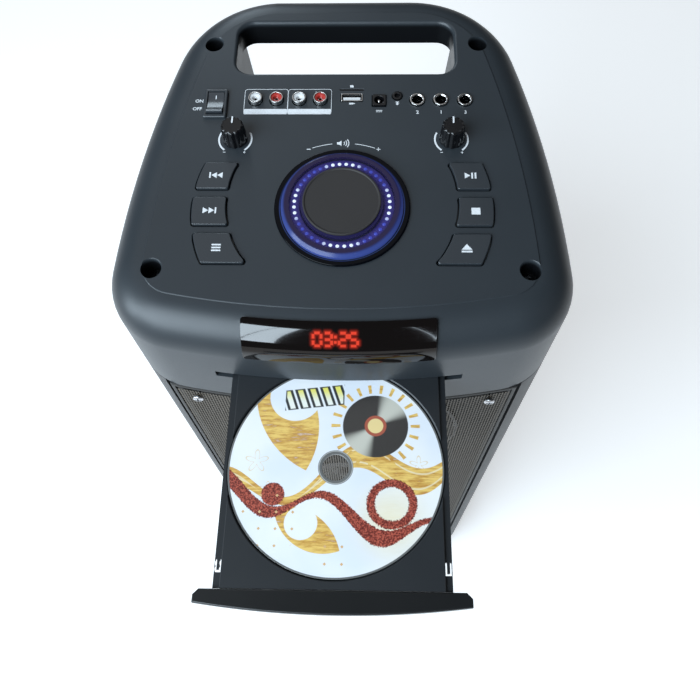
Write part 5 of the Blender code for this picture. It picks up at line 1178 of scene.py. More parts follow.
@dataclass
class TopHousing:
    """The moulded top: panel, rolled rim, handle, display window and tray slot."""

    slot_half: float = 0.0685
    slot_front: float = 0.1841
    slot_rear: float = 0.2250
    bar_bottom_z: float = 0.6225
    pocket_half: float = 0.074
    pocket_front: float = 0.181
    pocket_floor_z: float = 0.562
    well_radius: float = 0.00575
    well_depth: float = 0.014
    boss_radius: float = 0.0076
    boss_depth: float = 0.020
    screws: tuple[tuple[str, Point2], ...] = (
        ("front_left", (-0.1053, 0.0467)),
        ("front_right", (0.1053, 0.0467)),
        ("rear_left", (-0.0838, 0.2078)),
        ("rear_right", (0.0838, 0.2078)),
    )
    lip: float = 0.0022
    round_edge: float = 0.0003
    square_edge: float = 0.0002
    well_edge: float = 0.0007

    def pocket(self, wall: float) -> bmesh.types.BMesh:
        """The hand pocket under the bar, grown by wall."""
        low = rectangle(
            self.pocket_half - 0.004 + wall, 0.060 + wall, 0.012, (0, self.pocket_front + 0.064), 8
        )
        high = rectangle(self.pocket_half + wall, 0.060 + wall, 0.012, (0, self.pocket_front + 0.060), 8)
        return loft([level(low, self.pocket_floor_z - wall), level(high, self.bar_bottom_z + wall)])

    def slot(self, wall: float, lip: float) -> bmesh.types.BMesh:
        """The upright slot in front of the bar, with a rounded lip where it meets the panel."""
        half_y = (self.slot_rear - self.slot_front) / 2
        middle = (0.0, (self.slot_rear + self.slot_front) / 2)

        def outline(grow: float) -> list[Point2]:
            """The slot's outline, grown."""
            return rectangle(self.slot_half + grow, half_y + grow, 0.010 + grow, middle, 8)

        rings = [level(outline(wall), self.bar_bottom_z - 0.010)]
        if lip:
            for flat, upright in quarter(6):
                rings.append([(x, y, FORM.panel_z(y) - lip * upright) for x, y in outline(lip * flat)])
        rings.append(level(outline(wall + lip), PANEL_FRONT_Z + 0.050))
        return loft(rings)

    def hole(self, outline: Sequence[Point2], eased: Sequence[Point2], place: Matrix, edge: float) -> Cut:
        """A hole through the panel, with its edge eased."""
        rings = [level(outline, -0.010), level(outline, -edge), level(eased, 0.0), level(eased, 0.004)]
        return Cut(loft(rings), place)

    def panel_holes(self) -> list[Cut]:
        """A hole for every control and socket."""
        cuts = []
        for x, y, radius in ROUND_HOLES:
            pair = [circle(radius + grow, 32) for grow in (0.0, self.round_edge)]
            cuts.append(self.hole(*pair, panel_place((x, y)), self.round_edge))
        for x, y, half_x, half_y in SQUARE_HOLES:
            pair = [
                rectangle(half_x + grow, half_y + grow, 0.0004 + grow) for grow in (0.0, self.square_edge)
            ]
            cuts.append(self.hole(*pair, panel_place((x, y)), self.square_edge))
        for row in range(3):
            for side in Side:
                pair = [KEYPAD.outline(row, side, 0.0007 + grow) for grow in (0.0, self.round_edge)]
                cuts.append(self.hole(*pair, PANEL, self.round_edge))
        return cuts

    def build(self) -> None:
        """Makes the housing and its screws."""
        foot = [level(FORM.outline(0.0004), FORM.seam_z), level(FORM.outline(), FORM.seam_z + 0.0005)]
        outer = foot + FORM.rim_rings(0.0, FORM.rim_step, 12)
        inset = FORM.rim + FORM.rim_ledge
        outer.append(FORM.ring(inset - 0.0004, 0.00011))
        outer.append(FORM.ring(inset, 0.0))
        inner = [level(FORM.outline(FORM.wall, 2), FORM.seam_z - 0.010)]
        inner += FORM.rim_rings(FORM.wall, 0.0, 5, 2)
        cavity = thing("tool_cavity", loft(inner), MACHINE)
        walls = [Cut(self.pocket(FORM.wall)), Cut(self.slot(FORM.wall, 0.0))]
        for _, place in self.screws:
            boss = prism(circle(self.boss_radius, 32), -self.boss_depth, 0.010)
            walls.append(Cut(boss, panel_place(place)))
        carve(cavity, walls)
        hollow = bmesh.new()
        hollow.from_mesh(cavity.data)
        bpy.data.objects.remove(cavity)
        cuts = [Cut(hollow, Matrix.Identity(4)), Cut(self.pocket(0.0)), Cut(self.slot(0.0, self.lip))]
        radius, wide, floor = self.well_radius, self.well_radius + self.well_edge, -self.well_depth
        well = [(0.0, 0.010), (wide, 0.010), (wide, 0.0), (radius + 0.0002, -0.0005), (radius, -0.0012)]
        well += [(radius, floor), (0.0023, floor), (0.0023, -0.030), (0.0, -0.030)]
        cuts += [Cut(turned(well, 40), panel_place(place)) for _, place in self.screws]
        cuts.append(Cut(DISPLAY.band(GAP, 0.006, 0.010, 20, 10, DISPLAY.corner + GAP)))
        slot_x, slot_z = TRAY.door_half + 0.0005, 0.0005
        low = (TRAY.tray_x - slot_x, -0.010, TRAY.bottom_z - slot_z)
        high = (TRAY.tray_x + slot_x, 0.030, TRAY.bottom_z + TRAY.door_height + slot_z)
        cuts.append(Cut(box(low, high)))
        cuts += self.panel_holes()
        # The shell's finish paints shade, nearly black, on the walls of the handle's slot and of the screw
        # wells.
        plain = Finishes.housing
        shift = MACHINE.translation
        finish = HousingPlasticWithPaintedShade(
            "housing_shell_plastic_painted_shade", plain.slot, plain.colour, plain.roughness,
            slot_x=self.slot_half, slot_y=(self.slot_front + shift.y, self.slot_rear + shift.y),
            panel=(FORM.panel_z(-shift.y) + shift.z, math.tan(PANEL_TILT)),
            wells=tuple(tuple(panel_place(spot).translation.xy) for _, spot in self.screws),
            well_radius=self.well_radius,
        )
        Make(finish, nodes=("top_housing",), cuts=tuple(cuts), sharp=32.0).piece("housing_shell", loft(outer))
        for name, place in self.screws:
            at = panel_place(place, -self.well_depth + GAP)
            Screw(0.0045, 0.0030, 0.0020, 0.018).build(
                f"screw_{name}", at, f"housing_screw_{name}", Finishes.black_zinc
            )


class Side(Enum):
    """The two sides of the panel."""

    LEFT = -1
    RIGHT = 1


class Mark(Enum):
    """The printed signs on the keys."""

    PREVIOUS = "previous"
    NEXT = "next"
    MODE = "mode"
    PLAY_PAUSE = "play_pause"
    STOP = "stop"
    EJECT = "eject"

    def polygons(self) -> list[list[Point2]]:
        """The sign's outlines, in millimetres round its middle."""
        def point(x: float, way: float) -> list[Point2]:
            """A triangle that points left or right."""
            return [(x, -2.0), (x + 3.2 * way, 0.0), (x, 2.0)]

        def bar(x: float, wide: float = 0.9, half: float = 2.0) -> list[Point2]:
            """An upright bar."""
            return [(x, -half), (x + wide, -half), (x + wide, half), (x, half)]

        def block(half: float, low: float, high: float) -> list[Point2]:
            """A block across the middle."""
            return [(-half, low), (half, low), (half, high), (-half, high)]

        drawn = {
            Mark.PREVIOUS: [bar(-4.1), point(0.3, -1), point(3.7, -1)],
            Mark.NEXT: [point(-3.7, 1), point(-0.3, 1), bar(3.2)],
            Mark.MODE: [block(2.6, y, y + 0.95) for y in (-2.3, -0.5, 1.3)],
            Mark.PLAY_PAUSE: [point(-3.3, 1), bar(0.5, 1.0), bar(2.4, 1.0)],
            Mark.STOP: [block(2.5, -2.2, 2.2)],
            Mark.EJECT: [[(-3.0, -0.7), (3.0, -0.7), (0.0, 2.9)], block(3.0, -2.4, -1.3)],
        }
        return drawn[self]


@dataclass(frozen=True)
class Printing:
    """Screen printing: flat signs that stand a hair above what they are printed on."""

    thickness: float = 0.00005
    sunk: float = 0.00003

    def slab(self, outline: Sequence[Point2]) -> bmesh.types.BMesh:
        """One closed printed area."""
        return prism(outline, -self.sunk, self.thickness)

    def band(self, outer: Sequence[Point2], inner: Sequence[Point2]) -> bmesh.types.BMesh:
        """A printed line between two outlines of as many points."""
        low, high = -self.sunk, self.thickness
        rings = [level(outer, low), level(outer, high), level(inner, high), level(inner, low)]
        return loft(rings, capped=False)

    def minus_plus(
        self, half: float, thin: float, minus: Point2, plus: Point2
    ) -> list[tuple[bmesh.types.BMesh, Matrix]]:
        """A minus at one place and a plus at another.

        Args:
            half: Half the length of a bar.
            thin: Half its width.
            minus: The middle of the minus.
            plus: The middle of the plus.

        Returns:
            The printed bars, to be merged.
        """
        bars = (
            rectangle(half, thin, 0, minus), rectangle(half, thin, 0, plus), rectangle(thin, half, 0, plus)
        )
        return [(self.slab(bar), Matrix()) for bar in bars]

    def stroke(self, path: Sequence[Point2], width: float) -> bmesh.types.BMesh:
        """A printed line along a path."""
        left, right = [], []
        for i, here in enumerate(path):
            before = Vector(path[max(i - 1, 0)])
            after = Vector(path[min(i + 1, len(path) - 1)])
            along = (after - before).normalized()
            aside = Vector((-along.y, along.x)) * width / 2
            left.append(tuple(Vector(here) + aside))
            right.append(tuple(Vector(here) - aside))
        return self.slab(right + left[::-1])

    def letters(self, text: str, size: float, bold: float = 0.00006) -> bmesh.types.BMesh:
        """Figures or ON and OFF, centred on the origin."""
        curve = bpy.data.curves.new("figures", "FONT")
        curve.body = text
        curve.size = size
        curve.align_x = "CENTER"
        curve.align_y = "CENTER"
        curve.extrude = (self.thickness + self.sunk) / 2
        curve.offset = bold
        curve.resolution_u = 4
        holder = bpy.data.objects.new("figures", curve)
        bpy.context.scene.collection.objects.link(holder)
        bpy.context.view_layer.update()
        mesh = bpy.data.meshes.new_from_object(holder.evaluated_get(bpy.context.evaluated_depsgraph_get()))
        shape = bmesh.new()
        shape.from_mesh(mesh)
        bpy.data.objects.remove(holder)
        bpy.data.curves.remove(curve)
        bpy.data.meshes.remove(mesh)
        return shape


PRINT = Printing()


@dataclass(frozen=True)
class Keypad:
    """Six keys in two columns that curve round the dial."""

    outer_radius: float = 0.0864
    inner_radius: float = 0.0670
    inner_rise: float = 0.0040
    rows: tuple[Point2, ...] = ((0.0983, 0.1163), (0.0741, 0.0926), (0.0497, 0.0686))
    corner: float = 0.0012
    proud: float = 0.0013
    edge: float = 0.0006
    stem_share: float = 0.35
    stem_low: float = -0.0092
    flange: float = 0.0010
    flange_low: float = -0.0043
    flange_high: float = -0.0033

    def outline(self, row: int, side: "Side", grow: float = 0.0) -> list[Point2]:
        """A key's outline in the panel's frame, grown all round."""
        low, high = self.rows[row]
        low -= grow
        high += grow
        cx, cy = DIAL.centre

        def curve(radius: float, rise: float, start: float, end: float) -> list[Point2]:
            """Points on a circle round the dial's middle raised by rise, between two heights."""
            heights = [start + (end - start) * i / 8 for i in range(9)]
            return [(math.sqrt(radius**2 - (y - cy - rise) ** 2), y) for y in heights]

        outer = curve(self.outer_radius + grow, 0.0, low, high)
        inner = curve(self.inner_radius - grow, self.inner_rise, high, low)
        corners = [outer[0], outer[-1], inner[0], inner[-1]]
        soft = rounded(corners, self.corner + grow, 5)
        bend = len(soft) // 4
        points = soft[:bend] + outer[2:-2] + soft[bend : 3 * bend] + inner[2:-2] + soft[3 * bend :]
        if side is Side.LEFT:
            points = mirrored(points)
        return [(cx + x, y / math.cos(PANEL_TILT)) for x, y in points]

    def middle(self, row: int, side: "Side") -> Vector:
        """The middle of a key."""
        points = self.outline(row, side)
        return Vector((sum(x for x, _ in points), sum(y for _, y in points))) / len(points)

    def build(self) -> None:
        """Makes the keys and the signs on them."""
        marks = ((Mark.PREVIOUS, Mark.PLAY_PAUSE), (Mark.NEXT, Mark.STOP), (Mark.MODE, Mark.EJECT))
        for row, pair in enumerate(marks):
            for mark, side in zip(pair, Side):
                middle = self.middle(row, side)
                body = f"button_{mark.value}"
                shape = [Vector(point) - middle for point in self.outline(row, side)]
                stem = [p * self.stem_share for p in shape]
                flange = [p * (1 + self.flange / p.length) for p in shape]
                rings = [level(stem, self.stem_low), level(stem, self.flange_low)]
                rings += [level(flange, self.flange_low), level(flange, self.flange_high)]
                rings.append(level(shape, self.flange_high))
                for flat, upright in quarter(4):
                    drawn = [p * (1 - self.edge * flat / p.length) for p in shape]
                    rings.append(level(drawn, self.proud - self.edge * upright))
                place = PANEL @ Matrix.Translation((*middle, 0))
                Make(Finishes.keys, body, place, (body,)).piece(f"key_{mark.value}", loft(rings))
                top = place @ Matrix.Translation((0, 0, self.proud))
                outlines = ([(x / 1000, y / 1000) for x, y in part] for part in mark.polygons())
                signs = [(PRINT.slab(outline), Matrix()) for outline in outlines]
                Make(Finishes.ink, body, top).piece(f"sign_{mark.value}", merged(signs))


@dataclass(frozen=True)
class VolumeDial:
    """The clear dial over its ring of lamps, with its bezel and cap."""

    centre: Point2 = (0.0005, 0.0866)
    radius: float = 0.0350
    top: float = 0.0050
    skin: float = 0.0014
    lift: float = 0.0008
    cap_radius: float = 0.0223
    cap_height: float = 0.0020
    bezel_radius: float = 0.03915
    bezel_height: float = 0.0016
    bezel_gap: float = 0.0006
    hub_radius: float = 0.0065
    hub_bore: float = 0.0033
    stem_radius: float = 0.003
    stem_length: float = 0.0085
    ring_inner: float = 0.0243
    ring_outer: float = 0.0300
    ring_height: float = 0.0029
    lamp_radius: float = 0.0273
    lamps: int = 44
    lamp_size: float = 0.00105
    round_steps: int = 128

    def build(self) -> None:
        """Makes the dial's pieces from the panel up."""
        place = panel_place(self.centre)
        at = place.translation
        gap_radius = self.radius + self.bezel_gap
        bezel = [(gap_radius, GAP), (self.bezel_radius, GAP), (self.bezel_radius - 0.0005, self.bezel_height)]
        bezel.append((gap_radius, self.bezel_height))
        finish = LitBezel("bezel_gloss_lit", "knob_plastic", (at.x, at.y), gap_radius)
        make = Make(finish, place=place, nodes=("volume_bezel",))
        make.piece("dial_bezel", turned(softened(bezel, 0.0006, 4), self.round_steps))

        floor = LampFloor("lamp_reflector", "led_ring", (at.x, at.y), self.lamp_radius)
        high = self.ring_height
        ring = [
            (self.ring_inner, GAP), (self.ring_outer, GAP), (self.ring_outer, high), (self.ring_inner, high)
        ]
        make = Make(floor, place=place, nodes=("led_ring",))
        make.piece("lamp_ring", turned(softened(ring, 0.0003, 2), self.round_steps))

        glow = LampGlow("lamp_lenses", "led_ring", (at.x, at.y))
        dots = []
        size = self.lamp_size
        dome = [
            (0.0, size * 0.55), (size * 0.5, size * 0.47), (size * 0.87, size * 0.25), (size, 0.0),
            (size, -0.0004), (0.0, -0.0004)
        ]
        for i in range(self.lamps):
            angle = 2 * math.pi * (i + 0.5) / self.lamps
            at_lamp = (self.lamp_radius * math.cos(angle), self.lamp_radius * math.sin(angle), high)
            dots.append((turned(dome, 16), Matrix.Translation(at_lamp)))
        Make(glow, place=place).piece("lamp_dots", merged(dots))

        glass = DialGlass("dial_glass", "clear_dial", (at.x, at.y))
        under = self.top - self.skin
        dial = [
            (self.hub_bore, self.top),
            (self.radius - 0.0020, self.top),
            (self.radius, self.top - 0.0020),
            (self.radius, self.lift),
            (self.radius - 0.0022, self.lift),
            (self.radius - 0.0022, under),
            (self.hub_radius, under),
            (self.hub_radius, self.lift),
            (self.hub_bore, self.lift),
        ]
        make = Make(glass, "volume_dial", place, ("volume_dial",))
        make.piece("dial_body", turned(softened(dial, 0.0008, 5), self.round_steps))

        crown = self.top + self.cap_height
        edge = self.cap_radius
        cap = [(0.0, crown - 0.0004), (edge - 0.0014, crown - 0.0004), (edge - 0.0009, crown), (edge, crown)]
        stem, foot = self.stem_radius, -self.stem_length
        cap += [(edge, self.top + GAP), (stem, self.top + GAP), (stem, foot), (0.0, foot)]
        make = Make(Finishes.cap, "volume_dial", place, ("dial_cap",))
        make.piece("dial_centre_cap", turned(softened(cap, 0.0004, 4), self.round_steps))


@dataclass(frozen=True)
class SmallKnobs:
    """The two fluted knobs above the keys, with the printed scale round each."""

    x: float = 0.0645
    y: float = 0.1337
    radius: float = 0.0075
    height: float = 0.0130
    flutes: int = 12
    scale_radius: float = 0.0097

    def ring(self, scale: float, z: float) -> list[Point3]:
        """The fluted outline at one height."""
        ring = []
        count = self.flutes * 12
        for i in range(count):
            angle = 2 * math.pi * i / count
            dip = 0.00055 * (0.5 - 0.5 * math.cos(self.flutes * angle)) ** 1.5
            radius = (self.radius - dip) * scale
            ring.append((radius * math.cos(angle), radius * math.sin(angle), z))
        return ring

    def build(self) -> None:
        """Makes both knobs, their pointers and their scales."""
        top = self.height
        for node, side in (("echo_knob", Side.LEFT), ("mic_volume_knob", Side.RIGHT)):
            place = panel_place((side.value * self.x, self.y))
            rings = [self.ring(1.0, 0.0008), self.ring(0.995, 0.0030), self.ring(0.90, top - 0.0016)]
            rings += [self.ring(0.885, top - 0.0008), self.ring(0.85, top - 0.0003), self.ring(0.78, top)]
            rings += [self.ring(0.70, top - 0.0002)]
            Make(Finishes.knob, node, place, (node,), sharp=50.0).piece(f"{node}_grip", loft(rings))
            line = rectangle(0.00045, 0.0022, 0.0003, (0, self.radius * 0.52), 3)
            above = place @ Matrix.Translation((0, 0, top))
            Make(Finishes.ink, node, above).piece(f"{node}_pointer", prism(line, -0.0003, 0.0002))
            self.scale(node, place)

    def scale(self, name: str, place: Matrix) -> None:
        """The printed arcs, with minus and plus at their ends."""
        radius = self.scale_radius
        parts = []
        for start, end in ((math.radians(150), math.radians(232)), (math.radians(-52), math.radians(30))):
            outer = arc((0, 0), radius + 0.0006, start, end, 24)
            inner = arc((0, 0), radius - 0.0004, end, start, 24)
            parts.append((PRINT.slab(outer + inner), Matrix()))
        low = -radius * 0.96
        parts += PRINT.minus_plus(0.0007, 0.00018, (-radius * 0.62, low), (radius * 0.62, low))
        Make(Finishes.ink, place=place).piece(f"{name}_scale", merged(parts))


@dataclass(frozen=True)
class PowerSwitch:
    """The power rocker in its bezel, with ON and OFF beside it."""

    centre: Point2 = (-0.0784, 0.1593)
    bezel: Point2 = (0.0143, 0.0210)
    opening: Point2 = (0.0106, 0.0174)
    tilt: float = math.radians(9.0)

    def build(self) -> None:
        """Makes the bezel, the rocker and the printing."""
        half_x, half_y = self.bezel[0] / 2, self.bezel[1] / 2
        place = panel_place(self.centre)
        body = rectangle(half_x - 0.0011, half_y - 0.0011, 0.0004)
        wide = rectangle(half_x, half_y, 0.0012)
        rings = [level(body, -0.0125), level(body, GAP), level(wide, GAP), level(wide, 0.0012)]
        for draw, height in ((0.0001, 0.0016), (0.0004, 0.0019), (0.0008, 0.0020)):
            rings.append(level(rectangle(half_x - draw, half_y - draw, 0.0012 - draw), height))
        pocket = prism(rectangle(self.opening[0] / 2, self.opening[1] / 2, 0.0003), -0.0110, 0.010)
        make = Make(Finishes.keys, place=place, nodes=("power_switch_frame",), cuts=(Cut(pocket, place),))
        make.piece("switch_bezel", loft(rings))

        reach = self.opening[1] / 2 - 0.0005
        width = self.opening[0] / 2 - 0.0003
        crest, saddle = 0.0022, 0.0004
        section = [(-0.0040, -0.0085), (-reach, 0.0)]
        for i in range(13):
            y = -reach + 2 * reach * i / 12
            drop = 0.0 if 0 < i < 12 else -0.0003
            section.append((y, saddle + (crest - saddle) * (y / reach) ** 2 + drop))
        section += [(reach, 0.0), (0.0040, -0.0085)]
        shape = loft([[(x, y, z) for y, z in section] for x in (-width, width)])
        at = place @ Matrix.Translation((0, 0, 0.0010)) @ Matrix.Rotation(-self.tilt, 4, "X")
        Make(Finishes.rocker, "power_rocker", at, ("power_rocker",), bevel=0.0003).piece("rocker", shape)
        upper = at @ Matrix.Translation((0, reach * 0.55, saddle + (crest - saddle) * 0.30 + 0.00006))
        upper = upper @ Matrix.Rotation(math.radians(13.0), 4, "X")
        sign = PRINT.slab(rectangle(0.00025, 0.0013))
        Make(Finishes.ink, "power_rocker", upper).piece("rocker_sign", sign)

        words = []
        left = -half_x - 0.0014
        for text, x, y in (("ON", left - 0.0019, 0.0028), ("OFF", left - 0.0027, -0.0031)):
            words.append((PRINT.letters(text, 0.0032), Matrix.Translation((x, y, 0))))
        Make(Finishes.ink, place=place).piece("switch_printing", merged(words))


@dataclass(frozen=True)
class Sockets:
    """The row of sockets behind the dial, and the printing round them."""

    row_y: float = 0.1628
    phono_x: tuple[float, ...] = (-0.0542, -0.0413, -0.0274, -0.0145)
    phono_radius: float = 0.00415
    phono_wall: float = 0.0007
    phono_top: float = 0.0030
    phono_bore: float = 0.00375
    phono_block: Point2 = (0.0053, 0.0055)
    jack_block: Point2 = (0.0062, 0.0068)
    usb: Point2 = (0.0048, 0.1647)
    usb_size: Point2 = (0.0131, 0.0057)
    card: Point2 = (0.0047, 0.1708)
    card_size: Point2 = (0.0150, 0.0013)
    supply: Point2 = (0.0215, 0.1623)
    supply_size: float = 0.0083
    aux: Point2 = (0.0326, 0.1660)
    aux_radius: float = 0.0030
    aux_bore: float = 0.00176
    jack_x: tuple[float, ...] = (0.0447, 0.0590, 0.0737)
    jack_radius: float = 0.0045
    jack_bore: float = 0.0032
    deep: float = -0.0130
    board_top: float = -0.0144
    under: float = -0.0033

    def block(self, name: str, node: str, xs: Sequence[float], half: Point2, bore: float) -> None:
        """The moulded block under the panel that holds a few sockets."""
        middle = (xs[0] + xs[-1]) / 2
        reach = (xs[-1] - xs[0]) / 2 + half[0]
        place = panel_place((middle, self.row_y))
        cuts = [Cut(prism(circle(bore, 24), self.deep, 0.01), panel_place((x, self.row_y))) for x in xs]
        shape = prism(rectangle(reach, half[1], 0.0005), self.board_top + GAP, self.under)
        Make(Finishes.knob, place=place, nodes=(node,), cuts=tuple(cuts)).piece(name, shape)

    def phono(self, index: int, x: float) -> None:
        """One phono socket: plated shell, coloured insulator and centre contact."""
        place = panel_place((x, self.row_y))
        radius, low = self.phono_radius, self.under - 0.002
        hollow, top = radius - self.phono_wall, self.phono_top
        shell = [(radius, low), (radius, top), (hollow, top), (hollow, low)]
        make = Make(Finishes.nickel, place=place)
        make.piece(f"phono_shell_{index}", turned(softened(shell, 0.0002, 3), 48))
        finish = Finishes.white_ring if index % 2 else Finishes.red_ring
        insert = [
            (radius - 0.00075, low), (radius - 0.00075, 0.0024), (0.0019, 0.0021), (0.0016, 0.0014),
            (0.0016, low)
        ]
        Make(finish, place=place).piece(f"phono_insulator_{index}", turned(softened(insert, 0.0002, 2), 48))
        contact = [(0.0016, -0.0060), (0.0016, 0.0006), (0.0009, 0.0006), (0.0009, -0.0060)]
        Make(Finishes.nickel, place=place).piece(f"phono_contact_{index}", turned(contact, 24))

    def jack(self, index: int, x: float) -> None:
        """One microphone jack: a plated nut round a dark bore."""
        place = panel_place((x, self.row_y))
        radius, bore, low = self.jack_radius, self.jack_bore, self.under - 0.001
        collar = [(radius, low), (radius, 0.0011), (bore + 0.0004, 0.0011), (bore, 0.0006), (bore, low)]
        make = Make(Finishes.nickel, place=place)
        make.piece(f"jack_collar_{index}", turned(softened(collar, 0.00025, 4), 56))

    def build(self) -> None:
        """Makes every socket and then the printing."""
        for i, (side, pair) in enumerate((("left", self.phono_x[:2]), ("right", self.phono_x[2:]))):
            self.block(f"phono_block_{side}", f"rca_sockets_{side}", pair, self.phono_block, self.phono_bore)
            for j, x in enumerate(pair):
                self.phono(2 * i + j + 1, x)
        self.block("jack_block", "microphone_jacks", self.jack_x, self.jack_block, self.jack_bore)
        for i, x in enumerate(self.jack_x):
            self.jack(i + 1, x)
        self.usb_port()
        self.supply_inlet()
        self.small_parts()
        self.printing()

    def usb_port(self) -> None:
        """The plated shell of the USB port with its tongue and springs."""
        place = panel_place(self.usb)
        half_x, half_y = self.usb_size[0] / 2, self.usb_size[1] / 2
        inner = prism(rectangle(half_x - 0.0005, half_y - 0.0005, 0.0003, (0, 0), 3), self.deep, 0.010)
        shell = prism(rectangle(half_x, half_y, 0.0007, (0, 0), 4), self.board_top + GAP, 0.0004)
        make = Make(
            Finishes.nickel, place=place, nodes=("usb_socket",), cuts=(Cut(inner, place),), bevel=0.00012
        )
        make.piece("usb_shell", shell)
        # Painted shade: a near-black sleeve over the shell's inner walls, below the mouth of the port.
        painted_shade_sleeve = prism(
            rectangle(half_x - 0.00052, half_y - 0.00052, 0.0003, (0, 0), 3), self.deep - 0.0002, -0.0008
        )
        hollow = prism(
            rectangle(half_x - 0.0008, half_y - 0.0008, 0.0002, (0, 0), 3), self.deep + 0.0010, 0.010
        )
        Make(Finishes.dark, place=place, cuts=(Cut(hollow, place),)).piece("usb_painted_shade_sleeve", painted_shade_sleeve)
        tongue = prism(
            rectangle(half_x - 0.0013, 0.0009, 0.0002, (0, -0.0005), 2), self.deep + 0.0008, -0.0002
        )
        Make(Finishes.white_ring, place=place, bevel=0.0001).piece("usb_tongue", tongue)
        pads = []
        for x in (-0.0036, -0.0012, 0.0012, 0.0036):
            pads.append(
                (prism(rectangle(0.0005, 0.00012, 0, (x, 0.00052)), self.deep + 0.0009, -0.0004), Matrix())
            )
        Make(Finishes.nickel, place=place).piece("usb_contacts", merged(pads))

    def supply_inlet(self) -> None:
        """The square supply inlet with its centre pin."""
        place = panel_place(self.supply)
        half = self.supply_size / 2
        body = prism(rectangle(half, half, 0.0008), self.board_top + GAP, 0.0010)
        hollow = [(0.0, 0.010), (0.0029, 0.010), (0.0029, 0.0007), (0.0027, 0.0004), (0.0027, -0.009)]
        bore = turned(hollow + [(0.0, -0.009)], 40)
        make = Make(Finishes.knob, place=place, nodes=("dc_socket",), cuts=(Cut(bore, place),), bevel=0.00025)
        make.piece("supply_inlet", body)
        pin = [(0.0, 0.0002), (0.0007, 0.0001), (0.0011, -0.0004), (0.0011, -0.0090), (0.0, -0.0090)]
        Make(Finishes.nickel, place=place).piece("supply_pin", turned(pin, 24))

    def small_parts(self) -> None:
        """The small jack's collar and the card slot's frame."""
        place = panel_place(self.aux)
        radius, bore = self.aux_radius, self.aux_bore
        radius += 0.00004
        bore -= 0.00012
        collar = [
            (radius, -0.0042), (radius, 0.00055), (bore + 0.00012, 0.00055), (bore, 0.00048), (bore, -0.0042)
        ]
        Make(Finishes.knob, place=place).piece("aux_collar", turned(softened(collar, 0.00004, 2), 40))
        # Painted shade: a near-black plug in the bore stands in for the dark depth of the hole.
        Make(Finishes.dark, place=place).piece(
            "aux_bore_painted_shade", prism(circle(bore + 0.00004, 40), -0.0042, -0.0014)
        )
        half_x, half_y = self.card_size[0] / 2 - 0.0001, self.card_size[1] / 2 - 0.0001
        frame_place = panel_place(self.card)
        opening = prism(rectangle(half_x - 0.0006, half_y - 0.0003), -0.02, 0.01)
        shape = prism(rectangle(half_x, half_y, 0.0003), -0.0032, -0.0002)
        make = Make(Finishes.knob, place=frame_place, cuts=(Cut(opening, frame_place),))
        make.piece("card_slot_frame", shape)

    def printing(self) -> None:
        """White frames round the phono pairs, figures by the jacks and plain signs by the rest."""
        parts = []
        base = panel_place((0.0, self.row_y))

        def add(shape: bmesh.types.BMesh, x: float = 0.0, y: float = 0.0) -> None:
            """Adds a printed part at a place on the row."""
            parts.append((shape, Matrix.Translation((x, y, 0))))

        for pair in (self.phono_x[:2], self.phono_x[2:]):
            middle = (pair[0] + pair[1]) / 2
            outer = rectangle(0.01345, 0.0096, 0.0019, (middle, -0.0011))
            inner = rectangle(0.01315, 0.0093, 0.0016, (middle, -0.0011))
            add(PRINT.band(outer, inner))
            add(PRINT.slab(rectangle(0.0133, 0.0020, 0.0009, (middle, -0.0087))))
        for number, x in zip("213", self.jack_x):
            add(PRINT.letters(number, 0.0034), x, -0.0092)
        dash = rectangle(0.0019, 0.00022)
        at = (self.supply[0], -0.0083)
        add(PRINT.slab(dash), at[0], at[1] + 0.0005)
        for shift in (-0.0013, 0.0, 0.0013):
            add(PRINT.slab(rectangle(0.00042, 0.00022)), at[0] + shift, at[1] - 0.0005)
        arrow = [
            (-0.0011, 0.0009), (-0.0004, 0.0009), (-0.0004, 0.0), (-0.0011, 0.0), (0.0, -0.0013),
            (0.0011, 0.0), (0.0004, 0.0)
        ]
        arrow += [(0.0004, 0.0009), (0.0011, 0.0009), (0.0011, 0.0014), (-0.0011, 0.0014)]
        add(PRINT.slab(arrow), self.aux[0], -0.0026)
        plug = [
            (-0.0016, -0.0006), (0.0009, -0.0006), (0.0009, -0.0003), (0.0019, -0.0003), (0.0019, 0.0003),
            (0.0009, 0.0003)
        ]
        plug += [(0.0009, 0.0006), (-0.0016, 0.0006)]
        add(PRINT.slab(plug), self.usb[0], -0.0026)
        sheet = [(-0.0011, -0.0008), (0.0011, -0.0008), (0.0011, 0.0004), (0.0006, 0.0009), (-0.0011, 0.0009)]
        add(PRINT.slab(sheet), self.card[0], 0.0106)
        Make(Finishes.ink, place=base).piece("socket_printing", merged(parts))


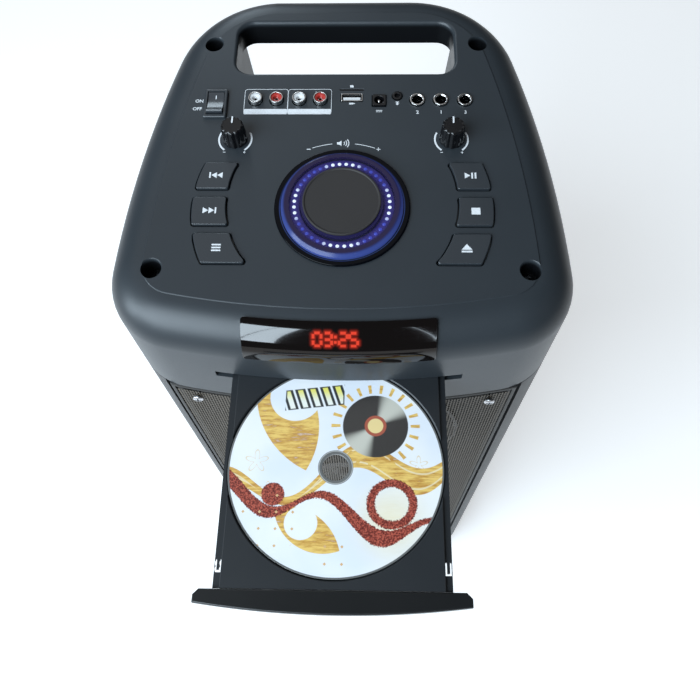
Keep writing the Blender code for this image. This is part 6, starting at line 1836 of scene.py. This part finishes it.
@dataclass(frozen=True)
class Display:
    """The smoked lens that wraps the front rim over the digits."""

    half: float = 0.0531
    x: float = 0.0001
    top_angle: float = math.radians(18.5)
    bottom_angle: float = math.radians(85.0)
    proud: float = 0.0008
    thickness: float = 0.0030
    corner: float = 0.0018
    lean: float = math.radians(43.0)
    sign_shift: float = 0.0016

    def band(
        self, grow: float, outward: float, inward: float, columns: int, bends: int, corner: float = 0.0
    ) -> bmesh.types.BMesh:
        """A plate that wraps the rim.

        Args:
            grow: How much larger than the lens it is all round.
            outward: How far it stands out from the rim's surface.
            inward: How far it reaches inside it.
            columns: Its steps across.
            bends: Its steps round the rim.
            corner: The rounding of its four corners.

        Returns:
            The closed plate.
        """
        rings = []
        half = self.half + grow
        shares = [i / columns for i in range(columns + 1)]
        if corner:
            ends = [corner / (2 * half) * flat for flat, _ in quarter(6)]
            shares = ends + [
                s for s in shares if ends[-1] < s < 1 - ends[-1]
            ] + [1 - s for s in reversed(ends)]
        for share in shares:
            x = self.x - half + 2 * half * share
            from_end = min(share, 1 - share) * 2 * half
            short = 0.0
            if corner and from_end < corner:
                short = corner - math.sqrt(max(corner**2 - (corner - from_end) ** 2, 0.0))
            short = min(short, corner * 0.98) if corner else 0.0
            middle_y = FORM.rim + FORM.bow(x)
            middle_z = FORM.panel_z(middle_y) - FORM.rim
            start = self.top_angle + (short - grow) / FORM.rim
            end = self.bottom_angle - (short - grow) / FORM.rim
            outer, inner = [], []
            for j in range(bends + 1):
                angle = start + (end - start) * j / bends
                for reach, points in ((FORM.rim + outward, outer), (FORM.rim - inward, inner)):
                    points.append((x, middle_y - reach * math.sin(angle), middle_z + reach * math.cos(angle)))
            rings.append(outer + inner[::-1])
        return loft(rings)

    def build(self) -> None:
        """Makes the lens in place of its node."""
        lean = self.lean
        middle_y = FORM.rim + FORM.bow(self.x)
        reach = FORM.rim + self.proud
        middle = MACHINE @ Vector(
            (
                self.x - self.sign_shift, middle_y - reach * math.sin(lean),
                FORM.panel_z(middle_y) - FORM.rim + reach * math.cos(lean)
            )
        )
        finish = SmokedLens("display_lens_smoked", "smoked_lens", tuple(middle), math.pi / 2 - lean)
        shape = self.band(0.0, self.proud, self.thickness - self.proud, 40, 16, self.corner)
        make = Make(finish, nodes=("display_lens",), bevel=0.0004, bevel_steps=3, sharp=50.0)
        make.piece("display_window", shape)
        dress_node("display_module", Finishes.circuit)


@dataclass(frozen=True)
class Tray:
    """The disc tray with its door, and the disc on it, all slid out."""

    tray_x: float = -0.0013
    disc_closed_y: float = 0.0774
    top_z: float = 0.5785
    bottom_z: float = 0.5737
    half: float = 0.0586
    rail_width: float = 0.0038
    rail_thickness: float = 0.0027
    rear_closed: float = 0.169
    door_half: float = 0.0722
    door_height: float = 0.0050
    door_back: float = 0.012
    disc_radius: float = 0.060
    disc_hole: float = 0.0075
    disc_top: float = 0.5775
    disc_thickness: float = 0.0012
    rack_module: float = 0.0010
    rack_backlash: float = 0.00036
    rack_margin: float = 0.0045
    pinion_y: float = 0.030
    small_well_radius: float = 0.041
    window_radius: float = 0.024
    window_turn: float = 0.848
    window_half: float = 0.018
    window_rear: float = 0.068
    door_chamfer: float = 0.0030
    door_edge: float = 0.0009

    def place(self) -> Matrix:
        """The frame whose Z axis is the open disc's axis."""
        return MACHINE @ Matrix.Translation((self.tray_x, self.disc_closed_y - TRAY_TRAVEL, 0))

    def rack(self, front: float, rear: float) -> list[Point2]:
        """Side view of the left rail, toothed underneath."""
        low, top = self.bottom_z, self.bottom_z + self.rail_thickness
        pitch = math.pi * self.rack_module
        flank = self.rack_module * math.tan(math.radians(20.0))
        half = pitch / 4 - self.rack_backlash / 2
        root = low + 2.25 * self.rack_module
        first = self.pinion_y - self.disc_closed_y
        first -= pitch * math.floor((first - front - self.rack_margin) / pitch)
        points = [(rear, root), (rear, top), (front, top), (front, root)]
        middle = first
        while middle + pitch <= rear - self.rack_margin:
            points += [(middle - half - 1.25 * flank, root), (middle - half + flank, low)]
            points += [(middle + half - flank, low), (middle + half + 1.25 * flank, root)]
            middle += pitch
        return points

    def build(self) -> None:
        """Makes the tray, the door and the disc."""
        front = self.door_back + GAP - self.disc_closed_y
        rear = self.rear_closed - self.disc_closed_y
        place = self.place()
        self.tray(place, front, rear)
        self.door(place)
        self.disc(place)

    def tray(self, place: Matrix, front: float, rear: float) -> None:
        """The moulded plate with its wells, window, rails and rack."""
        middle = (0.0, (rear + front) / 2)
        length = (rear - front) / 2
        rail_top = self.bottom_z + self.rail_thickness
        outer = self.half + self.rail_width
        low_outline = rectangle(self.half, length, 0.0, middle)
        rings = [level(low_outline, self.bottom_z), level(low_outline, self.top_z - 0.0004)]
        rings.append(level(rectangle(self.half - 0.0004, length - 0.0001, 0.0, middle), self.top_z))
        overlap = 0.0006
        right = box((self.half - overlap, front, self.bottom_z), (outer, rear, rail_top))
        left = loft([[(x, y, z) for y, z in self.rack(front, rear)] for x in (-outer, -self.half + overlap)])
        cuts = [Cut(right, place, "UNION"), Cut(left, place, "UNION")]
        floor = self.disc_top - self.disc_thickness - GAP
        top, radius, inner = self.top_z, self.disc_radius + 0.0008, self.small_well_radius
        well = [(0.0, floor), (radius - 0.0004, floor), (radius, floor + 0.0004), (radius, top - 0.0006)]
        well += [(radius + 0.0006, top), (radius + 0.0006, top + 0.004), (0.0, top + 0.004)]
        small = [(0.0, floor - 0.001), (inner - 0.0004, floor - 0.001), (inner, floor)]
        small += [(inner, top + 0.003), (0.0, top + 0.003)]
        cuts += [Cut(turned(well, 144), place), Cut(turned(small, 96), place)]
        turn = self.window_turn
        window = arc((0, 0), self.window_radius, math.pi - turn, 2 * math.pi + turn, 48)
        window += [(self.window_half, self.window_rear), (-self.window_half, self.window_rear)]
        cuts.append(Cut(prism(window, self.bottom_z - 0.005, self.top_z + 0.005), place))
        for side in Side:
            at = side.value * (outer - self.rail_width / 2)
            parts = (
                (0.0005, 0.0034, at - 0.0012, front + 0.0115),
                (0.0005, 0.0034, at + 0.0012, front + 0.0115),
                (0.0017, 0.0006, at, front + 0.0087),
            )
            for half_x, half_y, x, y in parts:
                slit = prism(rectangle(half_x, half_y, 0.0, (x, y)), self.bottom_z - 0.005, rail_top + 0.001)
                cuts.append(Cut(slit, place))
        Make(Finishes.tray, "tray", place, ("disc_tray",), cuts=tuple(cuts)).piece("tray_plate", loft(rings))

    def door(self, place: Matrix) -> None:
        """The bowed front that closes the tray's slot."""
        back = self.door_back - self.disc_closed_y
        half = self.door_half
        chamfer = self.door_chamfer

        def outline(draw: float) -> list[Point2]:
            """The door from above, drawn in all round."""
            xs = [(half - draw) * (2 * i / 40 - 1) for i in range(41)]
            points = [(x, FORM.bow(x + self.tray_x) - self.disc_closed_y + draw) for x in xs]
            points += [(half - draw, back - chamfer), (half - chamfer, back - draw)]
            return points + [(chamfer - half, back - draw), (draw - half, back - chamfer)]

        low, high, edge = self.bottom_z, self.bottom_z + self.door_height, self.door_edge
        rings = []
        for flat, upright in quarter(4):
            rings.append(level(outline(edge * upright), low + edge * flat))
        for flat, upright in quarter(4):
            rings.append(level(outline(edge * flat), high - edge * upright))
        Make(Finishes.door, "tray", place, ("tray_door",)).piece("door_front", loft(rings))

    def disc(self, place: Matrix) -> None:
        """The printed disc."""
        top, low = self.disc_top, self.disc_top - self.disc_thickness
        radius, hole = self.disc_radius, self.disc_hole
        profile = [(hole, low), (0.0165, low), (0.0170, low + 0.00012), (0.0175, low), (radius, low)]
        profile += [(radius, top), (0.0090, top), (hole, top)]
        finish = DiscPrint("disc_screen_print", "disc_print", (place.translation.x, place.translation.y))
        Make(finish, "disc", place, ("disc",)).piece("music_disc", turned(softened(profile, 0.00025, 3), 180))


@dataclass(frozen=True)
class Grille:
    """The bowed steel sheet over the loudspeakers, pierced all over."""

    half: float = 0.1100
    low_z: float = 0.0473
    high_z: float = 0.5457
    sheet: float = 0.0012
    margin: float = 0.0022
    pitch_x: float = 0.0019
    pitch_z: float = 0.0034
    hole_x: float = 0.00066
    hole_z: float = 0.00140
    border_steps: int = 48
    fold: float = 0.0045
    rim: float = 0.0012
    ahead: float = 0.00002
    screw_x: float = 0.094
    screw_z: float = 0.5315

    def on_sheet(self, x: float, z: float, depth: float = 0.0) -> Point3:
        """A point of the flat pattern laid on the bowed sheet."""
        return (x, FORM.bow(x) + depth, z)

    def build(self) -> None:
        """Makes the pierced field, the frame round it and the screws."""
        self.field()
        self.frame()
        for name, side in (("left", Side.LEFT), ("right", Side.RIGHT)):
            x = side.value * self.screw_x
            at = MACHINE @ Matrix.Translation((x, FORM.bow(x), self.screw_z)) @ FACING_FRONT
            seat = 0.0034 * math.sin(math.atan2(self.screw_x, FORM.front_bow)) + GAP
            at = at @ Matrix.Translation((0, 0, seat))
            Screw(0.0034, 0.0020, 0.0016, 0.014).build(
                f"screw_grille_{name}", at, f"grille_screw_{name}", Finishes.zinc
            )

    def field(self) -> None:
        """The pierced field: long six-sided holes in staggered columns, joined by bars."""
        half_x = self.half - self.margin
        columns = int(2 * half_x / self.pitch_x)
        rows = int((self.high_z - self.low_z - 2 * self.margin) / self.pitch_z - 0.5)
        left = -(columns - 1) * self.pitch_x / 2
        bottom = (self.low_z + self.high_z) / 2 - (rows - 0.5) * self.pitch_z / 2
        wide, high = self.hole_x, self.hole_z
        outline = (
            (wide, 0), (wide * 0.6, high), (-wide * 0.6, high), (-wide, 0), (-wide * 0.6, -high),
            (wide * 0.6, -high)
        )
        shape = bmesh.new()
        grid: dict[tuple[int, int], list[bmesh.types.BMVert]] = {}
        for column in range(columns):
            for row in range(rows):
                x = left + column * self.pitch_x
                z = bottom + (row + column % 2 / 2) * self.pitch_z
                grid[column, row] = [shape.verts.new(self.on_sheet(x + dx, z + dz)) for dx, dz in outline]
        for (column, row), here in grid.items():
            above = grid.get((column, row + 1))
            shift = row + column % 2
            right_up = grid.get((column + 1, shift))
            right_down = grid.get((column + 1, shift - 1))
            if above:
                shape.faces.new((here[1], above[5], above[4], here[2]))
            if right_up:
                shape.faces.new((here[0], right_up[4], right_up[3], here[1]))
            if right_down:
                shape.faces.new((here[5], right_down[3], right_down[2], here[0]))
            if above and right_up:
                shape.faces.new((here[1], right_up[3], above[5]))
            if right_up and right_down:
                shape.faces.new((here[0], right_down[2], right_up[4]))
        Make(Finishes.grille, nodes=("front_grille",), sharp=60.0).piece("grille_field", shape)

    def frame(self) -> None:
        """The plain folded border round the field."""
        half_x, low, high = self.half, self.low_z, self.high_z
        inner_x = half_x - self.margin - self.pitch_x * 0.35
        inner_low = low + self.margin + self.pitch_z * 0.25
        inner_high = high - self.margin - self.pitch_z * 0.25
        count, fold, rim = self.border_steps, self.fold, self.rim

        def path(half: float, bottom: float, top: float, depth: float) -> list[Point3]:
            """A loop round the sheet, as many points whatever its size."""
            flat = [(-half + 2 * half * i / count, bottom) for i in range(count)]
            flat += [(half, bottom), (half, top)]
            flat += [(half - 2 * half * i / count, top) for i in range(1, count + 1)]
            return [self.on_sheet(x, z, depth) for x, z in flat]

        def edge(inset: float, depth: float) -> list[Point3]:
            """A loop at one distance from the sheet's edge."""
            return path(half_x - inset, low + inset, high - inset, depth)

        loops = [path(inner_x, inner_low, inner_high, depth) for depth in (self.sheet, -self.ahead)]
        loops += [edge(rim, -self.ahead), edge(rim * 0.35, rim * 0.3), edge(0.0, rim), edge(0.0, fold)]
        loops += [edge(self.sheet, fold), edge(self.sheet, self.sheet + rim)]
        # The border wears the darker copy of the grille's paint, painted shade on the fold.
        Make(Finishes.fold).piece("grille_border", loft(loops, capped=False))


@dataclass(frozen=True)
class Cabinet:
    """The moulded tub with its bass port, service cover and feet."""

    wall: float = 0.006
    base: float = 0.005
    foot_height: float = 0.014
    fillet: float = 0.008
    opening_half: float = 0.1132
    opening_low: float = 0.047
    top_z: float = 0.5457
    baffle_y: float = 0.019
    port_z: float = 0.420
    port_bore: float = 0.024
    port_flare: float = 0.006
    port_flare_depth: float = 0.008
    port_wall: float = 0.0025
    port_length: float = 0.090
    cover_half: float = 0.038
    cover_low: float = 0.090
    cover_high: float = 0.250
    cover_thickness: float = 0.0022
    cover_sink: float = 0.0020
    cover_lip: float = 0.006
    louvres: int = 9
    louvre_pitch: float = 0.0085
    louvre_low: float = -0.034
    feet: tuple[tuple[str, Point2], ...] = (
        ("front_left", (-0.086, 0.045)),
        ("front_right", (0.086, 0.045)),
        ("rear_left", (-0.072, 0.205)),
        ("rear_right", (0.072, 0.205)),
    )

    def build(self) -> None:
        """Makes the tub, the cover, the screws and the feet."""
        base = self.foot_height
        rings = []
        for flat, upright in quarter(8):
            rings.append(level(FORM.outline(self.fillet * upright), base + self.fillet * flat))
        rings += [level(FORM.outline(), self.top_z - 0.0006), level(FORM.outline(0.0005), self.top_z)]
        hollow = [level(FORM.outline(self.wall, 2), z) for z in (base + self.base, self.top_z + 0.010)]
        back = BODY_DEPTH
        port_at = MACHINE @ Matrix.Translation((0, back, self.port_z)) @ FACING_FRONT
        bore, flare = self.port_bore, self.port_flare
        tube = prism(circle(bore + self.port_wall, 64), self.wall / 2, self.port_length)
        mouth = [(0.0, -0.010), (bore + flare + 0.003, -0.010)]
        mouth += [(bore + flare * upright, self.port_flare_depth * flat) for flat, upright in quarter(8)]
        mouth += [(bore, self.port_length + 0.010), (0.0, self.port_length + 0.010)]
        cover_back = back - self.cover_sink
        recess = box(
            (-self.cover_half - GAP, cover_back - self.cover_thickness - GAP, self.cover_low - GAP),
            (self.cover_half + GAP, back + 0.010, self.cover_high + GAP),
        )
        inner = self.cover_half - self.cover_lip
        opening = box(
            (-inner, back - 0.020, self.cover_low + self.cover_lip),
            (inner, back + 0.010, self.cover_high - self.cover_lip)
        )
        cuts = [
            Cut(loft(hollow)),
            Cut(
                box(
                    (-self.opening_half, -0.010, self.opening_low),
                    (self.opening_half, self.baffle_y, self.top_z + 0.010)
                )
            ),
            Cut(tube, port_at, "UNION"),
            Cut(turned(mouth, 64), port_at),
            Cut(recess),
            Cut(opening),
        ]
        make = Make(Finishes.cabinet, nodes=("cabinet_shell",), cuts=tuple(cuts), sharp=32.0)
        make.piece("cabinet_tub", loft(rings))
        self.cover(cover_back)
        for name, (x, y) in self.feet:
            self.foot(name, x, y)

    def cover(self, cover_back: float) -> None:
        """The service cover with cooling slots, and its two screws."""
        half_z = (self.cover_high - self.cover_low) / 2
        middle_z = (self.cover_high + self.cover_low) / 2
        thickness = self.cover_thickness
        place = MACHINE @ Matrix.Translation((0, cover_back, middle_z)) @ FACING_FRONT
        outline = rectangle(self.cover_half, half_z, 0.002)
        soft = rectangle(self.cover_half - 0.0004, half_z - 0.0004, 0.0016)
        rings = [level(soft, 0.0), level(outline, 0.0004), level(outline, thickness)]
        cuts = []
        for row in range(self.louvres):
            y = self.louvre_low + row * self.louvre_pitch
            slot = prism(rectangle(0.022, 0.0014, 0.0013, (0, y)), -0.003, 0.0011)
            cuts.append(Cut(slot, place))
        make = Make(Finishes.cabinet, place=place, nodes=("service_cover",), cuts=tuple(cuts))
        make.piece("back_cover", loft(rings))
        for name, way in (("lower", -1), ("upper", 1)):
            z = middle_z + way * (half_z - self.cover_lip / 2)
            at = MACHINE @ Matrix.Translation((0, cover_back, z)) @ Matrix.Rotation(-math.pi / 2, 4, "X")
            Screw(0.0026, 0.0018, 0.0011, 0.009).build(
                f"screw_cover_{name}", at, f"cover_screw_{name}", Finishes.black_zinc
            )

    def foot(self, name: str, x: float, y: float) -> None:
        """One rubber foot with a ribbed side."""
        high = self.foot_height - GAP
        profile = [(0.0, 0.0012), (0.0045, 0.0012), (0.0055, 0.0), (0.0120, 0.0), (0.0140, 0.002)]
        profile += [(0.0143, 0.0050), (0.0138, 0.0056), (0.0144, 0.0062), (0.0147, 0.0090), (0.0142, 0.0096)]
        profile += [(0.0148, 0.0102), (0.0150, high), (0.0, high)]
        place = MACHINE @ Matrix.Translation((x, y, 0))
        Make(
            Finishes.rubber, place=place, nodes=(f"foot_{name}",)
        ).piece(f"rubber_foot_{name}", turned(profile, 64))


@dataclass(frozen=True)
class Loudspeakers:
    """Two bass loudspeakers on their board, seen through the grille."""

    frame_radius: float = 0.0825
    cutout: float = 0.0725
    flange: float = 0.004
    depth: float = 0.066
    magnet_radius: float = 0.045
    magnet_height: float = 0.020
    cone_radius: float = 0.058
    cap_radius: float = 0.018
    travel: float = 0.003
    baffle_y: float = 0.019
    heights: tuple[tuple[str, float], ...] = (("upper", 0.452), ("lower", 0.180))

    def build(self) -> None:
        """Makes both baskets, surrounds and cones."""
        reach = self.cutout - 0.0015
        back = -self.depth
        front_of_magnet = back + self.magnet_height
        lip = self.flange
        basket = [
            (self.frame_radius, GAP), (self.frame_radius, lip), (reach - 0.0035, lip),
            (reach - 0.0035, -0.006),
            (0.030, front_of_magnet + 0.002), (0.020, front_of_magnet + 0.002), (0.020, back + 0.004),
            (0.0145, back + 0.004), (0.0145, front_of_magnet + 0.003), (0.0030, front_of_magnet + 0.003),
            (0.0030, back),
            (self.magnet_radius, back), (self.magnet_radius, front_of_magnet), (0.034, front_of_magnet),
            (reach, -0.006), (reach, GAP),
        ]
        seat = lip - 0.0005
        roll_middle = (reach - 0.003 + self.cone_radius) / 2
        roll = reach - 0.003 - roll_middle
        surround = [(self.frame_radius - 0.003, seat), (self.frame_radius - 0.003, seat + 0.0017)]
        for bend in range(11):
            angle = math.pi * bend / 10
            surround.append((roll_middle + roll * math.cos(angle), seat + 0.0017 + 0.005 * math.sin(angle)))
        for bend in range(10, 0, -1):
            angle = math.pi * bend / 10
            surround.append(
                (roll_middle + (roll - 0.001) * math.cos(angle), seat + 0.0006 + 0.0042 * math.sin(angle))
            )
        surround.append((roll_middle + roll - 0.001, seat))
        edge = self.cone_radius - 0.0005
        cap = self.cap_radius
        cone = [
            (edge, lip + self.travel + 0.0016), (edge - 0.0012, lip + self.travel + 0.0016),
            (edge - 0.0016, lip + 0.0005)
        ]
        for i in range(1, 8):
            t = i / 8
            radius = edge - 0.0016 + (cap - edge + 0.0016) * t
            cone.append((radius, lip + 0.0005 + (-0.0205 - lip) * t ** 0.9))
        for i in range(7):
            angle = math.pi / 2 * i / 6
            cone.append(
                (cap * math.cos(angle), -0.0200 + 0.006 * math.sin(angle)) if i < 6 else (0.0, -0.0140)
            )
        cone += [
            (0.0, -0.0155), (0.0160, -0.0215), (0.0160, back + 0.008), (0.0175, back + 0.008),
            (0.0175, -0.0225)
        ]
        cone.append((edge, lip - self.travel - 0.0012))
        for name, z in self.heights:
            place = MACHINE @ Matrix.Translation((0, self.baffle_y, z)) @ FACING_FRONT
            make = Make(Finishes.knob, place=place, nodes=(f"woofer_{name}",))
            make.piece(f"basket_{name}", turned(basket, 96))
            Make(Finishes.rubber, place=place).piece(f"surround_{name}", turned(surround, 96))
            body = f"woofer_cone_{name}"
            Make(Finishes.paper, body, place, (body,)).piece(f"cone_{name}", turned(cone, 96))
        dress_node("tweeter", Finishes.knob)
        dress_node("front_baffle", Finishes.baffle)


@dataclass(frozen=True)
class Inside:
    """The solids inside the machine, which show as they are."""

    finishes: tuple[tuple[str, Finish], ...] = (
        ("equipment_shelf", Finishes.loader),
        ("loader_chassis", Finishes.loader),
        ("clamp_bridge", Finishes.zinc),
        ("clamp_puck", Finishes.loader),
        ("tray_motor", Finishes.zinc),
        ("tray_pinion", Finishes.nylon),
        ("traverse_plate", Finishes.zinc),
        ("spindle_motor", Finishes.zinc),
        ("turntable", Finishes.loader),
        ("pickup_sled", Finishes.loader),
        ("pickup_rod", Finishes.nickel),
        ("control_board", Finishes.circuit),
        ("battery_pack", Finishes.knob),
        ("amplifier", Finishes.zinc),
    )

    def build(self) -> None:
        """Dresses each of them."""
        for node, finish in self.finishes:
            dress_node(node, finish)


DIAL = VolumeDial()
KEYPAD = Keypad()
KNOBS = SmallKnobs()
SWITCH = PowerSwitch()
SOCKETS = Sockets()
DISPLAY = Display()
TRAY = Tray()

ROUND_HOLES = [(*DIAL.centre, 0.0042), (-KNOBS.x, KNOBS.y, 0.0042), (KNOBS.x, KNOBS.y, 0.0042)]
ROUND_HOLES += [(x, SOCKETS.row_y, SOCKETS.phono_radius + GAP) for x in SOCKETS.phono_x]
ROUND_HOLES += [(x, SOCKETS.row_y, SOCKETS.jack_radius + GAP) for x in SOCKETS.jack_x]
ROUND_HOLES.append((*SOCKETS.aux, SOCKETS.aux_radius + GAP))
SQUARE_HOLES = [
    (*SWITCH.centre, SWITCH.bezel[0] / 2 - 0.0008, SWITCH.bezel[1] / 2 - 0.0008),
    (*SOCKETS.usb, SOCKETS.usb_size[0] / 2 + GAP, SOCKETS.usb_size[1] / 2 + GAP),
    (*SOCKETS.card, SOCKETS.card_size[0] / 2, SOCKETS.card_size[1] / 2),
    (*SOCKETS.supply, SOCKETS.supply_size / 2 + GAP, SOCKETS.supply_size / 2 + GAP),
]


@dataclass(frozen=True)
class DialScale:
    """The printed line over the dial, from minus to plus, with a loudspeaker sign."""

    radius: float = 0.0520
    top: float = 0.0443
    width: float = 0.00035
    sign_angles: Point2 = (113.4, 66.6)

    def build(self) -> None:
        """Makes the printing."""
        place = panel_place(DIAL.centre)
        parts = []
        middle = (0.0, self.top - self.radius)
        for start, end in ((math.radians(111), math.radians(97.5)), (math.radians(82.5), math.radians(69))):
            parts.append((PRINT.stroke(arc(middle, self.radius, start, end, 16), self.width), Matrix()))
        ends = [math.radians(angle) for angle in self.sign_angles]
        minus, plus = ((self.radius * math.cos(a), middle[1] + self.radius * math.sin(a)) for a in ends)
        parts += PRINT.minus_plus(0.0012, 0.00022, minus, plus)
        y = self.top
        speaker = [(-0.0040, y - 0.0008), (-0.0028, y - 0.0008), (-0.0013, y - 0.0019), (-0.0013, y + 0.0019)]
        speaker += [(-0.0028, y + 0.0008), (-0.0040, y + 0.0008)]
        parts.append((PRINT.slab(speaker), Matrix()))
        for radius in (0.0018, 0.0031, 0.0044):
            wave = arc((-0.0013, y), radius, math.radians(-38), math.radians(38), 10)
            parts.append((PRINT.stroke(wave, 0.0005), Matrix()))
        Make(Finishes.ink, place=place).piece("dial_printing", merged(parts))


@dataclass(frozen=True)
class Studio:
    """The pale floor, the lamps and the camera."""

    focal: float = 723.85
    eye: Point3 = (0.0169, -0.23047, 0.96686)
    yaw: float = -0.062
    pitch: float = 1.1215
    roll: float = 0.0474
    pixels: int = 700
    sensor: float = 36.0
    world_light: float = 0.065
    floor_glow: float = 0.44
    lens_end: Point3 = (-0.045, -0.060, 0.620)
    window_distance: float = 1.5
    window_light: float = 9.6
    daylight: Colour = (0.75, 0.89, 1.0)
    sky: Colour = (0.90, 0.95, 1.0)
    floor_half: float = 6.0
    panes: tuple[tuple[str, float, Point2, Point2, float], ...] = (
        ("window_main", -41.0, (-66.0, -18.75), (1.02, 3.20), 1.0),
        ("window_edge", -41.0, (-18.45, -12.5), (1.02, 3.20), 1.0),
        ("window_side", -74.0, (-84.0, -67.0), (0.62, 1.50), 1.0),
        ("window_right", 16.9, (16.75, 17.10), (1.02, 3.20), 1.0),
        ("window_back", 186.0, (189.0, 197.5), (0.93, 1.70), 0.7),
    )
    soft_boxes: tuple[tuple[str, Point3, Point3, Point2, float], ...] = (
        ("fill", (1.5, -0.6, 1.5), (0.0, 0.0, 0.5), (1.0, 1.0), 0.4),
        ("ceiling", (-0.65, 0.9, 2.3), (0.0, 0.0, 0.6), (2.0, 1.5), 4.5),
    )

    def camera(self) -> None:
        """The camera at the photograph's viewpoint."""
        ahead = Vector(
            (
                math.sin(self.yaw) * math.cos(self.pitch), math.cos(self.yaw) * math.cos(self.pitch),
                -math.sin(self.pitch)
            )
        )
        right = Vector((math.cos(self.yaw), -math.sin(self.yaw), 0.0))
        down = ahead.cross(right)
        across = right * math.cos(self.roll) + down * math.sin(self.roll)
        below = down * math.cos(self.roll) - right * math.sin(self.roll)
        data = bpy.data.cameras.new("camera")
        data.sensor_width = self.sensor
        data.lens = self.sensor * self.focal / self.pixels
        made = bpy.data.objects.new("camera", data)
        turn = Matrix((across, -below, -ahead)).transposed()
        made.matrix_world = Matrix.Translation(self.eye) @ turn.to_4x4()
        bpy.context.scene.collection.objects.link(made)
        bpy.context.scene.camera = made

    def floor(self) -> None:
        """A pale floor that shows white to the eye, to metal and to glass, and keeps the shadow."""
        shape = bmesh.new()
        bmesh.ops.create_grid(shape, x_segments=8, y_segments=8, size=self.floor_half)
        mesh = bpy.data.meshes.new("floor")
        shape.to_mesh(mesh)
        shape.free()
        made = bpy.data.objects.new("floor", mesh)
        bpy.context.scene.collection.objects.link(made)
        paint = Paint("floor_white")
        dapple = paint.noise(3.0, 2.0)
        seen: Term = 0.0
        for ray in ("Is Camera Ray", "Is Glossy Ray", "Is Transmission Ray"):
            seen = paint.node("ShaderNodeLightPath", output=ray).at_least(seen)
        paint.set(
            Base_Color=paint.mix(
                (0.42, 0.42, 0.42), paint.mix((0.90, 0.90, 0.90), (0.92, 0.92, 0.92), dapple), seen
            ),
            Roughness=0.9,
            Emission_Color=paint.mix((0.0, 0.0, 0.0), (1.0, 1.0, 1.0), seen),
            Emission_Strength=self.floor_glow,
        )
        made.data.materials.append(paint.material)

    def lamp(
        self, name: str, at: Point3, target: Point3, size: Point2, power: float, colour: Colour = (1, 1, 1)
    ) -> None:
        """A soft box that faces a target."""
        data = bpy.data.lights.new(name, "AREA")
        data.shape = "RECTANGLE"
        data.size, data.size_y = size
        data.energy = power
        data.color = colour
        made = bpy.data.objects.new(name, data)
        toward = (Vector(target) - Vector(at)).to_track_quat("-Z", "Y")
        made.matrix_world = Matrix.Translation(at) @ toward.to_matrix().to_4x4()
        bpy.context.scene.collection.objects.link(made)

    def window(self, name: str, facing: float, span: Point2, heights: Point2, brightness: float) -> None:
        """An upright bright pane, like part of a window.

        Args:
            name: The lamp's name.
            facing: The heading of the pane's plane from the lens's left end, in degrees from the front.
            span: The headings of its two upright edges, in degrees from the front.
            heights: The heights of its lower and upper edges.
            brightness: Its radiance, where 1 is white.
        """
        near, far = (self.window_distance * math.tan(math.radians(heading - facing)) for heading in span)
        facing = math.radians(facing)
        width = far - near
        height = heights[1] - heights[0]
        ahead = Vector((math.sin(facing), -math.cos(facing), 0.0))
        aside = Vector((math.cos(facing), math.sin(facing), 0.0))
        middle = Vector(self.lens_end) + ahead * self.window_distance + aside * (near + far) / 2
        middle.z = sum(heights) / 2
        power = brightness * math.pi * width * height
        self.lamp(name, tuple(middle), tuple(middle - ahead), (width, height), power, self.daylight)

    def build(self) -> None:
        """Sets up the whole studio."""
        scene = bpy.context.scene
        scene.view_settings.view_transform = "Standard"
        world = bpy.data.worlds.new("studio")
        scene.world = world
        world.use_nodes = True
        ground = world.node_tree.nodes["Background"]
        ground.inputs["Color"].default_value = (*self.sky, 1.0)
        ground.inputs["Strength"].default_value = self.world_light
        self.floor()
        self.camera()
        for name, facing, span, heights, share in self.panes:
            self.window(name, facing, span, heights, self.window_light * share)
        for soft_box in self.soft_boxes:
            self.lamp(*soft_box)


def main() -> None:
    """Builds and dresses the machine, then the studio."""
    logging.basicConfig(level=logging.INFO, format="%(message)s", stream=sys.stdout)
    makers = (
        TopHousing(), KEYPAD, DIAL, DialScale(), KNOBS, SWITCH, SOCKETS, DISPLAY, TRAY, Grille(), Cabinet(),
        Loudspeakers(), Inside(), Studio(),
    )
    for maker in makers:
        LOG.info("building %s", type(maker).__name__)
        maker.build()


if __name__ == "__main__":
    main()
